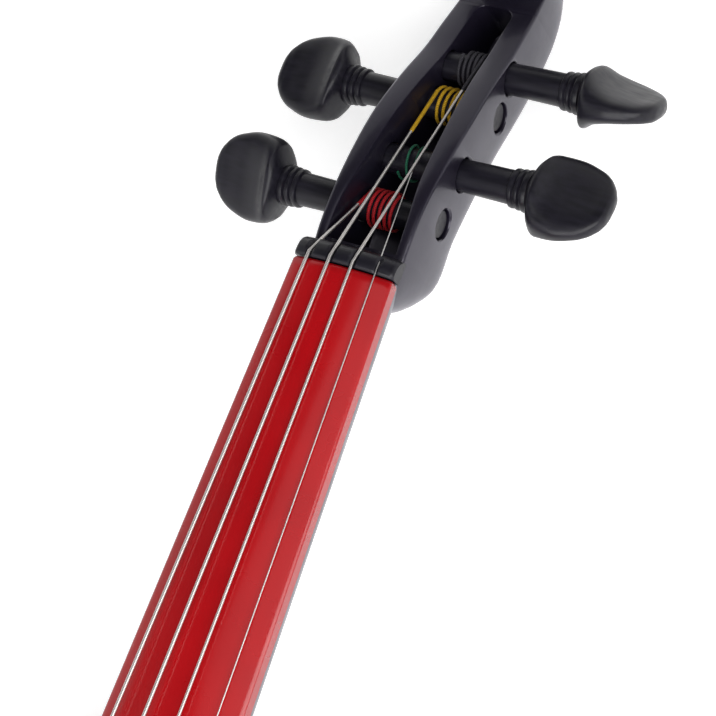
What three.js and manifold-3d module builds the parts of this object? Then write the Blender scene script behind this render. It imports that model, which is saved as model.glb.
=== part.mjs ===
// Electric violin lying on its back, in millimetres.
// +Z is the playing side, +Y runs towards the scroll and +X is the treble side.
// The origin is the middle of the body's length on the flat back of its core.
import * as THREE from "three";
import { mergeVertices } from "three/addons/utils/BufferGeometryUtils.js";
import Module from "manifold-3d";

const wasm = await Module();
wasm.setup();

// Fits shared by every piece
const SEAT_GAP = 0.3;
const BEND_SHARE = 0.3;
const CUT_OVERRUN = 1;
const PRESS_OVERLAP = 0.6;
const WELD_TOLERANCE = 0.001;

// Body core, the thick middle of the instrument
const BODY_LENGTH = 356;
const CORE_DEPTH = 44;
const CORE_HALF_WIDTH = 44;
const CORE_EDGE = 4;
const CORE_OUTLINE_SHARES = [
  [-1, 0.7], [-0.955, 0.86], [-0.86, 0.97], [-0.7, 1], [-0.52, 0.96], [-0.34, 0.84], [-0.1, 0.74],
  [0.2, 0.66], [0.55, 0.62], [0.85, 0.64], [0.955, 0.62], [1, 0.5],
];

// Side rails, which carry the violin outline past the core
const LOWER_BOUT = 208;
const RAIL_WIDTH = 14;
const RAIL_DEPTH = 20;
const RAIL_BASE = 13;
const RAIL_EDGE = 2.5;
const RAIL_STEPS = 34;
const RAIL_WAIST_ROW = 7;
const RAIL_OUTLINE_SHARES = [
  [0.1, 0.93], [0.36, 0.925], [0.62, 0.86], [0.79, 0.7], [0.79, 0.55], [0.68, 0.38], [0.56, 0.22],
  [0.535, 0.08], [0.6, -0.1], [0.78, -0.26], [0.95, -0.42], [1, -0.58], [0.95, -0.75], [0.76, -0.88],
  [0.46, -0.945], [0.12, -0.95],
];
const WAIST_PAD_SHARE = 0.075;
const WAIST_PAD_LENGTH = 26;

// Neck and fingerboard, set out from the front of the nut
const NECK_LENGTH = 130;
const NECK_PITCH = THREE.MathUtils.degToRad(3.5);
const NUT_STATION = BODY_LENGTH / 2 + NECK_LENGTH;
const BOARD_LINE_AT_NUT = 52;
const BOARD_LENGTH = 270;
const BOARD_NUT_WIDTH = 24;
const BOARD_END_WIDTH = 41.4;
const BOARD_RADIUS = 42;
const BOARD_SIDE = 3.4;
const BOARD_HOLLOW = 2;
const BOARD_HOLLOW_RAMP = 3;
const BOARD_STATION_SHARES = [0, 0.12, 0.25, 0.38, 0.5, 0.6, 0.72, 0.86, 1];
const BOARD_TOP_SHARES = [-1, -0.76, -0.5, -0.25, 0, 0.25, 0.5, 0.76, 1];
const BOARD_BOTTOM_SHARES = [1, 0.6, 0, -0.6, -1];
const NECK_INSET = 1.2;
const NECK_DEPTH = 18.5;
const NECK_DEPTH_GROWTH = 2.6;
const NECK_STEPS = 10;
const HEEL_START = 100;
const HEEL_DEPTH = 50;
const HEEL_HALF_WIDTH = 11;
const NECK_STATION_SHARES = [-0.02, 0.3, 0.6, 1];
const HEEL_SHARES = [[0, 0], [0.3, 0.05], [0.52, 0.16], [0.7, 0.36], [0.84, 0.64], [0.94, 0.9], [1, 1]];
const TENON_HALF_WIDTH = 10.5;
const TENON_LENGTH = 24;
const TENON_DEPTH = 43;
const TENON_ROOT = 5;

// Pegbox, from the nut to the throat of the scroll
const PEGBOX_LENGTH = 74;
const PEGBOX_DEPTH = 42;
const PEGBOX_HALF_WIDTH = 11.5;
const PEGBOX_FRONT_EDGE = 0.9;
const PEGBOX_BACK_EDGE = 2.6;
const FLOOR_WALL = 3.4;
const CAVITY_START = 6.6;
const CAVITY_CORNER = 1.6;
// Each row: place along the length, front and back as shares of the depth, half-width share
const PEGBOX_SHARES = [
  [-0.055, 0.14, 0.42, 0.84], [-0.035, 0.14, 0.5, 0.88], [0, 0.14, 0.59, 0.92], [0.035, 0.14, 0.645, 0.945],
  [0.08, 0.128, 0.7, 0.955], [0.25, 0.124, 0.7, 0.97], [0.4, 0.18, 0.736, 1], [0.54, 0.262, 0.79, 1.008],
  [0.68, 0.374, 0.905, 0.965], [0.81, 0.5, 1, 0.925], [0.9, 0.567, 1.04, 0.905], [1.02, 0.65, 1.076, 0.86],
  [1.12, 0.66, 1.062, 0.8], [1.2, 0.62, 1.024, 0.68],
];
// Each row: place along the length, half-width share of the cavity
const CAVITY_SHARES = [
  [0, 0.76], [0.12, 0.74], [0.26, 0.64], [0.45, 0.57], [0.6, 0.5], [0.75, 0.43], [0.88, 0.41], [0.965, 0.4],
  [1, 0.3],
];

// Scroll
const SCROLL_CENTRE_ALONG = 93;
const SCROLL_CENTRE_DEPTH = 26.5;
const SCROLL_RADIUS = 17.5;
const SCROLL_SHRINK_PER_TURN = 0.56;
const SCROLL_TURNS = 2.4;
const SCROLL_WEDGES_PER_TURN = 16;
const SCROLL_WEDGE_LAP = 1.06;
const SCROLL_START_TURN = -0.31;
const SCROLL_EDGE_HALF_WIDTH = 6.4;
const SCROLL_EYE_HALF_WIDTH = 19;
const SCROLL_FLARE_POWER = 1.3;

// Nut
const NUT_LENGTH = 4.7;
const NUT_CREST = 1.4;
const NUT_RISE = 0.75;
// Each row: place along the nut's length, height over the fingerboard as a share of the rise
const NUT_SHARES = [[0, 0.7], [0.25, 1], [0.5, 0.75], [0.74, 0.05], [0.9, -1.05], [1, -2.2]];

// Strings
const BRIDGE_STATION_SHARE = -0.0978;
const STRING_LENGTH = (NUT_STATION - (BRIDGE_STATION_SHARE * BODY_LENGTH) / 2) / Math.cos(NECK_PITCH);
const NUT_STRING_SPACING = 16.4;
const BRIDGE_STRING_SPACING = 34;
const NUT_STRING_REST = 0.5;
const NUT_SLOT_CLEARANCE = 0.2;
const STRING_SIDES = 6;
const BALL_SIDES = 10;
const BALL_RADIUS = 1.4;
const BALL_LENGTH = 3;
const STRINGS = {
  g: { lane: -1, radius: 0.4, heightAtBoardEnd: 5, colour: 0xb9b2a6 },
  d: { lane: -1 / 3, radius: 0.4, heightAtBoardEnd: 4.7, colour: 0xc4c4c8 },
  a: { lane: 1 / 3, radius: 0.34, heightAtBoardEnd: 4.2, colour: 0xc4c4c8 },
  e: { lane: 1, radius: 0.15, heightAtBoardEnd: 3.7, colour: 0xa8a8ac },
};

// Tuning pegs: side is the cheek the head stands on, along and depth are the axis from the nut
const PEG_TIP_RADIUS = 3.25;
const PEG_TAPER = 1 / 30;
const PEG_SIDES = 14;
const PEG_TIP_RECESS = 0.8;
const PEG_HOLE_CLEARANCE = 0.3;
const PEG_TIP_CHAMFER = 0.4;
const PEG_COLLAR_LENGTH = 4.6;
const PEG_BEAD = 0.9;
const PEG_HEAD_LENGTH = 18.5;
const PEG_HEAD_HALF_WIDTH = 10.2;
const PEG_HEAD_HALF_DEPTH = 6.5;
const PEG_HEAD_STEPS = 14;
const PEG_HEAD_SQUARENESS = 2.7;
// Each row: place along the collar, radius added as a share of the bead
const PEG_COLLAR_SHARES = [
  [0, 0], [0.06, 0.6], [0.24, 0.65], [0.32, 0.2], [0.4, 0.75], [0.58, 0.8], [0.66, 0.3], [0.74, 1], [1, 0.9],
];
// Each row: place along the head, half-width share, half-depth share
const PEG_HEAD_SHARES = [
  [0, 0.36, 0.66], [0.05, 0.56, 0.9], [0.11, 0.82, 1], [0.18, 0.93, 0.96], [0.26, 0.97, 0.83],
  [0.36, 1, 0.69], [0.5, 0.99, 0.55], [0.66, 0.92, 0.46], [0.8, 0.79, 0.4], [0.91, 0.6, 0.35], [1, 0.2, 0.2],
];
const PEGS = {
  g: { side: -1, along: 18.8, depth: 17.4, reach: 47.1, turnDegrees: -28 },
  d: { side: -1, along: 48.2, depth: 25.8, reach: 45.8, turnDegrees: 2 },
  a: { side: 1, along: 57.5, depth: 25, reach: 46.9, turnDegrees: -51 },
  e: { side: 1, along: 30.8, depth: 17.6, reach: 46.6, turnDegrees: -18 },
};

// String windings on the pegs: start is the first loop's place across the pegbox
const WINDING_STEPS_PER_LOOP = 24;
const WINDING_SIDES = 6;
const WINDING_CLEARANCE = 0.2;
const WINDING_SWEEP_CLEARANCE = 0.15;
const WINDING_LEAST_GAP = 0.4;
const WINDINGS = {
  g: { radius: 0.38, start: -6.4, pitch: 1.35, loops: 5, colour: 0xc8202c },
  d: { radius: 0.38, start: -4.1, pitch: 1.6, loops: 4, colour: 0xe3b93a },
  a: { radius: 0.34, start: 3.9, pitch: -1.2, loops: 4, colour: 0x35333c },
  e: { radius: 0.3, start: 1.1, pitch: -2.2, loops: 1.75, colour: 0x1d6b4a },
};

// Bridge and its pickup
const BRIDGE_HALF_FOOT = 20.5;
const BRIDGE_FOOT_THICKNESS = 4.4;
const BRIDGE_TOP_THICKNESS = 1.6;
const PICKUP_LENGTH = 46;
const PICKUP_WIDTH = 9;
const PICKUP_HEIGHT = 3.2;
// Half outline, each row: share of the half foot, share of the height
const BRIDGE_OUTER_SHARES = [
  [1, 0], [1, 0.05], [0.84, 0.1], [0.76, 0.2], [0.84, 0.33], [0.94, 0.4], [0.88, 0.46], [0.7, 0.46],
  [0.62, 0.53], [0.68, 0.6], [0.84, 0.6], [0.98, 0.64], [0.97, 0.76],
];
const BRIDGE_INNER_SHARES = [[0, 0.3], [0.2, 0.27], [0.32, 0.18], [0.42, 0.07], [0.46, 0]];
const BRIDGE_HEART_SHARES = [[0, 0.5], [0.14, 0.58], [0.15, 0.66], [0.07, 0.69], [0, 0.66]];
const BRIDGE_CROWN_STEPS = 10;

// Pickup lead, a thin cable fixed along the top of the core
const LEAD_RADIUS = 0.8;
const LEAD_SIDES = 8;
const LEAD_HOLE_RADIUS = 1.5;
// Each row: place across, place along from the bridge or from the hole, height over the core's top
const LEAD_START_ROWS = [[23.4, 0, 1.7], [25.6, -0.2, 1.5], [27.6, -2.6, 1.2], [28, -8.6, 1.1]];
const LEAD_END_ROWS = [
  [20, 9, 1.1], [19.1, 3.4, 1.1], [19, 1.1, 1], [19, 0.1, 0.1], [19, 0, -1.5], [19, 0, -6], [18.6, -0.4, -12],
  [17, -2, -18], [15, -4, -23], [14.6, -4.4, -25.2],
];
const LEAD_SPAN_SHARES = [0.3, 0.6];
const LEAD_HOLE_X = 19;
const LEAD_HOLE_INSET = 13;

// Tailpiece, hung from the saddle: the gap and the height are those of its back end
const TAILPIECE_END_GAP = 2.6;
const TAILPIECE_END_HEIGHT = 56;
const TAILPIECE_PITCH = THREE.MathUtils.degToRad(6.2);
const TAILPIECE_LENGTH = 102;
const TAILPIECE_FRONT_HALF_WIDTH = 21;
const TAILPIECE_BACK_HALF_WIDTH = 10.5;
const TAILPIECE_RADIUS = 34;
const TAILPIECE_SIDE = 2.6;
const TAILPIECE_STRING_SPACING = 29.4;
const TAILPIECE_STATION_SHARES = [0, 0.015, 0.2, 0.45, 0.7, 0.97, 1];
const TAILPIECE_FRONT_SHARE = 0.93;
const TAILPIECE_BACK_SHARE = 0.9;
const TUNER_SLOT_LENGTH = 13;
const TUNER_SLOT_WIDTH = 4.2;
const TUNER_SLOT_START = 2.5;
const TUNER_HOOK_ALONG = 8;
const TUNER_HOOK_RISE = 2;
const TUNER_SCREW_ALONG = 24;
const TUNER_THREAD_RADIUS = 1.5;
const TUNER_THREAD_PITCH = 0.5;
const TUNER_KNOB_RADIUS = 4.3;
const TUNER_KNOB_HEIGHT = 5;
const TUNER_KNOB_RISE = 4.6;
const TUNER_KNOB_FLUTES = 12;
const TUNER_KNOB_FLUTE_DEPTH = 0.35;
const TUNER_KNOB_CHAMFER = 0.7;
const TUNER_LEVER_WIDTH = 3.2;
const TUNER_FORK_WIDTH = 1.3;
const TUNER_PIVOT_ALONG = 11;
const TUNER_PIVOT_DEPTH = 10.6;
const TUNER_PIVOT_RADIUS = 0.9;
const TUNER_ARM_THICKNESS = 2;
const TUNER_HUB_WALL = 1.2;
const TUNER_TIP_GAP = 0.4;
const TUNER_BALL_GAP = 0.5;
const TUNER_CHEEK_THICKNESS = 1.6;
const TUNER_CHEEK_HALF_LENGTH = 3;

// Saddle, tailgut and end button
const SADDLE_HALF_WIDTH = 17;
const SADDLE_LENGTH = 8;
const SADDLE_SEAT_DEPTH = 4;
const SADDLE_RISE = 6;
const SADDLE_ROUND = 2.6;
const TAILGUT_RADIUS = 1;
const TAILGUT_HALF_SPACING = 5;
const TAILGUT_SIDES = 8;
const TAILGUT_HOLE_DEPTH = 9;
const TAILGUT_GRIP = 6;
const TAILGUT_BEND_STEPS = 8;
// Each row: share of the saddle's round let down, share of the gut's stand-off moved out
const TAILGUT_CORNER_SHARES = [[0.5, 0.6], [1.6, 1]];
const BUTTON_HEIGHT = 24;
const BUTTON_SHAFT_RADIUS = 3.5;
const BUTTON_SHAFT_LENGTH = 17;
const BUTTON_NECK_RADIUS = 5;
const BUTTON_NECK_LENGTH = 4.4;
const BUTTON_HEAD_RADIUS = 7.5;
const BUTTON_HEAD_LENGTH = 8;
const BUTTON_SIDES = 14;
// Each row: share of the head's radius, share of the head's length
const BUTTON_HEAD_SHARES = [[0.9, 0], [1, 0.16], [0.9, 0.62], [0.55, 0.93], [0, 1]];

// Chin rest on the bass side, clamped on the rail just outside the core
const CHIN_CORE_GAP = 3;
const CHIN_PLATE_OUTSET = 10;
const CHIN_PLATE_SETBACK = 1.9;
const CHIN_PLATE_HALF_LENGTH = 52;
const CHIN_PLATE_HALF_WIDTH = 33;
const CHIN_PLATE_BASE = 45;
const CHIN_PLATE_RIM = 9;
const CHIN_PLATE_DISH = 5.5;
const CHIN_PLATE_RINGS = 4;
const CHIN_PLATE_STEPS = 24;
const CHIN_PLATE_UNDER_SHARE = 0.7;
const CHIN_PLATE_EDGE_SHARE = 0.35;
const CHIN_PLATE_TILT_RISE = 5;
const CHIN_FOOT_HALF_LENGTH = 12;
const CHIN_FOOT_WIDTH = 16;
const CHIN_ROD_SPACING = 22;
const CHIN_ROD_RADIUS = 1.8;
const CHIN_BARREL_GAP = 1.4;
const CHIN_FOOT_GAP = 1.2;
const CHIN_BARREL_RADIUS = 3.4;
const CHIN_BARREL_LENGTH = 20;
const CHIN_BARREL_HOLE_RADIUS = 0.9;
const CHIN_ROD_GRIP = 7;
const CHIN_CLAMP_THICKNESS = 3;
const CHIN_CLAMP_REACH = 20;
const CHIN_CLAMP_X = -CORE_HALF_WIDTH - CHIN_CORE_GAP - CHIN_ROD_SPACING / 2;

// Electronics bay and battery bay, both open at the back
const BAY_SIDE_WALL = 8.17;
const BAY_TAIL_WALL = 22;
const BAY_LENGTH = 76;
const BAY_CEILING = 37;
const BAY_LEDGE = 3;
const BAY_LEDGE_HEIGHT = 18;
const COVER_MARGIN = 3;
const COVER_THICKNESS = 2;
const COVER_RECESS = 0.3;
const COVER_SCREW_RADIUS = 1.3;
const COVER_SCREW_HEAD_RADIUS = 2.4;
const COVER_SCREW_LENGTH = 9;
const COVER_SCREW_INSET = 5;
const COVER_SCREW_HEAD = 1.1;
const COVER_SCREW_SLOT = 0.7;
const COVER_SCREW_SLOT_REACH_SHARE = 1.2;
const BOARD_THICKNESS = 1.6;
const BATTERY_BAY_HALF_WIDTH = 16;
const BATTERY_BAY_PARTITION = 10;
const BATTERY_BAY_LENGTH = 61;
const BATTERY_BAY_CEILING = 24;
const BATTERY_WIDTH = 26.5;
const BATTERY_LENGTH = 48.5;
const BATTERY_HEIGHT = 17.5;
const BATTERY_EDGE = 1.2;
const SNAP_LENGTH = 4;
const SNAP_HEIGHT = 12;
const SNAP_LEAD_RADIUS = 0.9;
const DOOR_MARGIN = 3;
const DOOR_HINGE_RADIUS = 1.7;
const DOOR_PIN_RADIUS = 0.8;
const DOOR_PIN_LENGTH = 2.4;
const DOOR_FINGER_WIDTH = 10;
const DOOR_FINGER_LENGTH = 3;

// Controls on the top and sockets on the tail end
const CONTROL_WALL_GAP = 0.5;
const CONTROL_JACK_GAP = 2;
const CONTROL_SPACING = 20;
const LED_SPACING = 12;
const KNOB_RADIUS = 7.5;
const KNOB_HEIGHT = 11;
const KNOB_CHAMFER = 1.4;
const KNOB_SKIRT_GAP = 1.4;
const KNOB_FLUTES = 16;
const KNOB_FLUTE_DEPTH = 0.4;
const POT_RADIUS = 6;
const POT_HEIGHT = 8;
const POT_BUSHING_RADIUS = 3.4;
const POT_SHAFT_RADIUS = 2.2;
const POT_SHAFT_RISE = 9;
const SWITCH_LENGTH = 12;
const SWITCH_WIDTH = 6;
const SWITCH_HEIGHT = 6;
const SWITCH_NECK_LENGTH = 9.6;
const SWITCH_NECK_WIDTH = 4.4;
const SLIDER_LENGTH = 3;
const SLIDER_WIDTH = 2;
const SLIDER_RISE = 2;
const SLIDER_TRAVEL = 3;
const LED_RADIUS = 1.5;
const LED_LENGTH = 9;
// Each row: share of the lens's radius, height of the dome as a share of the radius
const LED_DOME_SHARES = [[1, 0], [0.8, 0.6], [0.4, 0.93], [0, 1]];
const JACK_X = 21;
const SOCKET_HEIGHT = 27;
const JACK_RADIUS = 5.5;
const JACK_BORE_RADIUS = 3.5;
const JACK_LENGTH = 30;
const JACK_STAND = 2.6;
const JACK_NUT_RADIUS = 8;
const JACK_NUT_THICKNESS = 2;
const HEADPHONE_RADIUS = 4;
const HEADPHONE_BORE_RADIUS = 1.8;
const HEADPHONE_LENGTH = 26;
const HEADPHONE_FLANGE_RADIUS = 5.4;
const HEADPHONE_FLANGE = 1.4;
const ROUND_SIDES = 14;
const SMALL_SIDES = 12;
const PIN_HOLE_SIDES = 8;
const NUT_SIDES = 6;

const up = new THREE.Vector3(0, 0, 1);

// Materials
function finish(colour, roughness, metalness) {
  return new THREE.MeshStandardMaterial({ color: colour, roughness, metalness });
}

function redLacquer() {
  return finish(0xb00612, 0.22, 0);
}

function blackLacquer() {
  return finish(0x23212a, 0.3, 0);
}

function ebony() {
  return finish(0x17161c, 0.5, 0);
}

function blackPlastic() {
  return finish(0x1b1b1f, 0.45, 0);
}

function maple() {
  return finish(0xd8b27a, 0.55, 0);
}

function nickel() {
  return finish(0xc9c9cd, 0.25, 1);
}

function steel() {
  return finish(0x9c9ca2, 0.35, 1);
}

function solderMask() {
  return finish(0x1c5a36, 0.5, 0);
}

function redLens() {
  return finish(0xd8404a, 0.2, 0);
}

function silk(colour) {
  return finish(colour, 0.7, 0);
}

function stringMetal(colour) {
  return finish(colour, 0.3, 1);
}

// Solid making
function signedVolume(geometry) {
  const place = geometry.attributes.position;
  const index = geometry.index;
  const a = new THREE.Vector3();
  const b = new THREE.Vector3();
  const c = new THREE.Vector3();
  let total = 0;
  for (let i = 0; i < index.count; i += 3) {
    a.fromBufferAttribute(place, index.getX(i));
    b.fromBufferAttribute(place, index.getX(i + 1));
    c.fromBufferAttribute(place, index.getX(i + 2));
    total += a.dot(b.cross(c)) / 6;
  }
  return total;
}

function closed(geometry) {
  const bare = geometry.clone();
  bare.deleteAttribute("normal");
  bare.deleteAttribute("uv");
  const welded = mergeVertices(bare, WELD_TOLERANCE);
  if (signedVolume(welded) < 0) {
    const turned = [];
    for (let i = 0; i < welded.index.count; i += 3) {
      turned.push(welded.index.getX(i), welded.index.getX(i + 2), welded.index.getX(i + 1));
    }
    welded.setIndex(turned);
  }
  return welded;
}

function solid(geometry) {
  const welded = closed(geometry);
  const vertProperties = new Float32Array(welded.attributes.position.array);
  const triVerts = new Uint32Array(welded.index.array);
  return new wasm.Manifold(new wasm.Mesh({ numProp: 3, vertProperties, triVerts }));
}

function skin(body) {
  const mesh = body.getMesh();
  const geometry = new THREE.BufferGeometry();
  geometry.setAttribute("position", new THREE.BufferAttribute(mesh.vertProperties, 3));
  geometry.setIndex(new THREE.BufferAttribute(mesh.triVerts, 1));
  return geometry;
}

function join(geometries) {
  let body = solid(geometries[0]);
  for (const geometry of geometries.slice(1)) {
    body = body.add(solid(geometry));
  }
  return skin(body);
}

function cut(geometry, tools) {
  let body = solid(geometry);
  for (const tool of tools) {
    body = body.subtract(solid(tool));
  }
  return skin(body);
}

function block(low, high) {
  const size = new THREE.Vector3().subVectors(high, low);
  const middle = new THREE.Vector3().addVectors(high, low).multiplyScalar(0.5);
  return new THREE.BoxGeometry(size.x, size.y, size.z).translate(middle.x, middle.y, middle.z);
}

function vector(x, y, z) {
  return new THREE.Vector3(x, y, z);
}

// A round bar between two points
function bar(start, end, radius, sides = ROUND_SIDES) {
  const length = start.distanceTo(end);
  const direction = new THREE.Vector3().subVectors(end, start).normalize();
  const turn = new THREE.Quaternion().setFromUnitVectors(vector(0, 1, 0), direction);
  const middle = new THREE.Vector3().addVectors(start, end).multiplyScalar(0.5);
  return new THREE.CylinderGeometry(radius, radius, length, sides)
    .applyQuaternion(turn)
    .translate(middle.x, middle.y, middle.z);
}

// A turned piece: the profile is radius and height, and the height runs along the axis given
function turned(profile, axis, place, sides = ROUND_SIDES) {
  const points = profile.map(([radius, height]) => new THREE.Vector2(radius, height));
  const turn = new THREE.Quaternion().setFromUnitVectors(vector(0, 1, 0), axis);
  return new THREE.LatheGeometry(points, sides).applyQuaternion(turn).translate(place.x, place.y, place.z);
}

// A skin through rings of points that lie square to the Y axis
function loftAlongY(rings) {
  const count = rings[0].points.length;
  const place = [];
  const index = [];
  for (const ring of rings) {
    for (const [x, z] of ring.points) {
      place.push(x, ring.along, z);
    }
  }
  for (let r = 0; r < rings.length - 1; r += 1) {
    for (let i = 0; i < count; i += 1) {
      const next = (i + 1) % count;
      const a = r * count + i;
      const b = r * count + next;
      index.push(a, b, a + count, b, b + count, a + count);
    }
  }
  for (const [r, reversed] of [[0, true], [rings.length - 1, false]]) {
    const flat = rings[r].points.map(([x, z]) => new THREE.Vector2(x, z));
    for (const face of THREE.ShapeUtils.triangulateShape(flat, [])) {
      const [a, b, c] = face.map((i) => r * count + i);
      index.push(...(reversed ? [a, c, b] : [a, b, c]));
    }
  }
  const geometry = new THREE.BufferGeometry();
  geometry.setAttribute("position", new THREE.Float32BufferAttribute(place, 3));
  geometry.setIndex(matchCaps(index, count, rings.length));
  return geometry;
}

// The end caps come out of the triangulation in either sense, so they are turned to match the sides
function matchCaps(index, count, ringCount) {
  const sideLength = (ringCount - 1) * count * 6;
  const sideEdges = new Set();
  for (let i = 0; i < sideLength; i += 3) {
    for (const [a, b] of [[0, 1], [1, 2], [2, 0]]) {
      sideEdges.add(`${index[i + a]}_${index[i + b]}`);
    }
  }
  const capLength = (index.length - sideLength) / 2;
  const result = index.slice(0, sideLength);
  for (const start of [sideLength, sideLength + capLength]) {
    const cap = index.slice(start, start + capLength);
    let clash = false;
    for (let i = 0; i < cap.length; i += 3) {
      for (const [a, b] of [[0, 1], [1, 2], [2, 0]]) {
        clash = clash || sideEdges.has(`${cap[i + a]}_${cap[i + b]}`);
      }
    }
    for (let i = 0; i < cap.length; i += 3) {
      result.push(...(clash ? [cap[i], cap[i + 2], cap[i + 1]] : cap.slice(i, i + 3)));
    }
  }
  return result;
}

// A path whose stations are the points given, so a tube along it bends only there
class Thread extends THREE.Curve {
  constructor(points) {
    super();
    this.points = points;
  }

  getPoint(t, target = new THREE.Vector3()) {
    const span = this.points.length - 1;
    const place = Math.min(Math.max(t, 0), 1) * span;
    const i = Math.min(Math.floor(place), span - 1);
    return target.copy(this.points[i]).lerp(this.points[i + 1], place - i);
  }

  getPointAt(u, target) {
    return this.getPoint(u, target);
  }

  getTangentAt(u, target = new THREE.Vector3()) {
    const span = this.points.length - 1;
    const i = Math.round(u * span);
    const before = this.points[Math.max(i - 1, 0)];
    const here = this.points[i];
    const after = this.points[Math.min(i + 1, span)];
    const into = new THREE.Vector3().subVectors(here, before).normalize();
    const out = new THREE.Vector3().subVectors(after, here).normalize();
    return target.addVectors(into, out).normalize();
  }
}

function tubeThrough(points, radius, sides) {
  const section = new THREE.Shape();
  for (let i = 0; i < sides; i += 1) {
    const angle = (i / sides) * Math.PI * 2;
    const x = radius * Math.cos(angle);
    const y = radius * Math.sin(angle);
    if (i === 0) {
      section.moveTo(x, y);
    } else {
      section.lineTo(x, y);
    }
  }
  return new THREE.ExtrudeGeometry(section, {
    steps: points.length - 1,
    extrudePath: new Thread(points),
    bevelEnabled: false,
  });
}

function shapeOf(points) {
  return new THREE.Shape(points.map(([x, y]) => new THREE.Vector2(x, y)));
}

// A plate of the shape given, its edges rounded, between two heights
function slab(shape, base, depth, edge, edgeSteps = 2) {
  const settings = { depth: depth - 2 * edge, steps: 1, bevelEnabled: edge > 0 };
  if (edge > 0) {
    settings.bevelThickness = edge;
    settings.bevelSize = edge;
    settings.bevelOffset = -edge;
    settings.bevelSegments = edgeSteps;
  }
  return new THREE.ExtrudeGeometry(shape, settings).translate(0, 0, base + edge);
}

function mirrored(rows) {
  return [...rows, ...rows.slice().reverse().map(([x, y]) => [-x, y])];
}

function smoothOutline(rows, steps) {
  const curve = new THREE.SplineCurve(rows.map(([x, y]) => new THREE.Vector2(x, y)));
  return curve.getPoints(steps).map((point) => [point.x, point.y]);
}

function fluted(radius, depth, flutes, base, height, chamfer) {
  const rings = [];
  for (const [along, inset] of [[0, 0], [height - chamfer, 0], [height, chamfer]]) {
    const points = [];
    for (let i = 0; i < flutes * 2; i += 1) {
      const angle = (i / (flutes * 2)) * Math.PI * 2;
      const r = radius - inset - (i % 2) * depth;
      points.push([r * Math.cos(angle), r * Math.sin(angle)]);
    }
    rings.push({ along, points });
  }
  return loftAlongY(rings).rotateX(Math.PI / 2).translate(0, 0, base);
}

// Frames of the tilted groups
const root = new THREE.Group();
const neckFrame = new THREE.Group();
neckFrame.position.set(0, NUT_STATION, BOARD_LINE_AT_NUT);
neckFrame.rotation.x = -NECK_PITCH;
neckFrame.updateMatrixWorld(true);
const tailFrame = new THREE.Group();
tailFrame.position.set(
  0,
  -BODY_LENGTH / 2 + SADDLE_LENGTH + TAILPIECE_END_GAP + TAILPIECE_LENGTH * Math.cos(TAILPIECE_PITCH),
  TAILPIECE_END_HEIGHT + TAILPIECE_LENGTH * Math.sin(TAILPIECE_PITCH),
);
tailFrame.rotation.x = TAILPIECE_PITCH;
tailFrame.updateMatrixWorld(true);
root.add(neckFrame, tailFrame);

function fromNeck(x, y, z) {
  return vector(x, y, z).applyMatrix4(neckFrame.matrixWorld);
}

function fromTail(x, y, z) {
  return vector(x, y, z).applyMatrix4(tailFrame.matrixWorld);
}

function add(frame, name, geometry, material) {
  const mesh = new THREE.Mesh(closed(geometry), material);
  mesh.name = name;
  frame.add(mesh);
  return mesh;
}

// Body core
function coreHalfWidthAt(y) {
  const share = y / (BODY_LENGTH / 2);
  const rows = CORE_OUTLINE_SHARES;
  let i = 0;
  while (i < rows.length - 2 && share > rows[i + 1][0]) {
    i += 1;
  }
  const part = (share - rows[i][0]) / (rows[i + 1][0] - rows[i][0]);
  return CORE_HALF_WIDTH * THREE.MathUtils.lerp(rows[i][1], rows[i + 1][1], part);
}

function coreShape(clearance) {
  const side = CORE_OUTLINE_SHARES.map(([along, across]) => [
    across * CORE_HALF_WIDTH + clearance,
    along * (BODY_LENGTH / 2 + clearance),
  ]);
  return shapeOf(mirrored(side));
}

function mortise() {
  const low = vector(
    -TENON_HALF_WIDTH - SEAT_GAP,
    -NECK_LENGTH - TENON_LENGTH - SEAT_GAP,
    -TENON_DEPTH - SEAT_GAP,
  );
  const high = vector(TENON_HALF_WIDTH + SEAT_GAP, -NECK_LENGTH + BOARD_SIDE, CUT_OVERRUN);
  return block(low, high).applyMatrix4(neckFrame.matrixWorld);
}

function saddleSeat() {
  const low = vector(
    -SADDLE_HALF_WIDTH - SEAT_GAP,
    -BODY_LENGTH / 2 - CUT_OVERRUN,
    CORE_DEPTH - SADDLE_SEAT_DEPTH,
  );
  const high = vector(
    SADDLE_HALF_WIDTH + SEAT_GAP,
    -BODY_LENGTH / 2 + SADDLE_LENGTH + SEAT_GAP,
    CORE_DEPTH + CUT_OVERRUN,
  );
  return block(low, high);
}

function bayStart() {
  return -BODY_LENGTH / 2 + BAY_TAIL_WALL;
}

function bayEnd() {
  return bayStart() + BAY_LENGTH;
}

function bayHalfWidth() {
  return coreHalfWidthAt(bayEnd()) - BAY_SIDE_WALL;
}

function batteryBayStart() {
  return bayEnd() + BATTERY_BAY_PARTITION;
}

function batteryBayEnd() {
  return batteryBayStart() + BATTERY_BAY_LENGTH;
}

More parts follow.
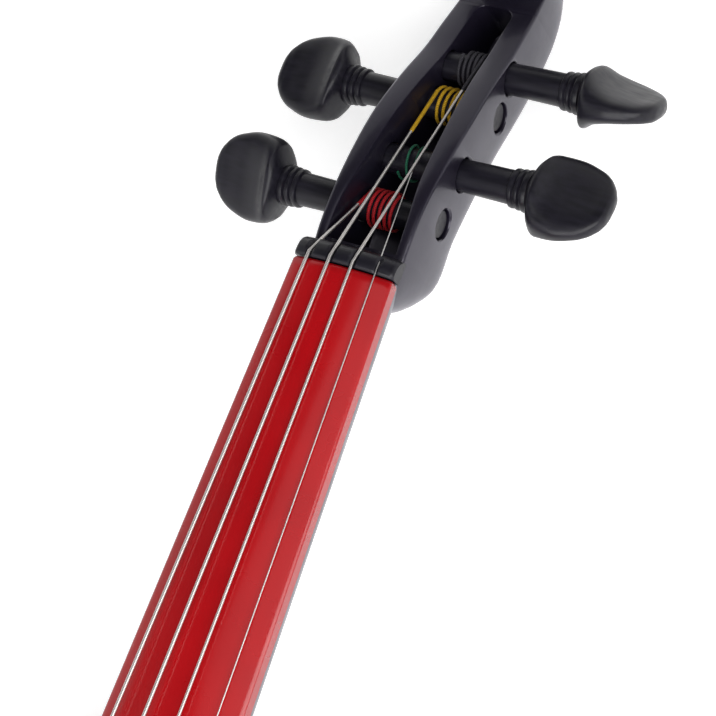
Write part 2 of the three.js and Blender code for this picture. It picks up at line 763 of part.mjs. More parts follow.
function bays() {
  const electronics = block(
    vector(-bayHalfWidth(), bayStart(), -CUT_OVERRUN),
    vector(bayHalfWidth(), bayEnd(), BAY_CEILING),
  );
  const boardStep = block(
    vector(-bayHalfWidth() - BAY_LEDGE, bayStart() - BAY_LEDGE, -CUT_OVERRUN),
    vector(bayHalfWidth() + BAY_LEDGE, bayEnd() + BAY_LEDGE, BAY_LEDGE_HEIGHT),
  );
  const coverRebate = block(
    vector(-coverHalfWidth() - SEAT_GAP, coverStart() - SEAT_GAP, -CUT_OVERRUN),
    vector(coverHalfWidth() + SEAT_GAP, coverEnd() + SEAT_GAP, coverTop() + SEAT_GAP),
  );
  const battery = block(
    vector(-BATTERY_BAY_HALF_WIDTH, batteryBayStart(), -CUT_OVERRUN),
    vector(BATTERY_BAY_HALF_WIDTH, batteryBayEnd(), BATTERY_BAY_CEILING),
  );
  const doorRebate = block(
    vector(-doorHalfWidth() - SEAT_GAP, batteryBayStart() - CUT_OVERRUN, -CUT_OVERRUN),
    vector(doorHalfWidth() + SEAT_GAP, doorEnd() + SEAT_GAP, coverTop() + SEAT_GAP),
  );
  const fingerNotch = block(
    vector(-DOOR_FINGER_WIDTH / 2, doorEnd() - CUT_OVERRUN, -CUT_OVERRUN),
    vector(DOOR_FINGER_WIDTH / 2, doorEnd() + DOOR_FINGER_LENGTH, COVER_THICKNESS),
  );
  return [electronics, boardStep, coverRebate, battery, doorRebate, fingerNotch];
}

function coverHalfWidth() {
  return bayHalfWidth() + BAY_LEDGE + COVER_MARGIN;
}

function coverStart() {
  return bayStart() - BAY_LEDGE - COVER_MARGIN;
}

function coverEnd() {
  return bayEnd() + BAY_LEDGE + COVER_MARGIN / 2;
}

function coverTop() {
  return COVER_RECESS + COVER_THICKNESS;
}

function doorHalfWidth() {
  return BATTERY_BAY_HALF_WIDTH + DOOR_MARGIN;
}

function doorEnd() {
  return batteryBayEnd() + DOOR_MARGIN;
}

function hingeHeight() {
  return COVER_RECESS + DOOR_HINGE_RADIUS;
}

function hingeStation() {
  return batteryBayStart() + DOOR_HINGE_RADIUS + SEAT_GAP;
}

// Room for the door's hinge barrel and its two pins
function hingeRoom() {
  const reach = doorHalfWidth();
  const pins = bar(
    vector(-reach - DOOR_PIN_LENGTH - SEAT_GAP, hingeStation(), hingeHeight()),
    vector(reach + DOOR_PIN_LENGTH + SEAT_GAP, hingeStation(), hingeHeight()),
    DOOR_PIN_RADIUS + SEAT_GAP,
  );
  const barrel = block(
    vector(-reach - SEAT_GAP, batteryBayStart() - SEAT_GAP, -CUT_OVERRUN),
    vector(reach + SEAT_GAP, hingeStation() + DOOR_HINGE_RADIUS + SEAT_GAP, hingeTop() + SEAT_GAP),
  );
  return [pins, barrel];
}

function hingeTop() {
  return hingeHeight() + DOOR_HINGE_RADIUS;
}

function snapLeadX() {
  return (BATTERY_WIDTH / 2 + BATTERY_BAY_HALF_WIDTH) / 2;
}

function snapLeadHeight() {
  return batteryBase() + BATTERY_HEIGHT / 2;
}

function batteryBase() {
  return hingeTop() + SEAT_GAP;
}

function controlX() {
  return bayHalfWidth() - POT_RADIUS - CONTROL_WALL_GAP;
}

function volumeStation() {
  return -BODY_LENGTH / 2 + JACK_LENGTH + CONTROL_JACK_GAP + POT_RADIUS;
}

function toneStation() {
  return volumeStation() + CONTROL_SPACING;
}

function switchStation() {
  return toneStation() + CONTROL_SPACING;
}

function ledStation() {
  return switchStation() + LED_SPACING;
}

function controlHoles() {
  const holes = [];
  const top = CORE_DEPTH + CUT_OVERRUN;
  const below = BAY_CEILING - CUT_OVERRUN;
  for (const y of [volumeStation(), toneStation()]) {
    const start = vector(controlX(), y, below);
    holes.push(bar(start, vector(controlX(), y, top), POT_BUSHING_RADIUS + SEAT_GAP));
  }
  const lampFoot = vector(controlX(), ledStation(), below);
  const lampHead = vector(controlX(), ledStation(), top);
  holes.push(bar(lampFoot, lampHead, LED_RADIUS + SEAT_GAP));
  holes.push(
    block(
      vector(
        controlX() - SWITCH_NECK_WIDTH / 2 - SEAT_GAP,
        switchStation() - SWITCH_NECK_LENGTH / 2 - SEAT_GAP,
        below,
      ),
      vector(
        controlX() + SWITCH_NECK_WIDTH / 2 + SEAT_GAP,
        switchStation() + SWITCH_NECK_LENGTH / 2 + SEAT_GAP,
        top,
      ),
    ),
  );
  return holes;
}

function tailHoles() {
  const outside = -BODY_LENGTH / 2 - CUT_OVERRUN;
  const jackEnd = vector(JACK_X, -BODY_LENGTH / 2 + JACK_LENGTH, SOCKET_HEIGHT);
  const headphoneEnd = vector(-JACK_X, -BODY_LENGTH / 2 + HEADPHONE_LENGTH, SOCKET_HEIGHT);
  const shaftEnd = vector(0, -BODY_LENGTH / 2 + BUTTON_SHAFT_LENGTH + SEAT_GAP, BUTTON_HEIGHT);
  return [
    bar(vector(JACK_X, outside, SOCKET_HEIGHT), jackEnd, JACK_RADIUS + SEAT_GAP),
    bar(vector(-JACK_X, outside, SOCKET_HEIGHT), headphoneEnd, HEADPHONE_RADIUS + SEAT_GAP),
    bar(vector(0, outside, BUTTON_HEIGHT), shaftEnd, BUTTON_SHAFT_RADIUS + SEAT_GAP, BUTTON_SIDES),
  ];
}

function leadHoleStation() {
  return bayEnd() - LEAD_HOLE_INSET;
}

function leadHoles() {
  const pickupHole = bar(
    vector(LEAD_HOLE_X, leadHoleStation(), BAY_CEILING - CUT_OVERRUN),
    vector(LEAD_HOLE_X, leadHoleStation(), CORE_DEPTH + CUT_OVERRUN),
    LEAD_HOLE_RADIUS,
  );
  const batteryHole = bar(
    vector(snapLeadX(), bayEnd() - CUT_OVERRUN, snapLeadHeight()),
    vector(snapLeadX(), batteryBayStart() + CUT_OVERRUN, snapLeadHeight()),
    SNAP_LEAD_RADIUS + SEAT_GAP,
  );
  return [pickupHole, batteryHole];
}

function screwPlaces() {
  const x = coverHalfWidth() - COVER_SCREW_INSET / 2;
  const middle = (coverStart() + coverEnd()) / 2;
  return [[-x, middle], [x, middle]];
}

function screwHoles(clearance) {
  return screwPlaces().map(([x, y]) =>
    bar(
      vector(x, y, -CUT_OVERRUN),
      vector(x, y, coverTop() + COVER_SCREW_LENGTH + SEAT_GAP),
      COVER_SCREW_RADIUS + clearance,
    ),
  );
}

function core() {
  const blank = slab(coreShape(0), 0, CORE_DEPTH, CORE_EDGE);
  const tools = [
    mortise(),
    saddleSeat(),
    ...bays(),
    ...hingeRoom(),
    ...controlHoles(),
    ...tailHoles(),
    ...leadHoles(),
    ...screwHoles(SEAT_GAP),
  ];
  add(root, "core", cut(blank, tools), redLacquer());
}

// Side rails
function railShape(side) {
  const rows = RAIL_OUTLINE_SHARES.map(([x, y]) => [(x * LOWER_BOUT) / 2, (y * BODY_LENGTH) / 2]);
  const outer = smoothOutline(rows, RAIL_STEPS);
  const inner = outer.map(([x, y], i) => {
    const [x0, y0] = outer[Math.max(i - 1, 0)];
    const [x1, y1] = outer[Math.min(i + 1, outer.length - 1)];
    const length = Math.hypot(x1 - x0, y1 - y0);
    return [x + ((y1 - y0) / length) * RAIL_WIDTH, y - ((x1 - x0) / length) * RAIL_WIDTH];
  });
  const band = [...outer, ...inner.reverse()].map(([x, y]) => [x * side, y]);
  return shapeOf(side > 0 ? band : band.reverse());
}

function railWaistX() {
  return (RAIL_OUTLINE_SHARES[RAIL_WAIST_ROW][0] * LOWER_BOUT) / 2;
}

function rail(name, side) {
  const band = slab(railShape(side), RAIL_BASE, RAIL_DEPTH, RAIL_EDGE, 1);
  const padMiddle = (WAIST_PAD_SHARE * BODY_LENGTH) / 2;
  const inside = coreHalfWidthAt(padMiddle) - CORE_EDGE;
  const outside = railWaistX() - RAIL_WIDTH / 2;
  const pad = block(
    vector(Math.min(side * inside, side * outside), padMiddle - WAIST_PAD_LENGTH / 2, RAIL_BASE + RAIL_EDGE),
    vector(
      Math.max(side * inside, side * outside),
      padMiddle + WAIST_PAD_LENGTH / 2,
      RAIL_BASE + RAIL_DEPTH - RAIL_EDGE,
    ),
  );
  const coreRoom = slab(coreShape(SEAT_GAP), -CUT_OVERRUN, CORE_DEPTH + 2 * CUT_OVERRUN, 0);
  add(root, name, cut(join([band, pad]), [coreRoom]), redLacquer());
}

// Fingerboard
function archDrop(x, radius) {
  return radius - Math.sqrt(radius * radius - x * x);
}

function boardHalfWidthAt(y) {
  return THREE.MathUtils.lerp(BOARD_NUT_WIDTH, BOARD_END_WIDTH, -y / BOARD_LENGTH) / 2;
}

function boardUnderside(y) {
  return -archDrop(boardHalfWidthAt(y), BOARD_RADIUS) - BOARD_SIDE;
}

function fingerboardRing(share) {
  const y = -share * BOARD_LENGTH;
  const half = boardHalfWidthAt(y);
  const free = Math.max(0, -y - NECK_LENGTH - TENON_LENGTH) / (BOARD_LENGTH - NECK_LENGTH - TENON_LENGTH);
  const hollow = BOARD_HOLLOW * Math.min(1, free * BOARD_HOLLOW_RAMP);
  const top = BOARD_TOP_SHARES.map((x) => [x * half, -archDrop(x * half, BOARD_RADIUS)]);
  const bottom = BOARD_BOTTOM_SHARES.map((x) => [x * half, boardUnderside(y) + hollow * (1 - x * x)]);
  return { along: y, points: [...top, ...bottom] };
}

function fingerboard() {
  const geometry = loftAlongY(BOARD_STATION_SHARES.map(fingerboardRing));
  add(neckFrame, "fingerboard", geometry, redLacquer());
}

// Neck, heel and tenon
function neckTop(y) {
  return boardUnderside(Math.min(y, 0)) - SEAT_GAP;
}

function neckRing(y, halfWidth, bottom, fullness) {
  const top = neckTop(y);
  const points = [];
  for (let i = 0; i <= NECK_STEPS; i += 1) {
    const angle = (i / NECK_STEPS) * Math.PI;
    const cosine = Math.cos(angle);
    const across = Math.sign(cosine) * Math.abs(cosine) ** (2 / fullness);
    const down = Math.sin(angle) ** (2 / fullness);
    points.push([halfWidth * across, top + (bottom - top) * down]);
  }
  return { along: y, points };
}

function neckBottom(y) {
  return -NECK_DEPTH - (NECK_DEPTH_GROWTH * -y) / NECK_LENGTH;
}

function neckShaft() {
  const rings = [];
  for (const share of NECK_STATION_SHARES) {
    const y = -share * HEEL_START;
    rings.push(neckRing(y, boardHalfWidthAt(y) - NECK_INSET, neckBottom(y), 2));
  }
  for (const [along, drop] of HEEL_SHARES.slice(1)) {
    const y = -THREE.MathUtils.lerp(HEEL_START, NECK_LENGTH - SEAT_GAP, along);
    const wide = boardHalfWidthAt(y) - NECK_INSET;
    const bottom = THREE.MathUtils.lerp(neckBottom(y), -HEEL_DEPTH, drop);
    rings.push(neckRing(y, THREE.MathUtils.lerp(wide, HEEL_HALF_WIDTH + NECK_INSET, drop), bottom, 2 + drop));
  }
  return cut(loftAlongY(rings), [bodyEndRoom()]);
}

// The body's end face is upright, so the tilted heel is trimmed to stand clear of it
function bodyEndRoom() {
  const low = vector(-BOARD_END_WIDTH, 0, 0);
  const high = vector(BOARD_END_WIDTH, BODY_LENGTH / 2 + SEAT_GAP, 2 * CORE_DEPTH);
  return block(low, high).applyMatrix4(neckFrame.matrixWorld.clone().invert());
}

function tenon() {
  const y = -NECK_LENGTH - TENON_LENGTH;
  return block(
    vector(-TENON_HALF_WIDTH, y, -TENON_DEPTH),
    vector(TENON_HALF_WIDTH, -NECK_LENGTH + TENON_ROOT, neckTop(y)),
  );
}

// Pegbox
function pegboxRing([along, front, back, across]) {
  const half = across * PEGBOX_HALF_WIDTH;
  const top = -front * PEGBOX_DEPTH;
  const bottom = -back * PEGBOX_DEPTH;
  const f = PEGBOX_FRONT_EDGE;
  const b = PEGBOX_BACK_EDGE;
  const side = [
    [half - f, top], [half - f * BEND_SHARE, top - f * BEND_SHARE], [half, top - f], [half, bottom + b],
    [half - b * BEND_SHARE, bottom + b * BEND_SHARE], [half - b, bottom],
  ];
  return { along: along * PEGBOX_LENGTH, points: mirrored(side) };
}

function pegboxAt(share, column) {
  const rows = PEGBOX_SHARES;
  let i = 0;
  while (i < rows.length - 2 && share > rows[i + 1][0]) {
    i += 1;
  }
  const part = (share - rows[i][0]) / (rows[i + 1][0] - rows[i][0]);
  return THREE.MathUtils.lerp(rows[i][column], rows[i + 1][column], part);
}

function pegboxHalfWidthAt(y) {
  return pegboxAt(y / PEGBOX_LENGTH, 3) * PEGBOX_HALF_WIDTH;
}

function cavityRing([along, across]) {
  const y = THREE.MathUtils.lerp(CAVITY_START, PEGBOX_LENGTH, along);
  const half = across * PEGBOX_HALF_WIDTH;
  const floor = -pegboxAt(y / PEGBOX_LENGTH, 2) * PEGBOX_DEPTH + FLOOR_WALL;
  const side = [[half, CUT_OVERRUN], [half, floor + CAVITY_CORNER], [half - CAVITY_CORNER, floor]];
  return { along: y, points: mirrored(side) };
}

// Scroll, a spiral of wedges that widens towards the eye
function scrollRadius(turn) {
  return SCROLL_RADIUS * SCROLL_SHRINK_PER_TURN ** turn;
}

function scrollHalfWidth(turn) {
  const share = (turn / SCROLL_TURNS) ** SCROLL_FLARE_POWER;
  return THREE.MathUtils.lerp(SCROLL_EDGE_HALF_WIDTH, SCROLL_EYE_HALF_WIDTH, share);
}

function scrollWedge(i) {
  const points = [];
  for (const turn of [i / SCROLL_WEDGES_PER_TURN, (i + SCROLL_WEDGE_LAP) / SCROLL_WEDGES_PER_TURN]) {
    const angle = (SCROLL_START_TURN + turn) * Math.PI * 2;
    const y = SCROLL_CENTRE_ALONG + scrollRadius(turn) * Math.cos(angle);
    const z = -SCROLL_CENTRE_DEPTH + scrollRadius(turn) * Math.sin(angle);
    points.push([y, z, scrollHalfWidth(turn)]);
  }
  const [near, far] = points;
  const width = (near[2] + far[2]) / 2;
  const shape = shapeOf([[SCROLL_CENTRE_ALONG, -SCROLL_CENTRE_DEPTH], [near[0], near[1]], [far[0], far[1]]]);
  const prism = new THREE.ExtrudeGeometry(shape, { depth: 2 * width, bevelEnabled: false });
  return prism.translate(0, 0, -width).applyMatrix4(sideways());
}

// Turns a shape drawn on Y and Z, and pulled along its own depth, so that the depth lies along X
function sideways() {
  return new THREE.Matrix4().makeBasis(vector(0, 1, 0), up, vector(1, 0, 0));
}

function scroll() {
  let body = solid(scrollWedge(0));
  const hub = SCROLL_EDGE_HALF_WIDTH / 2;
  const eye = bar(
    vector(-SCROLL_EDGE_HALF_WIDTH, SCROLL_CENTRE_ALONG, -SCROLL_CENTRE_DEPTH),
    vector(SCROLL_EDGE_HALF_WIDTH, SCROLL_CENTRE_ALONG, -SCROLL_CENTRE_DEPTH),
    hub,
  );
  body = body.add(solid(eye));
  for (let i = 1; i < SCROLL_TURNS * SCROLL_WEDGES_PER_TURN; i += 1) {
    body = body.add(solid(scrollWedge(i)));
  }
  return skin(body);
}

function neck() {
  const outside = join([neckShaft(), tenon(), loftAlongY(PEGBOX_SHARES.map(pegboxRing)), scroll()]);
  const cavity = loftAlongY(CAVITY_SHARES.map(cavityRing));
  const holes = Object.values(PEGS).map((peg) => placedOnPeg(pegHole(peg), peg));
  add(neckFrame, "neck", cut(outside, [cavity, ...holes]), blackLacquer());
}

// Nut
function nutRing([along, rise]) {
  const y = THREE.MathUtils.lerp(SEAT_GAP, NUT_LENGTH + SEAT_GAP, along);
  const half = BOARD_NUT_WIDTH / 2;
  const top = BOARD_TOP_SHARES.map((x) => [x * half, rise * NUT_RISE - archDrop(x * half, BOARD_RADIUS)]);
  const base = boardUnderside(0);
  return { along: y, points: [...top, [half, base], [-half, base]] };
}

function nut() {
  const tools = Object.keys(STRINGS).map((name) => {
    const route = headRoute(name);
    const start = vector(route.crest.x, -CUT_OVERRUN, route.crest.z);
    const radius = STRINGS[name].radius + NUT_SLOT_CLEARANCE;
    return tubeThrough([start, route.crest, route.end], radius, STRING_SIDES);
  });
  add(neckFrame, "nut", cut(loftAlongY(NUT_SHARES.map(nutRing)), tools), ebony());
}

// Pegs, made along Y with the head at the far end
function pegTip(peg) {
  return -pegboxHalfWidthAt(peg.along) + PEG_TIP_RECESS;
}

function pegRadius(peg, place) {
  return PEG_TIP_RADIUS + ((place - pegTip(peg)) * PEG_TAPER) / 2;
}

function pegHole(peg) {
  const start = -pegboxHalfWidthAt(peg.along) - CUT_OVERRUN;
  const end = pegboxHalfWidthAt(peg.along) + CUT_OVERRUN;
  const profile = [
    [0, start],
    [pegRadius(peg, start) + PEG_HOLE_CLEARANCE, start],
    [pegRadius(peg, end) + PEG_HOLE_CLEARANCE, end],
    [0, end],
  ];
  return turned(profile, vector(0, 1, 0), vector(0, 0, 0), PEG_SIDES);
}

function placedOnPeg(geometry, peg) {
  return geometry.rotateZ((-peg.side * Math.PI) / 2).translate(0, peg.along, -peg.depth);
}

function pegShaft(peg) {
  const tip = pegTip(peg);
  const collar = peg.reach - PEG_HEAD_LENGTH - PEG_COLLAR_LENGTH;
  const profile = [
    [0, tip],
    [pegRadius(peg, tip) - PEG_TIP_CHAMFER, tip],
    [pegRadius(peg, tip), tip + PEG_TIP_CHAMFER],
  ];
  for (const [along, bead] of PEG_COLLAR_SHARES) {
    const place = collar + along * PEG_COLLAR_LENGTH;
    profile.push([pegRadius(peg, place) + bead * PEG_BEAD, place]);
  }
  const end = collar + PEG_COLLAR_LENGTH + PRESS_OVERLAP;
  profile.push([PEG_TIP_RADIUS, end], [0, end]);
  return turned(profile, vector(0, 1, 0), vector(0, 0, 0), PEG_SIDES);
}

function pegHead(peg) {
  const rings = PEG_HEAD_SHARES.map(([along, wide, deep]) => {
    const points = [];
    for (let i = 0; i < PEG_HEAD_STEPS; i += 1) {
      const angle = (i / PEG_HEAD_STEPS) * Math.PI * 2;
      const x = Math.sign(Math.cos(angle)) * Math.abs(Math.cos(angle)) ** (2 / PEG_HEAD_SQUARENESS);
      const z = Math.sign(Math.sin(angle)) * Math.abs(Math.sin(angle)) ** (2 / PEG_HEAD_SQUARENESS);
      points.push([x * wide * PEG_HEAD_HALF_WIDTH, z * deep * PEG_HEAD_HALF_DEPTH]);
    }
    return { along: peg.reach - PEG_HEAD_LENGTH * (1 - along), points };
  });
  return loftAlongY(rings).rotateY(THREE.MathUtils.degToRad(peg.turnDegrees));
}

function peg(name) {
  const geometry = join([pegShaft(PEGS[name]), pegHead(PEGS[name])]);
  add(neckFrame, `peg_${name}`, placedOnPeg(geometry, PEGS[name]), ebony());
}

// Where a string leaves the nut's crest and where it meets its peg's winding, in the neck's frame
function headRoute(name) {
  const peg = PEGS[name];
  const winding = WINDINGS[name];
  const x = (STRINGS[name].lane * NUT_STRING_SPACING) / 2;
  const crest = vector(x, NUT_CREST, NUT_STRING_REST - archDrop(x, BOARD_RADIUS));
  const shaft = pegRadius(peg, peg.side * winding.start);
  const radius = shaft + WINDING_CLEARANCE + winding.radius;
  const run = Math.hypot(peg.along - crest.y, crest.z + peg.depth);
  const towardsNut = Math.atan2(crest.z + peg.depth, crest.y - peg.along);
  const angle = towardsNut - Math.acos(radius / run);
  const touch = vector(
    winding.start,
    peg.along + radius * Math.cos(angle),
    -peg.depth + radius * Math.sin(angle),
  );
  const stub = 2 * winding.radius;
  const sweep = Math.hypot(radius + winding.radius, stub) + WINDING_SWEEP_CLEARANCE;
  const inner = radius - STRINGS[name].radius;
  const back = Math.sqrt(sweep * sweep - inner * inner);
  const direction = new THREE.Vector3().subVectors(touch, crest).normalize();
  const end = touch.clone().addScaledVector(direction, -back);
  return { crest, touch, end, direction, radius, angle, stub };
}

function windingPoints(name) {
  const { touch, direction, radius, angle, stub } = headRoute(name);
  const { start, pitch, loops } = WINDINGS[name];
  const peg = PEGS[name];
  const points = [touch.clone().addScaledVector(direction, -stub)];
  const steps = Math.round(loops * WINDING_STEPS_PER_LOOP);
  for (let i = 0; i <= steps; i += 1) {
    const turn = i / WINDING_STEPS_PER_LOOP;
    const here = angle - turn * Math.PI * 2;
    points.push(
      vector(
        start + pitch * turn,
        peg.along + radius * Math.cos(here),
        -peg.depth + radius * Math.sin(here),
      ),
    );
  }
  const last = points[points.length - 1];
  const before = points[points.length - 2];
  const leaving = new THREE.Vector3().subVectors(last, before).normalize();
  points.push(last.clone().addScaledVector(leaving, stub));
  return points;
}

// The least clear space between one loop and any later loop, measured on the tube's own points
function leastGap(points, radius) {
  let least = Infinity;
  const apart = WINDING_STEPS_PER_LOOP / 2;
  for (let i = 0; i < points.length; i += 1) {
    for (let j = i + apart; j < points.length; j += 1) {
      least = Math.min(least, points[i].distanceTo(points[j]) - 2 * radius);
    }
  }
  return least;
}

function winding(name) {
  const { radius, colour } = WINDINGS[name];
  const points = windingPoints(name);
  const gap = leastGap(points, radius);
  const verdict = gap > WINDING_LEAST_GAP ? "clear" : "too close";
  console.log(`winding_${name}: least gap between loops ${gap.toFixed(2)} mm, ${verdict}`);
  add(neckFrame, `winding_${name}`, tubeThrough(points, radius, WINDING_SIDES), silk(colour));
}

// Strings, from the ball in the tailpiece over bridge and nut to the peg
function stringHeightAtBridge(name) {
  const { lane, heightAtBoardEnd } = STRINGS[name];
  const x = (lane * BRIDGE_STRING_SPACING) / 2;
  const growth = ((heightAtBoardEnd - NUT_STRING_REST) * STRING_LENGTH) / BOARD_LENGTH;
  return NUT_STRING_REST + growth - archDrop(x, BOARD_RADIUS);
}

function bridgePoint(name) {
  const x = (STRINGS[name].lane * BRIDGE_STRING_SPACING) / 2;
  return fromNeck(x, -STRING_LENGTH, stringHeightAtBridge(name));
}

function tailLane(name) {
  return (STRINGS[name].lane * TAILPIECE_STRING_SPACING) / 2;
}

function hookHeight(name) {
  return TUNER_HOOK_RISE - archDrop(tailLane(name), TAILPIECE_RADIUS);
}

function ballPoint(name) {
  return fromTail(tailLane(name), -TUNER_HOOK_ALONG, hookHeight(name));
}

function string(name) {
  const { radius, colour } = STRINGS[name];
  const head = headRoute(name);
  const ball = ballPoint(name);
  const route = [ball, bridgePoint(name), fromNeck(...head.crest.toArray()), fromNeck(...head.end.toArray())];
  const across = vector(BALL_LENGTH / 2, 0, 0);
  const end = bar(ball.clone().sub(across), ball.clone().add(across), BALL_RADIUS, BALL_SIDES);
  const geometry = join([tubeThrough(route, radius, STRING_SIDES), end]);
  add(root, `string_${name}`, geometry, stringMetal(colour));
}

// Bridge and pickup
function bridgeStation() {
  return (BRIDGE_STATION_SHARE * BODY_LENGTH) / 2;
}

function bridgeBase() {
  return CORE_DEPTH + PICKUP_HEIGHT;
}

function crownHeight(x) {
  const outer = BRIDGE_STRING_SPACING / 2;
  const heights = Object.keys(STRINGS).map((name) => ({
    x: STRINGS[name].lane * outer,
    z: bridgePoint(name).z - STRINGS[name].radius - SEAT_GAP,
  }));
  const [g, d, a, e] = heights;
  const middle = (d.z + a.z) / 2;
  const edge = (g.z + e.z) / 2;
  const tilt = (e.z - g.z) / (e.x - g.x);
  const share = (x * x - d.x * d.x) / (outer * outer - d.x * d.x);
  return middle + (edge - middle) * share + tilt * x;
}

function bridge() {
  const height = crownHeight(0) - bridgeBase();
  const scale = ([x, z]) => [x * BRIDGE_HALF_FOOT, z * height];
  const outer = BRIDGE_OUTER_SHARES.map(scale);
  const inner = BRIDGE_INNER_SHARES.map(scale);
  const shoulder = BRIDGE_OUTER_SHARES[BRIDGE_OUTER_SHARES.length - 1][0] * BRIDGE_HALF_FOOT;
  const crown = [];
  for (let i = 0; i <= BRIDGE_CROWN_STEPS; i += 1) {
    const x = shoulder * (1 - (2 * i) / BRIDGE_CROWN_STEPS);
    crown.push([x, crownHeight(x) - bridgeBase()]);
  }
  const flip = (rows) => rows.map(([x, z]) => [-x, z]);
  const loop = [...outer, ...crown, ...flip(outer).reverse(), ...flip(inner).reverse(), ...inner.slice(1)];
  const shape = shapeOf(loop);
  const heart = BRIDGE_HEART_SHARES.map(scale);
  shape.holes.push(new THREE.Path([...heart, ...flip(heart.slice(1, -1)).reverse()].map(
    ([x, z]) => new THREE.Vector2(x, z),
  )));
  const geometry = new THREE.ExtrudeGeometry(shape, { depth: BRIDGE_FOOT_THICKNESS, bevelEnabled: false })
    .translate(0, 0, -BRIDGE_FOOT_THICKNESS / 2);
  const place = geometry.attributes.position;
  for (let i = 0; i < place.count; i += 1) {
    const share = Math.min(1, Math.max(0, place.getY(i) / height));
    const thinning = THREE.MathUtils.lerp(1, BRIDGE_TOP_THICKNESS / BRIDGE_FOOT_THICKNESS, share);
    place.setZ(i, place.getZ(i) * thinning);
  }
  geometry.rotateX(Math.PI / 2).translate(0, bridgeStation(), bridgeBase() + SEAT_GAP / 2);
  add(root, "bridge", geometry, maple());
}

function bridgePickup() {
  const geometry = block(
    vector(-PICKUP_LENGTH / 2, bridgeStation() - PICKUP_WIDTH / 2, CORE_DEPTH + SEAT_GAP / 2),
    vector(PICKUP_LENGTH / 2, bridgeStation() + PICKUP_WIDTH / 2, bridgeBase() - SEAT_GAP / 2),
  );
  add(root, "bridge_pickup", geometry, blackPlastic());
}

function pickupLead() {
  const placed = (rows, station) => rows.map(([x, y, z]) => vector(x, station + y, CORE_DEPTH + z));
  const start = placed(LEAD_START_ROWS, bridgeStation());
  const end = placed(LEAD_END_ROWS, leadHoleStation());
  const span = LEAD_SPAN_SHARES.map((share) => start[start.length - 1].clone().lerp(end[0], share));
  const points = [...start, ...span, ...end];
  add(root, "pickup_lead", tubeThrough(points, LEAD_RADIUS, LEAD_SIDES), blackPlastic());
}

// Tailpiece with its four built-in fine tuners, set out from its front edge
function tailpieceRing(share, i) {
  const narrowed = { 0: TAILPIECE_FRONT_SHARE, [TAILPIECE_STATION_SHARES.length - 1]: TAILPIECE_BACK_SHARE };
  const wide = THREE.MathUtils.lerp(TAILPIECE_FRONT_HALF_WIDTH, TAILPIECE_BACK_HALF_WIDTH, share);
  const half = wide * (narrowed[i] ?? 1);
  const base = -archDrop(half, TAILPIECE_RADIUS) - TAILPIECE_SIDE;
  const top = BOARD_TOP_SHARES.map((x) => [x * half, -archDrop(x * half, TAILPIECE_RADIUS)]);
  return { along: -share * TAILPIECE_LENGTH, points: [...top, [half, base], [-half, base]] };
}

function tailgutHoles() {
  return [-TAILGUT_HALF_SPACING, TAILGUT_HALF_SPACING].map((x) =>
    bar(
      vector(x, -TAILPIECE_LENGTH - CUT_OVERRUN, tailgutDepth()),
      vector(x, -TAILPIECE_LENGTH + TAILGUT_HOLE_DEPTH, tailgutDepth()),
      TAILGUT_RADIUS + SEAT_GAP,
      TAILGUT_SIDES,
    ),
  );
}

function tailgutDepth() {
  return -archDrop(TAILGUT_HALF_SPACING, TAILPIECE_RADIUS) - TAILPIECE_SIDE / 2 - TAILGUT_RADIUS / 2;
}

function tunerRoom(name) {
  const x = tailLane(name);
  const slot = block(
    vector(x - TUNER_SLOT_WIDTH / 2, -TUNER_SLOT_START - TUNER_SLOT_LENGTH, -TUNER_PIVOT_DEPTH),
    vector(x + TUNER_SLOT_WIDTH / 2, -TUNER_SLOT_START, CUT_OVERRUN),
  );
  const thread = bar(
    vector(x, -TUNER_SCREW_ALONG, -TUNER_PIVOT_DEPTH),
    vector(x, -TUNER_SCREW_ALONG, CUT_OVERRUN),
    TUNER_THREAD_RADIUS + SEAT_GAP,
  );
  return [slot, thread];
}

// The cross bar under the tailpiece that carries the four levers
function tunerRail() {
  const reach = tailLane("e") + TUNER_LEVER_WIDTH;
  const y = -TUNER_PIVOT_ALONG;
  const bottom = -TUNER_PIVOT_DEPTH - TUNER_CHEEK_THICKNESS;
  const frame = block(
    vector(-reach, y - TUNER_CHEEK_HALF_LENGTH, bottom),
    vector(reach, y + TUNER_CHEEK_HALF_LENGTH, -TAILPIECE_SIDE - archDrop(reach, TAILPIECE_RADIUS)),
  );
  const rooms = Object.keys(STRINGS).map((name) => {
    const x = tailLane(name);
    const half = TUNER_LEVER_WIDTH / 2 + SEAT_GAP;
    return block(
      vector(x - half, y - TUNER_CHEEK_HALF_LENGTH - CUT_OVERRUN, bottom - CUT_OVERRUN),
      vector(x + half, y + TUNER_CHEEK_HALF_LENGTH + CUT_OVERRUN, 0),
    );
  });
  const pin = bar(
    vector(-reach, y, -TUNER_PIVOT_DEPTH),
    vector(reach, y, -TUNER_PIVOT_DEPTH),
    TUNER_PIVOT_RADIUS,
    SMALL_SIDES,
  );
  return { frame, rooms, pin };
}

function tailpiece() {
  const plate = loftAlongY(TAILPIECE_STATION_SHARES.map(tailpieceRing));
  const { frame, rooms, pin } = tunerRail();
  const tools = [...tailgutHoles(), ...Object.keys(STRINGS).flatMap(tunerRoom)];
  const carrier = join([cut(join([cut(plate, tools), frame]), rooms), pin]);
  add(tailFrame, "tailpiece", carrier, blackPlastic());
}

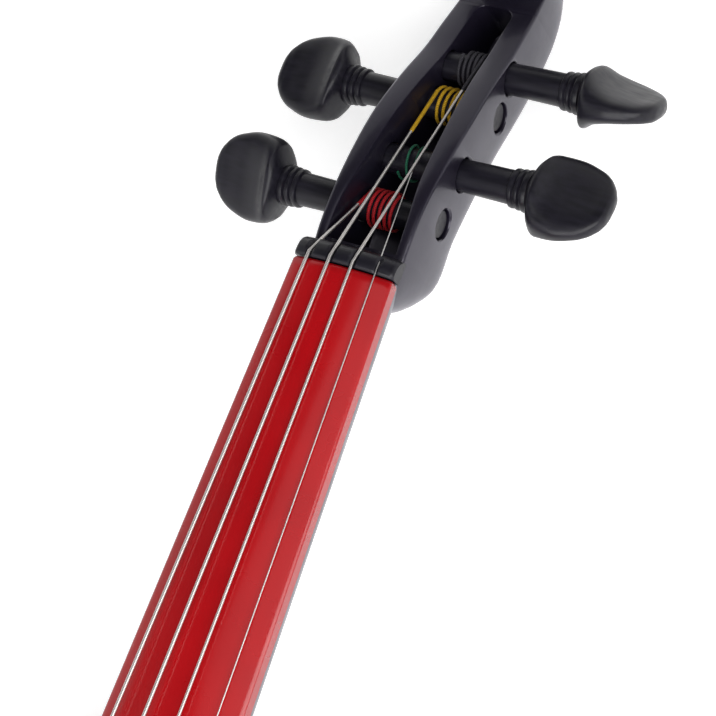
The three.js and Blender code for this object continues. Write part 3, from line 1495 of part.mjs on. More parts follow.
function leverShape(name) {
  const y = -TUNER_PIVOT_ALONG;
  const z = -TUNER_PIVOT_DEPTH;
  const hub = TUNER_PIVOT_RADIUS + SEAT_GAP + TUNER_HUB_WALL;
  const tip = hookHeight(name) + BALL_RADIUS;
  const back = -TUNER_HOOK_ALONG + BALL_RADIUS + TUNER_BALL_GAP;
  const front = back + TUNER_ARM_THICKNESS;
  const tail = -TUNER_SCREW_ALONG - TUNER_THREAD_RADIUS;
  const top = leverTop();
  return shapeOf([
    [front, tip], [back, tip], [back, z + hub], [y - hub, z + hub], [y - hub, top], [tail, top],
    [tail, top - TUNER_ARM_THICKNESS], [y - hub / 2, z - hub], [y + hub / 2, z - hub], [front, z + hub / 2],
  ]);
}

function leverTop() {
  return -TUNER_PIVOT_DEPTH + TUNER_ARM_THICKNESS / 2;
}

function tunerLever(name) {
  const x = tailLane(name);
  const shape = leverShape(name);
  const plate = new THREE.ExtrudeGeometry(shape, { depth: TUNER_LEVER_WIDTH, bevelEnabled: false })
    .translate(0, 0, x - TUNER_LEVER_WIDTH / 2)
    .applyMatrix4(sideways());
  const pivot = bar(
    vector(x - TUNER_LEVER_WIDTH, -TUNER_PIVOT_ALONG, -TUNER_PIVOT_DEPTH),
    vector(x + TUNER_LEVER_WIDTH, -TUNER_PIVOT_ALONG, -TUNER_PIVOT_DEPTH),
    TUNER_PIVOT_RADIUS + SEAT_GAP,
    SMALL_SIDES,
  );
  const fork = block(
    vector(x - TUNER_FORK_WIDTH / 2, -TUNER_HOOK_ALONG - TUNER_SLOT_LENGTH, hookHeight(name) - BALL_RADIUS),
    vector(x + TUNER_FORK_WIDTH / 2, CUT_OVERRUN, hookHeight(name) + 2 * BALL_RADIUS),
  );
  add(tailFrame, `tuner_lever_${name}`, cut(plate, [pivot, fork]), nickel());
}

function knobBase(name) {
  return TUNER_KNOB_RISE - archDrop(tailLane(name), TAILPIECE_RADIUS);
}

function tunerStem(name) {
  const x = tailLane(name);
  const low = vector(x, -TUNER_SCREW_ALONG, leverTop() + TUNER_TIP_GAP);
  const high = vector(x, -TUNER_SCREW_ALONG, knobBase(name) - SEAT_GAP);
  add(tailFrame, `tuner_stem_${name}`, bar(low, high, TUNER_THREAD_RADIUS, SMALL_SIDES), nickel());
}

function tunerKnob(name) {
  const geometry = fluted(
    TUNER_KNOB_RADIUS,
    TUNER_KNOB_FLUTE_DEPTH,
    TUNER_KNOB_FLUTES,
    0,
    TUNER_KNOB_HEIGHT,
    TUNER_KNOB_CHAMFER,
  );
  geometry.translate(tailLane(name), -TUNER_SCREW_ALONG, knobBase(name));
  add(tailFrame, `tuner_knob_${name}`, geometry, nickel());
}

// Saddle, tailgut and end button
function saddle() {
  const start = -BODY_LENGTH / 2;
  const base = CORE_DEPTH - SADDLE_SEAT_DEPTH + SEAT_GAP;
  const top = CORE_DEPTH + SADDLE_RISE;
  const end = start + SADDLE_LENGTH;
  const r = SADDLE_ROUND;
  const shape = shapeOf([
    [start, base], [end, base], [end, top - r], [end - r * BEND_SHARE, top - r * BEND_SHARE], [end - r, top],
    [start + r, top], [start + r * BEND_SHARE, top - r * BEND_SHARE], [start, top - r],
  ]);
  const geometry = new THREE.ExtrudeGeometry(shape, { depth: 2 * SADDLE_HALF_WIDTH, bevelEnabled: false })
    .translate(0, 0, -SADDLE_HALF_WIDTH)
    .applyMatrix4(sideways());
  add(root, "saddle", geometry, ebony());
}

function tailgutHalf(side) {
  const lift = TAILGUT_RADIUS + SEAT_GAP;
  const x = side * TAILGUT_HALF_SPACING;
  const loop = side * (BUTTON_NECK_RADIUS + lift);
  const end = -BODY_LENGTH / 2;
  const top = CORE_DEPTH + SADDLE_RISE + lift;
  const inner = end + SADDLE_LENGTH - SADDLE_ROUND;
  const hole = fromTail(x, -TAILPIECE_LENGTH + TAILGUT_GRIP, tailgutDepth());
  const mouth = fromTail(x, -TAILPIECE_LENGTH - lift, tailgutDepth());
  return [
    hole,
    mouth,
    vector(x, inner, top),
    vector(x, end + SADDLE_ROUND, top),
    ...TAILGUT_CORNER_SHARES.map(([down, out]) => vector(x, end - lift * out, top - SADDLE_ROUND * down)),
    vector((x + loop) / 2, end - lift, (top + BUTTON_HEIGHT) / 2),
    vector(loop, end - lift, BUTTON_HEIGHT),
  ];
}

function tailgut() {
  const reach = BUTTON_NECK_RADIUS + TAILGUT_RADIUS + SEAT_GAP;
  const y = -BODY_LENGTH / 2 - TAILGUT_RADIUS - SEAT_GAP;
  const bend = [];
  for (let i = 1; i < TAILGUT_BEND_STEPS; i += 1) {
    const angle = Math.PI + (i / TAILGUT_BEND_STEPS) * Math.PI;
    bend.push(vector(reach * Math.cos(angle), y, BUTTON_HEIGHT + reach * Math.sin(angle)));
  }
  const points = [...tailgutHalf(-1), ...bend, ...tailgutHalf(1).reverse()];
  add(root, "tailgut", tubeThrough(points, TAILGUT_RADIUS, TAILGUT_SIDES), blackPlastic());
}

function endButton() {
  const profile = [
    [0, -BUTTON_SHAFT_LENGTH],
    [BUTTON_SHAFT_RADIUS, -BUTTON_SHAFT_LENGTH],
    [BUTTON_SHAFT_RADIUS, SEAT_GAP],
    [BUTTON_NECK_RADIUS, SEAT_GAP],
    [BUTTON_NECK_RADIUS, BUTTON_NECK_LENGTH],
    ...BUTTON_HEAD_SHARES.map(([wide, far]) => [
      wide * BUTTON_HEAD_RADIUS,
      BUTTON_NECK_LENGTH + far * BUTTON_HEAD_LENGTH,
    ]),
  ];
  const place = vector(0, -BODY_LENGTH / 2, BUTTON_HEIGHT);
  add(root, "end_button", turned(profile, vector(0, -1, 0), place, BUTTON_SIDES), ebony());
}

// Chin rest: a dished plate, a clamp under the bass rail and two barrels between them.
// Its barrels stand clear of the tail end of the rail's outer edge, found here.
function railTailYAt(across) {
  const rows = RAIL_OUTLINE_SHARES.map(([x, y]) => [(x * LOWER_BOUT) / 2, (y * BODY_LENGTH) / 2]);
  const outer = smoothOutline(rows, RAIL_STEPS);
  let lowest = 0;
  for (let i = 1; i < outer.length; i += 1) {
    const [x0, y0] = outer[i - 1];
    const [x1, y1] = outer[i];
    if ((x0 - across) * (x1 - across) <= 0) {
      lowest = Math.min(lowest, y0 + ((across - x0) / (x1 - x0)) * (y1 - y0));
    }
  }
  return lowest;
}

function rodStation() {
  const inner = -CHIN_CLAMP_X - CHIN_ROD_SPACING / 2 - CHIN_BARREL_RADIUS;
  return railTailYAt(inner) - CHIN_BARREL_GAP - CHIN_BARREL_RADIUS;
}

function rodPlaces() {
  return [-1, 1].map((side) => [CHIN_CLAMP_X + (side * CHIN_ROD_SPACING) / 2, rodStation()]);
}

function chinPlateX() {
  return CHIN_CLAMP_X - CHIN_PLATE_OUTSET;
}

function chinPlateY() {
  return rodStation() + CHIN_PLATE_SETBACK + CHIN_PLATE_HALF_LENGTH;
}

function barrelBase() {
  return RAIL_BASE + RAIL_DEPTH / 2 - CHIN_BARREL_LENGTH / 2 + CHIN_ROD_GRIP;
}

function barrelTop() {
  return barrelBase() + CHIN_BARREL_LENGTH;
}

function chinPlateDish(share, angle) {
  const lean = (CHIN_PLATE_TILT_RISE * share * (1 - Math.cos(angle))) / 2;
  return CHIN_PLATE_RIM - CHIN_PLATE_DISH * (1 - share * share) + lean;
}

function chinPlateShell() {
  const place = [];
  const index = [];
  const steps = CHIN_PLATE_STEPS;
  const ringPoint = (share, i, z) => {
    const angle = (i / steps) * Math.PI * 2;
    const x = chinPlateX() + share * CHIN_PLATE_HALF_WIDTH * Math.cos(angle);
    const y = chinPlateY() + share * CHIN_PLATE_HALF_LENGTH * Math.sin(angle);
    return [x, y, z];
  };
  const rows = [];
  for (let r = CHIN_PLATE_RINGS; r >= 1; r -= 1) {
    rows.push([r / CHIN_PLATE_RINGS, true]);
  }
  rows.push([1, false], [CHIN_PLATE_UNDER_SHARE, false]);
  const ordered = [...rows.slice(0, CHIN_PLATE_RINGS).reverse(), ...rows.slice(CHIN_PLATE_RINGS)];
  for (const [share, isTop] of ordered) {
    for (let i = 0; i < steps; i += 1) {
      const angle = (i / steps) * Math.PI * 2;
      const low = share < 1 ? 0 : CHIN_PLATE_RIM * CHIN_PLATE_EDGE_SHARE;
      const z = CHIN_PLATE_BASE + (isTop ? chinPlateDish(share, angle) : low);
      place.push(...ringPoint(share, i, z));
    }
  }
  const topCentre = place.length / 3;
  place.push(chinPlateX(), chinPlateY(), CHIN_PLATE_BASE + chinPlateDish(0, 0));
  place.push(chinPlateX(), chinPlateY(), CHIN_PLATE_BASE);
  for (let i = 0; i < steps; i += 1) {
    const next = (i + 1) % steps;
    index.push(topCentre, i, next);
    for (let r = 0; r < ordered.length - 1; r += 1) {
      const a = r * steps + i;
      const b = r * steps + next;
      index.push(a, a + steps, b, b, a + steps, b + steps);
    }
    const last = (ordered.length - 1) * steps;
    index.push(topCentre + 1, last + next, last + i);
  }
  const geometry = new THREE.BufferGeometry();
  geometry.setAttribute("position", new THREE.Float32BufferAttribute(place, 3));
  geometry.setIndex(index);
  return geometry;
}

function chinRestPlate() {
  const footStart = rodStation() + CHIN_BARREL_RADIUS + CHIN_FOOT_GAP;
  const footEnd = footStart + CHIN_FOOT_WIDTH;
  const left = CHIN_CLAMP_X - CHIN_FOOT_HALF_LENGTH;
  const right = CHIN_CLAMP_X + CHIN_FOOT_HALF_LENGTH;
  const foot = block(
    vector(left, footStart, footBase()),
    vector(right, footEnd, CHIN_PLATE_BASE + PRESS_OVERLAP),
  );
  const tongue = block(
    vector(left, rodStation() - CHIN_BARREL_RADIUS, CHIN_PLATE_BASE - CHIN_CLAMP_THICKNESS / 2),
    vector(right, footEnd, CHIN_PLATE_BASE + CHIN_CLAMP_THICKNESS / 2),
  );
  const rods = rodPlaces().map(([x, y]) => {
    const foot = vector(x, y, barrelTop() - CHIN_ROD_GRIP);
    return bar(foot, vector(x, y, CHIN_PLATE_BASE), CHIN_ROD_RADIUS, SMALL_SIDES);
  });
  add(root, "chin_rest_plate", join([chinPlateShell(), foot, tongue, ...rods]), ebony());
}

function footBase() {
  return RAIL_BASE + RAIL_DEPTH + SEAT_GAP;
}

function chinRestClamp() {
  const [[x0, y], [x1]] = rodPlaces();
  const top = RAIL_BASE - SEAT_GAP;
  const jaw = block(
    vector(x0 - CHIN_BARREL_RADIUS, y - CHIN_BARREL_RADIUS, top - CHIN_CLAMP_THICKNESS),
    vector(x1 + CHIN_BARREL_RADIUS, y + CHIN_CLAMP_REACH, top),
  );
  const rods = [x0, x1].map((x) =>
    bar(
      vector(x, y, top - CHIN_CLAMP_THICKNESS / 2),
      vector(x, y, barrelBase() + CHIN_ROD_GRIP),
      CHIN_ROD_RADIUS,
      SMALL_SIDES,
    ),
  );
  add(root, "chin_rest_clamp", join([jaw, ...rods]), nickel());
}

function chinRestBarrels() {
  rodPlaces().forEach(([x, y], i) => {
    const blank = bar(vector(x, y, barrelBase()), vector(x, y, barrelTop()), CHIN_BARREL_RADIUS);
    const bore = bar(
      vector(x, y, barrelBase() - CUT_OVERRUN),
      vector(x, y, barrelTop() + CUT_OVERRUN),
      CHIN_ROD_RADIUS + SEAT_GAP,
      SMALL_SIDES,
    );
    const middle = (barrelBase() + barrelTop()) / 2;
    const reach = CHIN_BARREL_RADIUS + CUT_OVERRUN;
    const pinHole = bar(
      vector(x - reach, y, middle),
      vector(x + reach, y, middle),
      CHIN_BARREL_HOLE_RADIUS,
      PIN_HOLE_SIDES,
    );
    add(root, `chin_rest_barrel_${i + 1}`, cut(blank, [bore, pinHole]), nickel());
  });
}

// Electronics
function electronicsCover() {
  const plate = block(
    vector(-coverHalfWidth(), coverStart(), COVER_RECESS),
    vector(coverHalfWidth(), coverEnd(), coverTop()),
  );
  const heads = screwPlaces().map(([x, y]) =>
    bar(
      vector(x, y, -CUT_OVERRUN),
      vector(x, y, COVER_RECESS + COVER_SCREW_HEAD),
      COVER_SCREW_HEAD_RADIUS + SEAT_GAP,
    ),
  );
  const holes = screwHoles(SEAT_GAP);
  add(root, "electronics_cover", cut(plate, [...heads, ...holes]), blackPlastic());
}

function coverScrews() {
  screwPlaces().forEach(([x, y], i) => {
    const profile = [
      [0, COVER_RECESS],
      [COVER_SCREW_HEAD_RADIUS, COVER_RECESS],
      [COVER_SCREW_HEAD_RADIUS, COVER_RECESS + COVER_SCREW_HEAD - SEAT_GAP],
      [COVER_SCREW_RADIUS, COVER_RECESS + COVER_SCREW_HEAD - SEAT_GAP],
      [COVER_SCREW_RADIUS, coverTop() + COVER_SCREW_LENGTH - SEAT_GAP],
      [0, coverTop() + COVER_SCREW_LENGTH],
    ];
    const blank = turned(profile, up, vector(x, y, 0), SMALL_SIDES);
    const slot = (length, width) =>
      block(
        vector(x - length / 2, y - width / 2, -CUT_OVERRUN),
        vector(x + length / 2, y + width / 2, COVER_RECESS + COVER_SCREW_HEAD / 2),
      );
    const reach = COVER_SCREW_HEAD_RADIUS * COVER_SCREW_SLOT_REACH_SHARE;
    const geometry = cut(blank, [slot(reach, COVER_SCREW_SLOT), slot(COVER_SCREW_SLOT, reach)]);
    add(root, `cover_screw_${i + 1}`, geometry, steel());
  });
}

function circuitBoard() {
  const reach = bayHalfWidth() + BAY_LEDGE - SEAT_GAP;
  const top = BAY_LEDGE_HEIGHT - SEAT_GAP;
  const geometry = block(
    vector(-reach, bayStart() - BAY_LEDGE + SEAT_GAP, top - BOARD_THICKNESS),
    vector(reach, bayEnd() + BAY_LEDGE - SEAT_GAP, top),
  );
  add(root, "circuit_board", geometry, solderMask());
}

function pot(name, y) {
  const top = BAY_CEILING - SEAT_GAP;
  const profile = [
    [0, top - POT_HEIGHT],
    [POT_RADIUS, top - POT_HEIGHT],
    [POT_RADIUS, top],
    [POT_BUSHING_RADIUS, top],
    [POT_BUSHING_RADIUS, CORE_DEPTH],
    [POT_SHAFT_RADIUS, CORE_DEPTH],
    [POT_SHAFT_RADIUS, CORE_DEPTH + POT_SHAFT_RISE],
    [0, CORE_DEPTH + POT_SHAFT_RISE],
  ];
  add(root, name, turned(profile, up, vector(controlX(), y, 0)), steel());
}

function controlKnob(name, y) {
  const base = CORE_DEPTH + KNOB_SKIRT_GAP;
  const blank = fluted(KNOB_RADIUS, KNOB_FLUTE_DEPTH, KNOB_FLUTES, base, KNOB_HEIGHT, KNOB_CHAMFER);
  blank.translate(controlX(), y, 0);
  const bore = bar(
    vector(controlX(), y, base - CUT_OVERRUN),
    vector(controlX(), y, CORE_DEPTH + POT_SHAFT_RISE + SEAT_GAP),
    POT_SHAFT_RADIUS + SEAT_GAP,
  );
  const mark = block(
    vector(controlX() - COVER_SCREW_SLOT / 2, y, base + KNOB_HEIGHT - COVER_SCREW_SLOT),
    vector(controlX() + COVER_SCREW_SLOT / 2, y + KNOB_RADIUS, base + KNOB_HEIGHT + CUT_OVERRUN),
  );
  add(root, name, cut(blank, [bore, mark]), blackPlastic());
}

function powerSwitch() {
  const top = BAY_CEILING - SEAT_GAP;
  const body = block(
    vector(controlX() - SWITCH_WIDTH / 2, switchStation() - SWITCH_LENGTH / 2, top - SWITCH_HEIGHT),
    vector(controlX() + SWITCH_WIDTH / 2, switchStation() + SWITCH_LENGTH / 2, top),
  );
  const tower = block(
    vector(controlX() - SWITCH_NECK_WIDTH / 2, switchStation() - SWITCH_NECK_LENGTH / 2, top - PRESS_OVERLAP),
    vector(controlX() + SWITCH_NECK_WIDTH / 2, switchStation() + SWITCH_NECK_LENGTH / 2, CORE_DEPTH),
  );
  const halfSlot = SLIDER_WIDTH / 2 + SEAT_GAP;
  const halfTravel = (SLIDER_LENGTH + SLIDER_TRAVEL) / 2 + SEAT_GAP;
  const slot = block(
    vector(controlX() - halfSlot, switchStation() - halfTravel, sliderBase() - SEAT_GAP),
    vector(controlX() + halfSlot, switchStation() + halfTravel, CORE_DEPTH + CUT_OVERRUN),
  );
  add(root, "power_switch", cut(join([body, tower]), [slot]), blackPlastic());
}

function sliderBase() {
  return CORE_DEPTH - SLIDER_RISE;
}

function switchSlider() {
  const start = switchStation() - (SLIDER_LENGTH + SLIDER_TRAVEL) / 2;
  const geometry = block(
    vector(controlX() - SLIDER_WIDTH / 2, start, sliderBase()),
    vector(controlX() + SLIDER_WIDTH / 2, start + SLIDER_LENGTH, CORE_DEPTH + SLIDER_RISE),
  );
  add(root, "switch_slider", geometry, blackPlastic());
}

function powerLed() {
  const base = CORE_DEPTH + LED_RADIUS - LED_LENGTH;
  const dome = LED_DOME_SHARES.map(([wide, high]) => [wide * LED_RADIUS, CORE_DEPTH + high * LED_RADIUS]);
  const geometry = turned([[0, base], [LED_RADIUS, base], ...dome], up, vector(0, 0, 0), SMALL_SIDES);
  add(root, "power_led", geometry.translate(controlX(), ledStation(), 0), redLens());
}

function outputJack() {
  const face = -BODY_LENGTH / 2;
  const sleeve = bar(
    vector(JACK_X, face - JACK_STAND, SOCKET_HEIGHT),
    vector(JACK_X, face + JACK_LENGTH - SEAT_GAP, SOCKET_HEIGHT),
    JACK_RADIUS,
  );
  const bore = bar(
    vector(JACK_X, face - JACK_STAND - CUT_OVERRUN, SOCKET_HEIGHT),
    vector(JACK_X, face + JACK_LENGTH - JACK_STAND, SOCKET_HEIGHT),
    JACK_BORE_RADIUS,
  );
  add(root, "output_jack", cut(sleeve, [bore]), nickel());
}

function jackNut() {
  const face = -BODY_LENGTH / 2 - SEAT_GAP;
  const nut = bar(
    vector(JACK_X, face - JACK_NUT_THICKNESS, SOCKET_HEIGHT),
    vector(JACK_X, face, SOCKET_HEIGHT),
    JACK_NUT_RADIUS,
    NUT_SIDES,
  );
  const bore = bar(
    vector(JACK_X, face - JACK_NUT_THICKNESS - CUT_OVERRUN, SOCKET_HEIGHT),
    vector(JACK_X, face + CUT_OVERRUN, SOCKET_HEIGHT),
    JACK_RADIUS + SEAT_GAP,
  );
  add(root, "jack_nut", cut(nut, [bore]), nickel());
}

function headphoneJack() {
  const face = -BODY_LENGTH / 2;
  const profile = [
    [HEADPHONE_BORE_RADIUS, face - HEADPHONE_FLANGE - SEAT_GAP],
    [HEADPHONE_FLANGE_RADIUS, face - HEADPHONE_FLANGE - SEAT_GAP],
    [HEADPHONE_FLANGE_RADIUS, face - SEAT_GAP],
    [HEADPHONE_RADIUS, face - SEAT_GAP],
    [HEADPHONE_RADIUS, face + HEADPHONE_LENGTH - SEAT_GAP],
    [0, face + HEADPHONE_LENGTH - SEAT_GAP],
    [0, face + HEADPHONE_LENGTH - HEADPHONE_FLANGE],
    [HEADPHONE_BORE_RADIUS, face + HEADPHONE_LENGTH - HEADPHONE_FLANGE],
    [HEADPHONE_BORE_RADIUS, face - HEADPHONE_FLANGE - SEAT_GAP],
  ];
  const geometry = turned(profile, vector(0, 1, 0), vector(-JACK_X, 0, SOCKET_HEIGHT));
  add(root, "headphone_jack", geometry, blackPlastic());
}

function batteryStart() {
  return batteryBayEnd() - SNAP_LENGTH - BATTERY_LENGTH - 4 * SEAT_GAP;
}

function battery() {
  const outline = new THREE.Shape();
  const half = BATTERY_WIDTH / 2;
  outline.moveTo(-half, 0);
  outline.lineTo(half, 0);
  outline.lineTo(half, BATTERY_LENGTH);
  outline.lineTo(-half, BATTERY_LENGTH);
  const geometry = slab(outline, batteryBase(), BATTERY_HEIGHT, BATTERY_EDGE).translate(0, batteryStart(), 0);
  add(root, "battery", geometry, steel());
}

function batterySnap() {
  const start = batteryStart() + BATTERY_LENGTH + SEAT_GAP;
  const cap = block(
    vector(-BATTERY_WIDTH / 2, start, snapLeadHeight() - SNAP_HEIGHT / 2),
    vector(BATTERY_WIDTH / 2, start + SNAP_LENGTH, snapLeadHeight() + SNAP_HEIGHT / 2),
  );
  const middle = start + SNAP_LENGTH / 2;
  const route = [
    vector(BATTERY_WIDTH / 2 - SNAP_LEAD_RADIUS, middle, snapLeadHeight()),
    vector(snapLeadX(), middle - SNAP_LEAD_RADIUS, snapLeadHeight()),
    vector(snapLeadX(), start - SNAP_LENGTH, snapLeadHeight()),
    vector(snapLeadX(), batteryBayStart(), snapLeadHeight()),
    vector(snapLeadX(), bayEnd() - SNAP_LENGTH, snapLeadHeight()),
  ];
  const geometry = join([cap, tubeThrough(route, SNAP_LEAD_RADIUS, LEAD_SIDES)]);
  add(root, "battery_snap", geometry, blackPlastic());
}

function batteryDoor() {
  const half = doorHalfWidth();
  const plate = block(
    vector(-half, hingeStation(), COVER_RECESS),
    vector(half, doorEnd(), coverTop()),
  );
  const barrel = bar(
    vector(-half, hingeStation(), hingeHeight()),
    vector(half, hingeStation(), hingeHeight()),
    DOOR_HINGE_RADIUS,
    SMALL_SIDES,
  );
  const pins = bar(
    vector(-half - DOOR_PIN_LENGTH, hingeStation(), hingeHeight()),
    vector(half + DOOR_PIN_LENGTH, hingeStation(), hingeHeight()),
    DOOR_PIN_RADIUS,
    SMALL_SIDES,
  );
  add(root, "battery_door", join([plate, barrel, pins]), blackPlastic());
}

core();
rail("bass_rail", -1);
rail("treble_rail", 1);
neck();
fingerboard();
nut();
for (const name of Object.keys(STRINGS)) {
  peg(name);
  winding(name);
  string(name);
  tunerLever(name);
  tunerStem(name);
  tunerKnob(name);
}
bridge();
bridgePickup();
pickupLead();
tailpiece();
saddle();
tailgut();
endButton();
chinRestPlate();
chinRestClamp();
chinRestBarrels();
electronicsCover();
coverScrews();
circuitBoard();
pot("volume_pot", volumeStation());
pot("tone_pot", toneStation());
controlKnob("volume_knob", volumeStation());
controlKnob("tone_knob", toneStation());
powerSwitch();
switchSlider();
powerLed();
outputJack();
jackNut();
headphoneJack();
battery();
batterySnap();
batteryDoor();

export default root;
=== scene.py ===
"""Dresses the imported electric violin: smooth lacquered woodwork, turned pegs, wound strings and fittings."""

import math

import bmesh
import bpy
from bpy.props import FloatProperty, FloatVectorProperty, PointerProperty
from mathutils import Matrix, Quaternion, Vector


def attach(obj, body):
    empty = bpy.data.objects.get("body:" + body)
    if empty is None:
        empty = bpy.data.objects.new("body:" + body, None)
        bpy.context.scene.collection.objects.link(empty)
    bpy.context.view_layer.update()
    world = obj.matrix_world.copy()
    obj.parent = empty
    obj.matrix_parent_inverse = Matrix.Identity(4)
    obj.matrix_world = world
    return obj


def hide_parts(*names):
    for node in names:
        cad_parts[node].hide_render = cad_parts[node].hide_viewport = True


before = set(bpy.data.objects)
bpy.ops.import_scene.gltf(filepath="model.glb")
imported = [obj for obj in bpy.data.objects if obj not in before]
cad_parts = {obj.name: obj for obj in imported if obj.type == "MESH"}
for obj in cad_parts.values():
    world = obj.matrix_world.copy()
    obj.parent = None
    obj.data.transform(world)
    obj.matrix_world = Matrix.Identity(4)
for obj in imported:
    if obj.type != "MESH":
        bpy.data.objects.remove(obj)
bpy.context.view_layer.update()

bl_info = {
    "name": "Electric Violin",
    "version": (1, 0, 0),
    "blender": (4, 5, 0),
    "location": "3D View > Sidebar > Violin",
    "description": "Builds the looks of an electric violin round its packed solids",
    "category": "Object",
}

MM = 0.001
ROOT = "violin"
QUARTER = math.pi / 2
SHARP_ANGLE = math.radians(32)


def linear(code):
    """An sRGB hex colour as a linear colour with full alpha."""
    channels = [(code >> shift & 255) / 255 for shift in (16, 8, 0)]
    bent = [c / 12.92 if c <= 0.04045 else ((c + 0.055) / 1.055) ** 2.4 for c in channels]
    return (*bent, 1.0)


# Sizes and colours a user would change


def length(name, description, millimetres):
    return FloatProperty(
        name=name, description=description, default=millimetres * MM, unit="LENGTH", precision=5
    )


def colour(name, description, code):
    return FloatVectorProperty(
        name=name, description=description, default=linear(code), size=4, subtype="COLOR", min=0.0, max=1.0
    )


class ViolinNeckSizes(bpy.types.PropertyGroup):
    nut_width: length("Nut width", "Width of the nut and of the board beside it", 24)
    board_end_width: length("Board end width", "Width of the fingerboard over the body", 41.4)
    board_length: length("Board length", "Length of the fingerboard from the nut", 270)
    board_radius: length("Board radius", "Radius of the fingerboard's arch", 42)
    board_side: length("Board side", "Height of the fingerboard's flat sides", 3.4)
    neck_length: length("Neck length", "From the nut to the body", 130)
    pitch: FloatProperty(
        name="Neck pitch", description="How far the neck leans back", default=math.radians(3.5),
        unit="ROTATION",
    )
    string_length: length("String length", "From the nut to the bridge", 326)
    scroll_radius: length("Scroll radius", "Radius of the scroll's outer turn", 17.5)


class ViolinBodySizes(bpy.types.PropertyGroup):
    body_length: length("Body length", "Length of the core", 356)
    core_depth: length("Core depth", "Height of the core from its back to its top", 44)
    core_half_width: length("Core half-width", "Half the core's greatest width", 44)
    core_edge: length("Core edge", "Radius of the core's rounded edges", 4)
    lower_bout: length("Lower bout", "Width over the rails at the lower bout", 208)
    rail_width: length("Rail width", "Width of a side rail seen from the front", 14)
    rail_depth: length("Rail depth", "Height of a side rail", 20)
    rail_base: length("Rail base", "Height of the rails' underside", 13)
    knob_radius: length("Knob radius", "Radius of the volume and tone knobs", 7.5)


class ViolinColours(bpy.types.PropertyGroup):
    red: colour("Red lacquer", "Lacquer of the body and the fingerboard", 0xB4000B)
    red_deep: colour("Deep red lacquer", "Where the lacquer is thickest", 0xA0000A)
    black: colour("Black lacquer", "Lacquer of the neck and the scroll", 0x15131C)
    ebony: colour("Ebony", "Pegs, nut and saddle", 0x131219)
    silk_g: colour("Silk on G", "Thread on the lowest string's ends", 0xBE0F1D)
    silk_d: colour("Silk on D", "Thread on the second string's ends", 0xE6B41C)
    silk_a: colour("Silk on A", "Thread on the third string's ends", 0x2B2931)
    silk_e: colour("Silk on E", "Thread on the highest string's ends", 0x15664A)


def mm(value):
    """A size property in millimetres, the unit of every shape below."""
    return value / MM


# Shader nodes


def add_node(tree, kind, inputs=None, **settings):
    """Adds a node; inputs are values, or sockets to link from."""
    made = tree.nodes.new(kind)
    for name, value in settings.items():
        setattr(made, name, value)
    for name, value in (inputs or {}).items():
        if isinstance(value, bpy.types.NodeSocket):
            tree.links.new(value, made.inputs[name])
        else:
            made.inputs[name].default_value = value
    return made


def finish(name, base, roughness, **values):
    """A new material with its shader; returns the material, its tree and the shader."""
    made = bpy.data.materials.new(name)
    made.use_nodes = True
    tree = made.node_tree
    shader = tree.nodes["Principled BSDF"]
    shader.inputs["Base Color"].default_value = base
    shader.inputs["Roughness"].default_value = roughness
    for socket, value in values.items():
        shader.inputs[socket.replace("_", " ")].default_value = value
    made.diffuse_color = base
    return made, tree, shader


def noise_in_mm(tree, size, detail=3.0, stretch=(1, 1, 1)):
    """Noise whose blotches measure about size millimetres on the object."""
    place = add_node(tree, "ShaderNodeTexCoord")
    grid = add_node(tree, "ShaderNodeMapping", {"Vector": place.outputs["Object"], "Scale": stretch})
    settings = {"Vector": grid.outputs["Vector"], "Scale": 1 / (size * MM), "Detail": detail}
    return add_node(tree, "ShaderNodeTexNoise", settings).outputs["Fac"]


def tinted(tree, shader, factor, first, second):
    """Colours the shader from first to second as the factor goes from 0 to 1."""
    mixed = add_node(tree, "ShaderNodeMix", {0: factor, 6: first, 7: second}, data_type="RGBA")
    tree.links.new(mixed.outputs[2], shader.inputs["Base Color"])


def ranged(tree, factor, low, high, start=0.0, end=1.0):
    """The factor, from start to end, spread over low to high."""
    settings = {"Value": factor, "From Min": start, "From Max": end, "To Min": low, "To Max": high}
    return add_node(tree, "ShaderNodeMapRange", settings).outputs["Result"]


def blotches(tree, size, start, end):
    """Noise of about size millimetres whose range from start to end is spread over 0 to 1."""
    return ranged(tree, noise_in_mm(tree, size), 0.0, 1.0, start, end)


def bumped(tree, shader, height, depth, strength=1.0):
    """Raises the surface by up to depth millimetres where the height is 1."""
    settings = {"Height": height, "Distance": depth * MM, "Strength": strength}
    bump = add_node(tree, "ShaderNodeBump", settings)
    tree.links.new(bump.outputs["Normal"], shader.inputs["Normal"])


def along_path(tree, pitch):
    """A wave that repeats every pitch millimetres along a tube's own length."""
    along = add_node(tree, "ShaderNodeAttribute", attribute_name="along")
    settings = {0: along.outputs["Fac"], 1: 2 * math.pi / (pitch * MM)}
    turns = add_node(tree, "ShaderNodeMath", settings, operation="MULTIPLY")
    wave = add_node(tree, "ShaderNodeMath", {0: turns.outputs["Value"]}, operation="SINE")
    return ranged(tree, wave.outputs["Value"], 0.0, 1.0, -1.0, 1.0)


def red_lacquer(colours):
    """Sprayed polyester lacquer over wood: deep red, clear gloss on top, faint ripple and handling haze."""
    made, tree, shader = finish(
        "red_polyester_lacquer", colours.red, 0.34, IOR=1.4, Coat_Weight=0.6, Coat_Roughness=0.12,
        Coat_IOR=1.5,
    )
    tinted(tree, shader, blotches(tree, 35, 0.35, 0.7), colours.red, colours.red_deep)
    haze = ranged(tree, noise_in_mm(tree, 14, 4.0), 0.24, 0.36, 0.3, 0.7)
    tree.links.new(haze, shader.inputs["Roughness"])
    bumped(tree, shader, noise_in_mm(tree, 2.4, 1.0), 0.012)
    return made


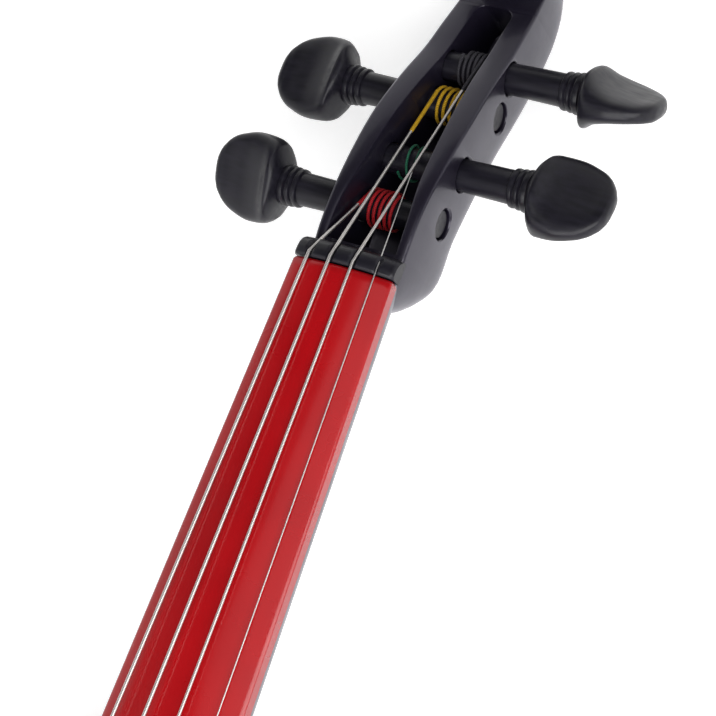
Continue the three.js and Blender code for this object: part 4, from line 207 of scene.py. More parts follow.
def black_lacquer(colours):
    """Black polyester lacquer over maple: near black with a soft gloss that picks up pale surroundings."""
    made, tree, shader = finish(
        "black_polyester_lacquer", colours.black, 0.3, IOR=1.42, Coat_Weight=0.4, Coat_Roughness=0.16,
        Coat_Tint=(0.9, 0.87, 1, 1), Specular_Tint=(0.87, 0.83, 1, 1)
    )
    tinted(tree, shader, blotches(tree, 22, 0.3, 0.7), colours.black, linear(0x1A1722))
    tree.links.new(ranged(tree, noise_in_mm(tree, 9, 4.0), 0.28, 0.4, 0.3, 0.7), shader.inputs["Roughness"])
    bumped(tree, shader, noise_in_mm(tree, 2.0, 1.0), 0.01)
    return made


def polished_ebony(colours):
    """Turned and polished ebony: blue-black, satin, with faint pores along the grain."""
    made, tree, shader = finish(
        "polished_ebony", colours.ebony, 0.4, IOR=1.36, Coat_Weight=0.05, Coat_Roughness=0.2
    )
    grain = noise_in_mm(tree, 1.1, 5.0, (0.12, 1, 1))
    tinted(tree, shader, ranged(tree, grain, 0.0, 1.0, 0.35, 0.75), colours.ebony, linear(0x1C1A24))
    tree.links.new(ranged(tree, grain, 0.3, 0.46, 0.3, 0.7), shader.inputs["Roughness"])
    bumped(tree, shader, grain, 0.01)
    return made


def bridge_maple(colours):
    """Quarter-sawn maple, scraped and bare: pale tan with short dark ray flecks."""
    made, tree, shader = finish("bridge_maple", linear(0xD6B17C), 0.62, IOR=1.5)
    fleck = noise_in_mm(tree, 0.8, 4.0, (0.25, 1, 1.6))
    tinted(tree, shader, ranged(tree, fleck, 0.0, 1.0, 0.55, 0.68), linear(0xD9B785), linear(0xA87A45))
    bumped(tree, shader, fleck, 0.02)
    return made


def moulded_plastic(colours):
    """Injection-moulded ABS: black, satin, with a fine spark-eroded grain."""
    made, tree, shader = finish("black_abs", linear(0x1B1B1F), 0.45, IOR=1.49)
    grain = noise_in_mm(tree, 0.35, 2.0)
    tinted(tree, shader, noise_in_mm(tree, 12), linear(0x19191D), linear(0x232328))
    tree.links.new(ranged(tree, grain, 0.4, 0.52), shader.inputs["Roughness"])
    bumped(tree, shader, grain, 0.015)
    return made


def nylon(colours):
    """Drawn nylon cord and cable jacket: black, smooth and slightly waxy."""
    made, tree, shader = finish("black_nylon", linear(0x17171A), 0.4, IOR=1.53)
    tinted(tree, shader, noise_in_mm(tree, 3), linear(0x151518), linear(0x202024))
    bumped(tree, shader, noise_in_mm(tree, 0.6, 2.0), 0.01)
    return made


def nickel_plate(colours):
    """Bright nickel over brass: warm silver with light polishing marks."""
    made, tree, shader = finish("nickel_plate", linear(0xC8C4BC), 0.2, Metallic=1.0)
    marks = noise_in_mm(tree, 0.9, 4.0, (1, 0.15, 1))
    tinted(tree, shader, noise_in_mm(tree, 8), linear(0xCBC7C0), linear(0xB9B5AD))
    tree.links.new(ranged(tree, marks, 0.14, 0.28, 0.3, 0.7), shader.inputs["Roughness"])
    return made


def plain_steel(colours):
    """Rolled steel sheet and turned steel: grey with fine scratches."""
    made, tree, shader = finish("rolled_steel", linear(0x9A9A9F), 0.36, Metallic=1.0)
    marks = noise_in_mm(tree, 0.7, 4.0, (1, 0.1, 1))
    tinted(tree, shader, noise_in_mm(tree, 6), linear(0xA2A2A7), linear(0x85858B))
    tree.links.new(ranged(tree, marks, 0.28, 0.46, 0.3, 0.7), shader.inputs["Roughness"])
    return made


def battery_jacket(colours):
    """Printed steel jacket of a block battery: satin dark blue-grey with rubbed edges."""
    made, tree, shader = finish("battery_jacket", linear(0x2E3440), 0.35, Metallic=0.6)
    tinted(tree, shader, noise_in_mm(tree, 9), linear(0x2B313D), linear(0x3C4350))
    bumped(tree, shader, noise_in_mm(tree, 1.5), 0.02)
    return made


def wound_metal(colours):
    """Flat metal ribbon wound on a core: silver rings 0.25 mm apart, drawn a little coarser to show; painted
    shade darkens the grooves between the windings and a painted highlight lightens their crests.
    """
    made, tree, shader = finish("wound_string_metal", linear(0xD6D2CE), 0.4, Metallic=1.0)
    rings = along_path(tree, 0.32)
    # Painted shade and highlight: the colour runs from darker in the grooves between windings to lighter on
    # their crests
    tinted(tree, shader, rings, linear(0xB4B0AD), linear(0xE8E4E0))
    bumped(tree, shader, rings, 0.03, 0.6)
    return made


def plain_wire(colours):
    """Drawn carbon steel wire: bright, smooth, with faint drawing streaks."""
    made, tree, shader = finish("drawn_steel_wire", linear(0xCFCDCC), 0.36, Metallic=1.0)
    streaks = noise_in_mm(tree, 0.5, 3.0, (1, 0.05, 1))
    tinted(tree, shader, streaks, linear(0xC4C2C1), linear(0xDCDAD8))
    return made


def silk(name, base):
    """Dyed silk thread wound close round the string: a little fuzzy, its ridges drawn coarser to show, with
    painted shade at half the dye's colour in the grooves between the threads.
    """
    made, tree, shader = finish(name, base, 0.65, IOR=1.45, Sheen_Weight=0.04, Sheen_Roughness=0.4)
    threads = along_path(tree, 0.36)
    # Painted shade: the dye's colour halved, for the grooves between the threads
    dark = tuple(c * 0.5 for c in base[:3]) + (1.0,)
    tinted(tree, shader, threads, dark, base)
    bumped(tree, shader, threads, 0.05, 0.8)
    return made


def cork(colours):
    """Pressed cork on the chin rest's feet: tan with dark crumbs."""
    made, tree, shader = finish("pressed_cork", linear(0xB28A5C), 0.85, IOR=1.4)
    crumbs = noise_in_mm(tree, 0.9, 5.0)
    tinted(tree, shader, ranged(tree, crumbs, 0.0, 1.0, 0.42, 0.6), linear(0xBC9566), linear(0x7A5635))
    bumped(tree, shader, crumbs, 0.08)
    return made


def solder_mask(colours):
    """Glass-fibre circuit board under green solder mask, the weave showing faintly."""
    made, tree, shader = finish("green_solder_mask", linear(0x1D5B37), 0.4, IOR=1.5)
    tinted(tree, shader, noise_in_mm(tree, 1.2, 1.0, (1, 0.3, 1)), linear(0x1A5433), linear(0x2A7046))
    bumped(tree, shader, noise_in_mm(tree, 0.8, 1.0), 0.02)
    return made


def red_lens(colours):
    """Clear red epoxy of a light-emitting diode, brighter at its heart."""
    made, tree, shader = finish("red_epoxy_lens", linear(0xC8323C), 0.12, IOR=1.54, Coat_Weight=0.5)
    tinted(tree, shader, noise_in_mm(tree, 1.5), linear(0xC02833), linear(0xE05560))
    return made


def pad_printing(colours):
    """Pad-printed enamel line on a knob: off-white, matt, slightly worn."""
    made, tree, shader = finish("pad_printed_enamel", linear(0xD9D8D4), 0.55, IOR=1.5)
    tinted(tree, shader, noise_in_mm(tree, 0.5, 2.0), linear(0xCFCEC9), linear(0xE2E1DD))
    bumped(tree, shader, noise_in_mm(tree, 0.3, 1.0), 0.01)
    return made


# Each look's maker, and a slot name
FINISHES = {
    "paint": (pad_printing, "black_plastic"),
    "red": (red_lacquer, "red_lacquer"),
    "black": (black_lacquer, "black_lacquer"),
    "ebony": (polished_ebony, "ebony"),
    "maple": (bridge_maple, "maple"),
    "plastic": (moulded_plastic, "black_plastic"),
    "nylon": (nylon, "black_plastic"),
    "nickel": (nickel_plate, "nickel"),
    "steel": (plain_steel, "steel"),
    "jacket": (battery_jacket, "steel"),
    "wound": (wound_metal, "string_metal"),
    "wire": (plain_wire, "string_metal"),
    "cork": (cork, "ebony"),
    "board": (solder_mask, "black_plastic"),
    "lens": (red_lens, "red_lens"),
    "silk_g": (lambda colours: silk("red_silk", colours.silk_g), "red_silk"),
    "silk_d": (lambda colours: silk("yellow_silk", colours.silk_d), "yellow_silk"),
    "silk_a": (lambda colours: silk("black_silk", colours.silk_a), "black_silk"),
    "silk_e": (lambda colours: silk("green_silk", colours.silk_e), "green_silk"),
}
made_finishes = {}


def surface(look):
    """The material of a look, made the first time that it is asked for."""
    if look not in made_finishes:
        made_finishes[look] = FINISHES[look][0](bpy.context.scene.violin_colours)
    return made_finishes[look]


# Frames: the whole violin, its leaning neck and its tailpiece, each drawn in millimetres

WHOLE = Matrix.Scale(MM, 4)
TO_MM = Matrix.Scale(1 / MM, 4)
ACROSS, ALONG = (1, 0, 0), (0, 1, 0)
NUT_PLACE = Vector((0, 308, 52))
TAILPIECE_PLACE = Vector((0, -65.997, 67.016))
TAILPIECE_PITCH = math.radians(6.2)


def neck_frame():
    pitch = bpy.context.scene.violin_neck.pitch
    return WHOLE @ Matrix.Translation(NUT_PLACE) @ Matrix.Rotation(-pitch, 4, "X")


def tail_frame():
    return WHOLE @ Matrix.Translation(TAILPIECE_PLACE) @ Matrix.Rotation(TAILPIECE_PITCH, 4, "X")


def to_whole(place, point):
    """A point of a leaning frame, in the whole violin's millimetres."""
    return WHOLE.inverted() @ (place @ Vector(point))


# Mesh making

DOUBLES_GAP = 0.0005
PLATE_DOUBLES_GAP = 0.001
ON_AXIS = 1e-6
CORD_SHARP_ANGLE = math.radians(50)
# Turns an outline drawn as (along, up) to stand across the violin
SIDEWAYS = Matrix(((0, 0, 1, 0), (1, 0, 0, 0), (0, 1, 0, 0), (0, 0, 0, 1)))


def linked(name, data):
    made = bpy.data.objects.new(name, data)
    bpy.context.scene.collection.objects.link(made)
    return made


def smoothed(shape, mesh, sharp=SHARP_ANGLE):
    """Writes a shape to its mesh, smooth all over but for the edges that turn sharply."""
    for face in shape.faces:
        face.smooth = True
    for edge in shape.edges:
        edge.smooth = len(edge.link_faces) == 2 and edge.calc_face_angle(0.0) < sharp
    shape.to_mesh(mesh)
    shape.free()


def tied(made, node, body):
    """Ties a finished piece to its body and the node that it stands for."""
    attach(made, body)
    if node:
        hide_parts(node)


def piece(name, shape, look, place=WHOLE, node=None, body=ROOT):
    """Turns a bmesh into a finished piece that rides on a body."""
    bmesh.ops.remove_doubles(shape, verts=shape.verts, dist=DOUBLES_GAP)
    bmesh.ops.recalc_face_normals(shape, faces=shape.faces)
    mesh = bpy.data.meshes.new(name)
    smoothed(shape, mesh)
    mesh.transform(place)
    mesh.materials.append(surface(look))
    tied(linked(name, mesh), node, body)


def lofted(rings, shape=None):
    """A closed skin through rings of points, its ends capped."""
    shape = shape or bmesh.new()
    rows = [[shape.verts.new(point) for point in ring] for ring in rings]
    joined(shape, rows)
    shape.faces.new(rows[0])
    shape.faces.new(rows[-1][::-1])
    return shape


def joined(shape, rows):
    """Faces between each ring of vertices and the next."""
    count = len(rows[0])
    for near, far in zip(rows, rows[1:]):
        for i in range(count):
            j = (i + 1) % count
            shape.faces.new((near[i], near[j], far[j], far[i]))


def turned(profile, axis=(0, 0, 1), place=(0, 0, 0), steps=40, shape=None):
    """A turned piece from (radius, height) rows; rows of radius 0 close it on its axis."""
    shape = shape or bmesh.new()
    turn = Vector((0, 0, 1)).rotation_difference(Vector(axis))
    rows = []
    for radius, height in profile:
        if radius < ON_AXIS:
            rows.append([shape.verts.new(Vector(place) + turn @ Vector((0, 0, height)))])
            continue
        ring = []
        for i in range(steps):
            angle = 2 * math.pi * i / steps
            point = Vector((radius * math.cos(angle), radius * math.sin(angle), height))
            ring.append(shape.verts.new(Vector(place) + turn @ point))
        rows.append(ring)
    pairs = list(zip(rows, rows[1:]))
    if len(rows[0]) > 1 and len(rows[-1]) > 1:
        pairs.append((rows[-1], rows[0]))
    for near, far in pairs:
        if len(near) == len(far) == 1:
            continue
        for i in range(steps):
            j = (i + 1) % steps
            if len(near) == 1:
                shape.faces.new((near[0], far[j], far[i]))
            elif len(far) == 1:
                shape.faces.new((near[i], near[j], far[0]))
            else:
                shape.faces.new((near[i], near[j], far[j], far[i]))
    return shape


def block(low, high):
    """A box between two opposite corners."""
    shape = bmesh.new()
    size = Vector(high) - Vector(low)
    middle = (Vector(high) + Vector(low)) / 2
    place = Matrix.Translation(middle) @ Matrix.Diagonal((*size, 1))
    bmesh.ops.create_cube(shape, size=1, matrix=place)
    return shape


def centred(x, y, half_x, half_y, low, high):
    """A box that stands round a place seen from the front."""
    return block((x - half_x, y - half_y, low), (x + half_x, y + half_y, high))


def softened(shape, width, least=math.radians(25)):
    """Rounds every edge that turns by more than the least angle."""
    bmesh.ops.remove_doubles(shape, verts=shape.verts, dist=PLATE_DOUBLES_GAP)
    bmesh.ops.dissolve_limit(shape, angle_limit=math.radians(1), verts=shape.verts, edges=shape.edges)
    sharp = [e for e in shape.edges if len(e.link_faces) == 2 and e.calc_face_angle(0.0) > least]
    bmesh.ops.bevel(
        shape, geom=sharp, offset=width, segments=2, profile=0.5, affect="EDGES", clamp_overlap=True
    )
    return shape


def of_node(node, width):
    """A copy of a plain solid with its edges rounded, in the whole violin's millimetres."""
    shape = bmesh.new()
    shape.from_mesh(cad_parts[node].data)
    bmesh.ops.transform(shape, matrix=TO_MM, verts=shape.verts)
    return softened(shape, width)


def prism(outline, low, high, turn=Matrix.Identity(4)):
    """A flat outline pulled from one height to another."""
    return lofted([[turn @ Vector((x, y, z)) for x, y in outline] for z in (low, high)])


def rod(start, end, radius, steps=28):
    """A plain round rod, for cutting and for joining."""
    start, end = Vector(start), Vector(end)
    reach = (end - start).length
    rows = [(0, 0), (radius, 0), (radius, reach), (0, reach)]
    return turned(rows, (end - start).normalized(), start, steps)


def carved(shape, tools, solver="EXACT"):
    """The shape with each tool's solid taken out of it."""

    def temporary(name, bm):
        bmesh.ops.remove_doubles(bm, verts=bm.verts, dist=DOUBLES_GAP)
        bmesh.ops.recalc_face_normals(bm, faces=bm.faces)
        mesh = bpy.data.meshes.new(name)
        bm.to_mesh(mesh)
        bm.free()
        return linked(name, mesh)

    blank = temporary("blank", shape)
    cutters = [temporary("cutter", tool) for tool in tools]
    for cutter in cutters:
        change = blank.modifiers.new("cut", "BOOLEAN")
        change.operation = "DIFFERENCE"
        change.solver = solver
        change.object = cutter
    result = bmesh.new()
    result.from_object(blank, bpy.context.evaluated_depsgraph_get())
    if not result.faces:
        raise RuntimeError("a carved piece came out empty")
    for made in [blank, *cutters]:
        bpy.data.objects.remove(made)
    return result


# Curves and rows of sizes


def smooth_row(rows, at):
    """Reads a table of (place, value, ...) rows at any place, on a smooth curve through its rows."""
    places = [row[0] for row in rows]
    at = min(max(at, places[0]), places[-1])
    i = max(k for k in range(len(rows) - 1) if places[k] <= at or k == 0)
    width = places[i + 1] - places[i]
    t = (at - places[i]) / width

    def slope(k, column):
        if k in (0, len(rows) - 1):
            other = 1 if k == 0 else k - 1
            return (rows[other][column] - rows[k][column]) / (places[other] - places[k])
        before, after = places[k] - places[k - 1], places[k + 1] - places[k]
        first = (rows[k][column] - rows[k - 1][column]) / before
        second = (rows[k + 1][column] - rows[k][column]) / after
        return (first * after + second * before) / (before + after)

    values = []
    for column in range(1, len(rows[0])):
        p, q = rows[i][column], rows[i + 1][column]
        m, n = slope(i, column) * width, slope(i + 1, column) * width
        t2, t3 = t * t, t * t * t
        value = (2 * t3 - 3 * t2 + 1) * p + (t3 - 2 * t2 + t) * m + (3 * t2 - 2 * t3) * q + (t3 - t2) * n
        values.append(value)
    return values


def spline_through(points, steps):
    """Points on a smooth curve through the given ones, steps to each stretch."""
    rows = [(i, *p) for i, p in enumerate(points)]
    last = len(points) - 1
    return [Vector(smooth_row(rows, i / steps)) for i in range(last * steps + 1)]


def spread(low, high, share):
    return low + (high - low) * share


def steps_between(low, high, steps):
    """Even places from low to high, both included."""
    return [spread(low, high, i / steps) for i in range(steps + 1)]


def arch(x, radius):
    """How far an arched top has dropped at a place across it."""
    return radius - math.sqrt(radius * radius - x * x)


def arc(middle, radius, first, last, steps):
    """Points round an arc of a circle, both ends included."""
    angles = [first + (last - first) * i / steps for i in range(steps + 1)]
    return [(middle[0] + radius * math.cos(a), middle[1] + radius * math.sin(a)) for a in angles]


def rounded_box(low, high, edge, steps):
    """The outline of a rectangle between two corners, with its corners rounded."""
    (left, bottom), (right, top) = (low[0] + edge, low[1] + edge), (high[0] - edge, high[1] - edge)
    outline = []
    for k, corner in enumerate([(right, bottom), (right, top), (left, top), (left, bottom)]):
        outline += arc(corner, edge, QUARTER * (k - 1), QUARTER * k, steps)
    return outline


def squared(angle, power):
    """A point round a circle of radius 1 that is squared off by a power over 2."""
    c, s = math.cos(angle), math.sin(angle)
    return math.copysign(abs(c) ** (2 / power), c), math.copysign(abs(s) ** (2 / power), s)


def thread(low, high, pitch, first, second):
    """Rows of a screw's thread, whose radius goes to and fro between the two given."""
    rows, height = [], low
    while height < high:
        rows += [(first, height), (second, height + pitch / 2)]
        height += pitch
    return rows


def mirrored(points):
    return [(-x, *rest) for x, *rest in reversed(points)]


# Geometry nodes: a round cord along a path, and ribs round a knob


def new_tree(name, sockets, result):
    """A tree with its inputs, whose one output is a geometry; returns it and its input node."""
    tree = bpy.data.node_groups.new(name, "GeometryNodeTree")
    for label, kind, default in sockets:
        socket = tree.interface.new_socket(label, in_out="INPUT", socket_type=f"NodeSocket{kind}")
        if default is not None:
            socket.default_value = default
    tree.interface.new_socket(result, in_out="OUTPUT", socket_type="NodeSocketGeometry")
    return tree, add_node(tree, "NodeGroupInput").outputs


def dressed(tree, geometry, finish_socket, result):
    """Ends a tree: the finish is set on the geometry and goes out."""
    settings = {"Geometry": geometry, "Material": finish_socket}
    done = add_node(tree, "GeometryNodeSetMaterial", settings)
    add_node(tree, "NodeGroupOutput", {result: done.outputs["Geometry"]})
    return tree


def cord_tree():
    """Sweeps a circle along a path and keeps the length run so far for its material."""
    sockets = [
        ("Path", "Geometry", None), ("Radius", "Float", 0.0004), ("Sides", "Int", 12),
        ("Finish", "Material", None),
    ]
    tree, given = new_tree("Cord Along Path", sockets, "Cord")
    curve = add_node(tree, "GeometryNodeMeshToCurve", {"Mesh": given["Path"]})
    run = add_node(tree, "GeometryNodeSplineParameter")
    settings = {"Geometry": curve.outputs["Curve"], "Name": "along", "Value": run.outputs["Length"]}
    kept = add_node(tree, "GeometryNodeStoreNamedAttribute", settings, data_type="FLOAT", domain="POINT")
    settings = {"Resolution": given["Sides"], "Radius": given["Radius"]}
    ring = add_node(tree, "GeometryNodeCurvePrimitiveCircle", settings)
    settings = {"Curve": kept.outputs["Geometry"], "Profile Curve": ring.outputs["Curve"], "Fill Caps": True}
    swept = add_node(tree, "GeometryNodeCurveToMesh", settings)
    real = add_node(tree, "GeometryNodeRealizeInstances", {"Geometry": swept.outputs["Mesh"]})
    return dressed(tree, real.outputs["Geometry"], given["Finish"], "Cord")


def ribbed_tree():
    """Stands a rib at even steps round a ring, for the grip of a knob."""
    sockets = [
        ("Body", "Geometry", None), ("Ribs", "Int", 24), ("Ring Radius", "Float", 0.007),
        ("Rib Radius", "Float", 0.0006), ("Rib Height", "Float", 0.008), ("Centre", "Vector", None),
        ("Finish", "Material", None),
    ]
    tree, given = new_tree("Ribs Round Ring", sockets, "Knob")
    settings = {"Vertices": given["Ribs"], "Radius": given["Ring Radius"]}
    ring = add_node(tree, "GeometryNodeMeshCircle", settings)
    settings = {"Vertices": 8, "Radius": given["Rib Radius"], "Depth": given["Rib Height"]}
    rib = add_node(tree, "GeometryNodeMeshCylinder", settings)
    settings = {"Points": ring.outputs["Mesh"], "Instance": rib.outputs["Mesh"]}
    ribs = add_node(tree, "GeometryNodeInstanceOnPoints", settings)
    settings = {"Geometry": ribs.outputs["Instances"], "Translation": given["Centre"]}
    placed = add_node(tree, "GeometryNodeTransform", settings)
    both = add_node(tree, "GeometryNodeJoinGeometry")
    tree.links.new(given["Body"], both.inputs["Geometry"])
    tree.links.new(placed.outputs["Geometry"], both.inputs["Geometry"])
    real = add_node(tree, "GeometryNodeRealizeInstances", {"Geometry": both.outputs["Geometry"]})
    return dressed(tree, real.outputs["Geometry"], given["Finish"], "Knob")


def grown(name, start, tree_name, maker, values):
    """Runs a tree on a start mesh and keeps the result as a plain mesh object at the origin."""
    tree = bpy.data.node_groups.get(tree_name) or maker()
    seed = linked(f"{name}_seed", start)
    change = seed.modifiers.new("grow", "NODES")
    change.node_group = tree
    for item in tree.interface.items_tree:
        if item.in_out == "INPUT" and item.name in values:
            change[item.identifier] = values[item.name]
    graph = bpy.context.evaluated_depsgraph_get()
    mesh = bpy.data.meshes.new_from_object(seed.evaluated_get(graph), depsgraph=graph)
    seed.modifiers.remove(change)
    bpy.data.objects.remove(seed)
    mesh.name = name
    return linked(name, mesh)


def cord(name, points, radius, look, place=WHOLE, sides=12, node=None, body=ROOT):
    """A round cord along points, as a plain mesh that rides on a body."""
    path = bpy.data.meshes.new(f"{name}_path")
    path.from_pydata([place @ Vector(p) for p in points], [(i, i + 1) for i in range(len(points) - 1)], [])
    values = {"Radius": radius * MM, "Sides": sides, "Finish": surface(look)}
    made = grown(name, path, "Cord Along Path", cord_tree, values)
    shape = bmesh.new()
    shape.from_mesh(made.data)
    bmesh.ops.recalc_face_normals(shape, faces=shape.faces)
    smoothed(shape, made.data, CORD_SHARP_ANGLE)
    tied(made, node, body)


def ribbed(name, profile, centre, grip, look, node, place=WHOLE, tools=()):
    """A turned knob with ribs stood round it by geometry nodes; it rides on the body named as its node."""
    shape = turned(profile, place=(*centre, 0), steps=48)
    if tools:
        shape = carved(shape, tools)
    bmesh.ops.recalc_face_normals(shape, faces=shape.faces)
    start = bpy.data.meshes.new(f"{name}_start")
    shape.to_mesh(start)
    shape.free()
    start.transform(WHOLE)
    middle = (grip["low"] + grip["high"]) / 2
    values = {
        "Ribs": grip["ribs"], "Ring Radius": grip["ring"] * MM, "Rib Radius": grip["rib"] * MM,
        "Rib Height": (grip["high"] - grip["low"]) * MM,
        "Centre": tuple(c * MM for c in (*centre, middle)), "Finish": surface(look),
    }
    made = grown(name, start, "Ribs Round Ring", ribbed_tree, values)
    made.data.transform(place @ TO_MM)
    shape = bmesh.new()
    shape.from_mesh(made.data)
    smoothed(shape, made.data)
    tied(made, node, node)


# Neck, pegbox and scroll

# Place from the nut, front, back, half-width and squareness of the section
PEGBOX_ROWS = [
    (-4.1, -5.9, -17.8, 9.6, 2.4), (-2.7, -5.9, -20.8, 10.1, 2.7), (0, -5.9, -24.9, 10.6, 3.3),
    (2.7, -5.9, -27.3, 10.85, 4.5), (6.2, -5.38, -29.2, 11, 7), (18.5, -5.2, -29.4, 11.15, 8),
    (29.6, -7.6, -30.9, 11.5, 8), (40, -11, -33.2, 11.6, 8), (50.3, -15.7, -38, 11.1, 8),
    (60, -21, -42, 10.6, 8), (66.6, -23.8, -43.7, 10.4, 8), (75.5, -27.5, -45.5, 9.9, 8),
    (82.9, -29.6, -45.2, 9.2, 7), (88.8, -29.8, -43.4, 7.8, 7),
]
PEGBOX_STEPS = 28
RIM_ROUND = 0.8
RIM_TURNS = [share * QUARTER for share in (0.3, 0.6, 1.0)]
# Place from the nut, half-width of the cavity
CAVITY_ROWS = [
    (6.6, 8.6), (14.7, 8.35), (24, 7.3), (37, 6.5), (47, 5.75), (57, 4.95), (66, 4.7), (74.2, 4.6),
]
CAVITY_LIP = 0.45
CAVITY_CORNER = 1.6
CAVITY_END_ROUND = 2.6
FLOOR_WALL = 3.4
SOFT_SHARE = 0.3
# Sections before the cavity, along it, round its far end and after it
CHIN_STEPS, CAVITY_STEPS, CAVITY_END_STEPS, THROAT_STEPS = 12, 34, 8, 8
# How far apart two sections at one place are set, where the cavity starts and ends
SECTION_GAP = 0.05

PEGS = {
    "g": {"side": -1, "along": 18.8, "depth": 17.4, "reach": 47.1, "turn": -28},
    "d": {"side": -1, "along": 48.2, "depth": 25.8, "reach": 45.8, "turn": 2},
    "a": {"side": 1, "along": 57.5, "depth": 25, "reach": 46.9, "turn": -51},
    "e": {"side": 1, "along": 30.8, "depth": 17.6, "reach": 46.6, "turn": -18},
}
PEG_TIP_RADIUS = 3.25
PEG_TIP_INSET = 0.8
PEG_TAPER = 1 / 60
PEG_HOLE_CLEARANCE = 0.3
PEG_HOLE_FLARE = 0.35
CUT_OVERRUN = 2

GLUE_GAP = 0.3
NECK_STEPS = 40
SHAFT_DEPTH = 18.5
SHAFT_TAPER = 2.6
SHAFT_INSET = 1.2
SHAFT_START = 2
SHAFT_STEPS = 8
HEEL_START = 100
HEEL_DEPTH = 50
HEEL_HALF_WIDTH = 12.2
HEEL_STEPS = 24
# Share of the way from the shaft to the heel's end, share of the drop
HEEL_ROWS = [(0, 0), (0.3, 0.05), (0.52, 0.16), (0.7, 0.36), (0.84, 0.64), (0.94, 0.9), (1, 1)]
TENON_HALF_WIDTH = 10.5
TENON_REACH = 24
TENON_DEPTH = 43
TENON_LAP = 0.6
TENON_EDGE = 0.4

SCROLL_CENTRE = (93, -26.5)
SCROLL_TURNS = 2.4
SCROLL_STEPS_PER_TURN = 56
SCROLL_START = -0.31
SCROLL_SHRINK = 0.56
SCROLL_EDGE = 0.9
SCROLL_HALF_WIDTHS = (6.4, 19)
SCROLL_FLARE_POWER = 1.3
SCROLL_DISH = 0.5
SCROLL_EYE_RADIUS = 0.2
SCROLL_LEAST_RADIUS = 0.05
SCROLL_SEAM = 0.01


def pegbox_half_width(y):
    return smooth_row(PEGBOX_ROWS, y)[2]


def cavity_half_width(y):
    """Half the cavity's width, let in at its far end by the round of the router's bit."""
    past = max(0, y - CAVITY_ROWS[-1][0] + CAVITY_END_ROUND) / CAVITY_END_ROUND
    return smooth_row(CAVITY_ROWS, y)[0] - CAVITY_END_ROUND * (1 - math.sqrt(max(0, 1 - past ** 2)))


def pegbox_ring(y, opened):
    """One section of the pegbox: the outside, then the rounded rims and the cavity between the cheeks."""
    front, back, half, square = smooth_row(PEGBOX_ROWS, y)
    outside = []
    for angle in steps_between(0, math.pi, PEGBOX_STEPS):
        across, deep = squared(angle, square)
        outside.append((half * across, spread(front - RIM_ROUND, back, deep)))
    rim = [
        (half - RIM_ROUND * (1 - math.cos(a)), front - RIM_ROUND + RIM_ROUND * math.sin(a)) for a in RIM_TURNS
    ]
    inner, lip = cavity_half_width(y), CAVITY_LIP
    floor = back + FLOOR_WALL if opened else front
    sunk, corner = (CAVITY_LIP, CAVITY_CORNER) if opened else (0, 0)
    cheek = [
        (inner + lip, front), (inner + lip * SOFT_SHARE, front - sunk * SOFT_SHARE), (inner, front - sunk),
        (inner, floor + corner), (inner - corner * SOFT_SHARE, floor + corner * SOFT_SHARE),
        (inner - corner, floor),
    ]
    left = [(-x, z) for x, z in [*rim, *cheek]]
    return [(x, y, z) for x, z in [*outside, *left, *mirrored(left)]]


def pegbox_shape():
    first, last = PEGBOX_ROWS[0][0], PEGBOX_ROWS[-1][0]
    start, end = CAVITY_ROWS[0][0], CAVITY_ROWS[-1][0]
    straight = steps_between(start, end - CAVITY_END_ROUND, CAVITY_STEPS)[:-1]
    turns = steps_between(0, QUARTER, CAVITY_END_STEPS)
    rounded = [end - CAVITY_END_ROUND * (1 - math.sin(turn)) for turn in turns]
    rings = []
    for places, opened in (
        (steps_between(first, start, CHIN_STEPS), False),
        ([*straight, *rounded], True),
        (steps_between(end, last, THROAT_STEPS), False),
    ):
        shift = SECTION_GAP if rings else 0
        for y in places:
            rings.append([(x, there + shift, z) for x, there, z in pegbox_ring(y, opened)])
            shift = 0
    return lofted(rings)


def peg_tip(peg):
    """Where a peg's small end stands, across the pegbox."""
    return -pegbox_half_width(peg["along"]) + PEG_TIP_INSET


def peg_radius(peg, place):
    """Radius of a peg's taper at a place across the pegbox, measured towards the head."""
    return PEG_TIP_RADIUS + (place - peg_tip(peg)) * PEG_TAPER


def peg_place(peg):
    """Puts a peg drawn along its own Z, head last, into the neck's frame."""
    turn = Vector((0, 0, 1)).rotation_difference(Vector((peg["side"], 0, 0)))
    return Matrix.Translation((0, peg["along"], -peg["depth"])) @ turn.to_matrix().to_4x4()


def peg_hole(peg):
    """The tapered hole through both cheeks, a little flared at the outer faces."""
    wall = pegbox_half_width(peg["along"])
    profile = []
    for place, extra in (
        (-wall - CUT_OVERRUN, CUT_OVERRUN),
        (-wall + PEG_HOLE_FLARE, 0),
        (wall - PEG_HOLE_FLARE, 0),
        (wall + CUT_OVERRUN, CUT_OVERRUN),
    ):
        profile.append((peg_radius(peg, place) + PEG_HOLE_CLEARANCE + extra, place))
    shape = turned([(0, profile[0][1]), *profile, (0, profile[-1][1])], steps=48)
    bmesh.ops.transform(shape, matrix=peg_place(peg), verts=shape.verts)
    return shape


def board_half_width(sizes, y):
    return spread(mm(sizes.nut_width), mm(sizes.board_end_width), -y / mm(sizes.board_length)) / 2


def board_underside(sizes, y):
    return -arch(board_half_width(sizes, y), mm(sizes.board_radius)) - mm(sizes.board_side)


def shaft_bottom(sizes, y):
    return -SHAFT_DEPTH + SHAFT_TAPER * y / mm(sizes.neck_length)


def neck_ring(sizes, y, half, bottom, square):
    """One section of the neck, flat under the fingerboard and round at the back."""
    top = board_underside(sizes, min(y, 0)) - GLUE_GAP
    ring = []
    for angle in steps_between(0, math.pi, NECK_STEPS):
        across, deep = squared(angle, square)
        ring.append((half * across, y, spread(top, bottom, deep)))
    return ring


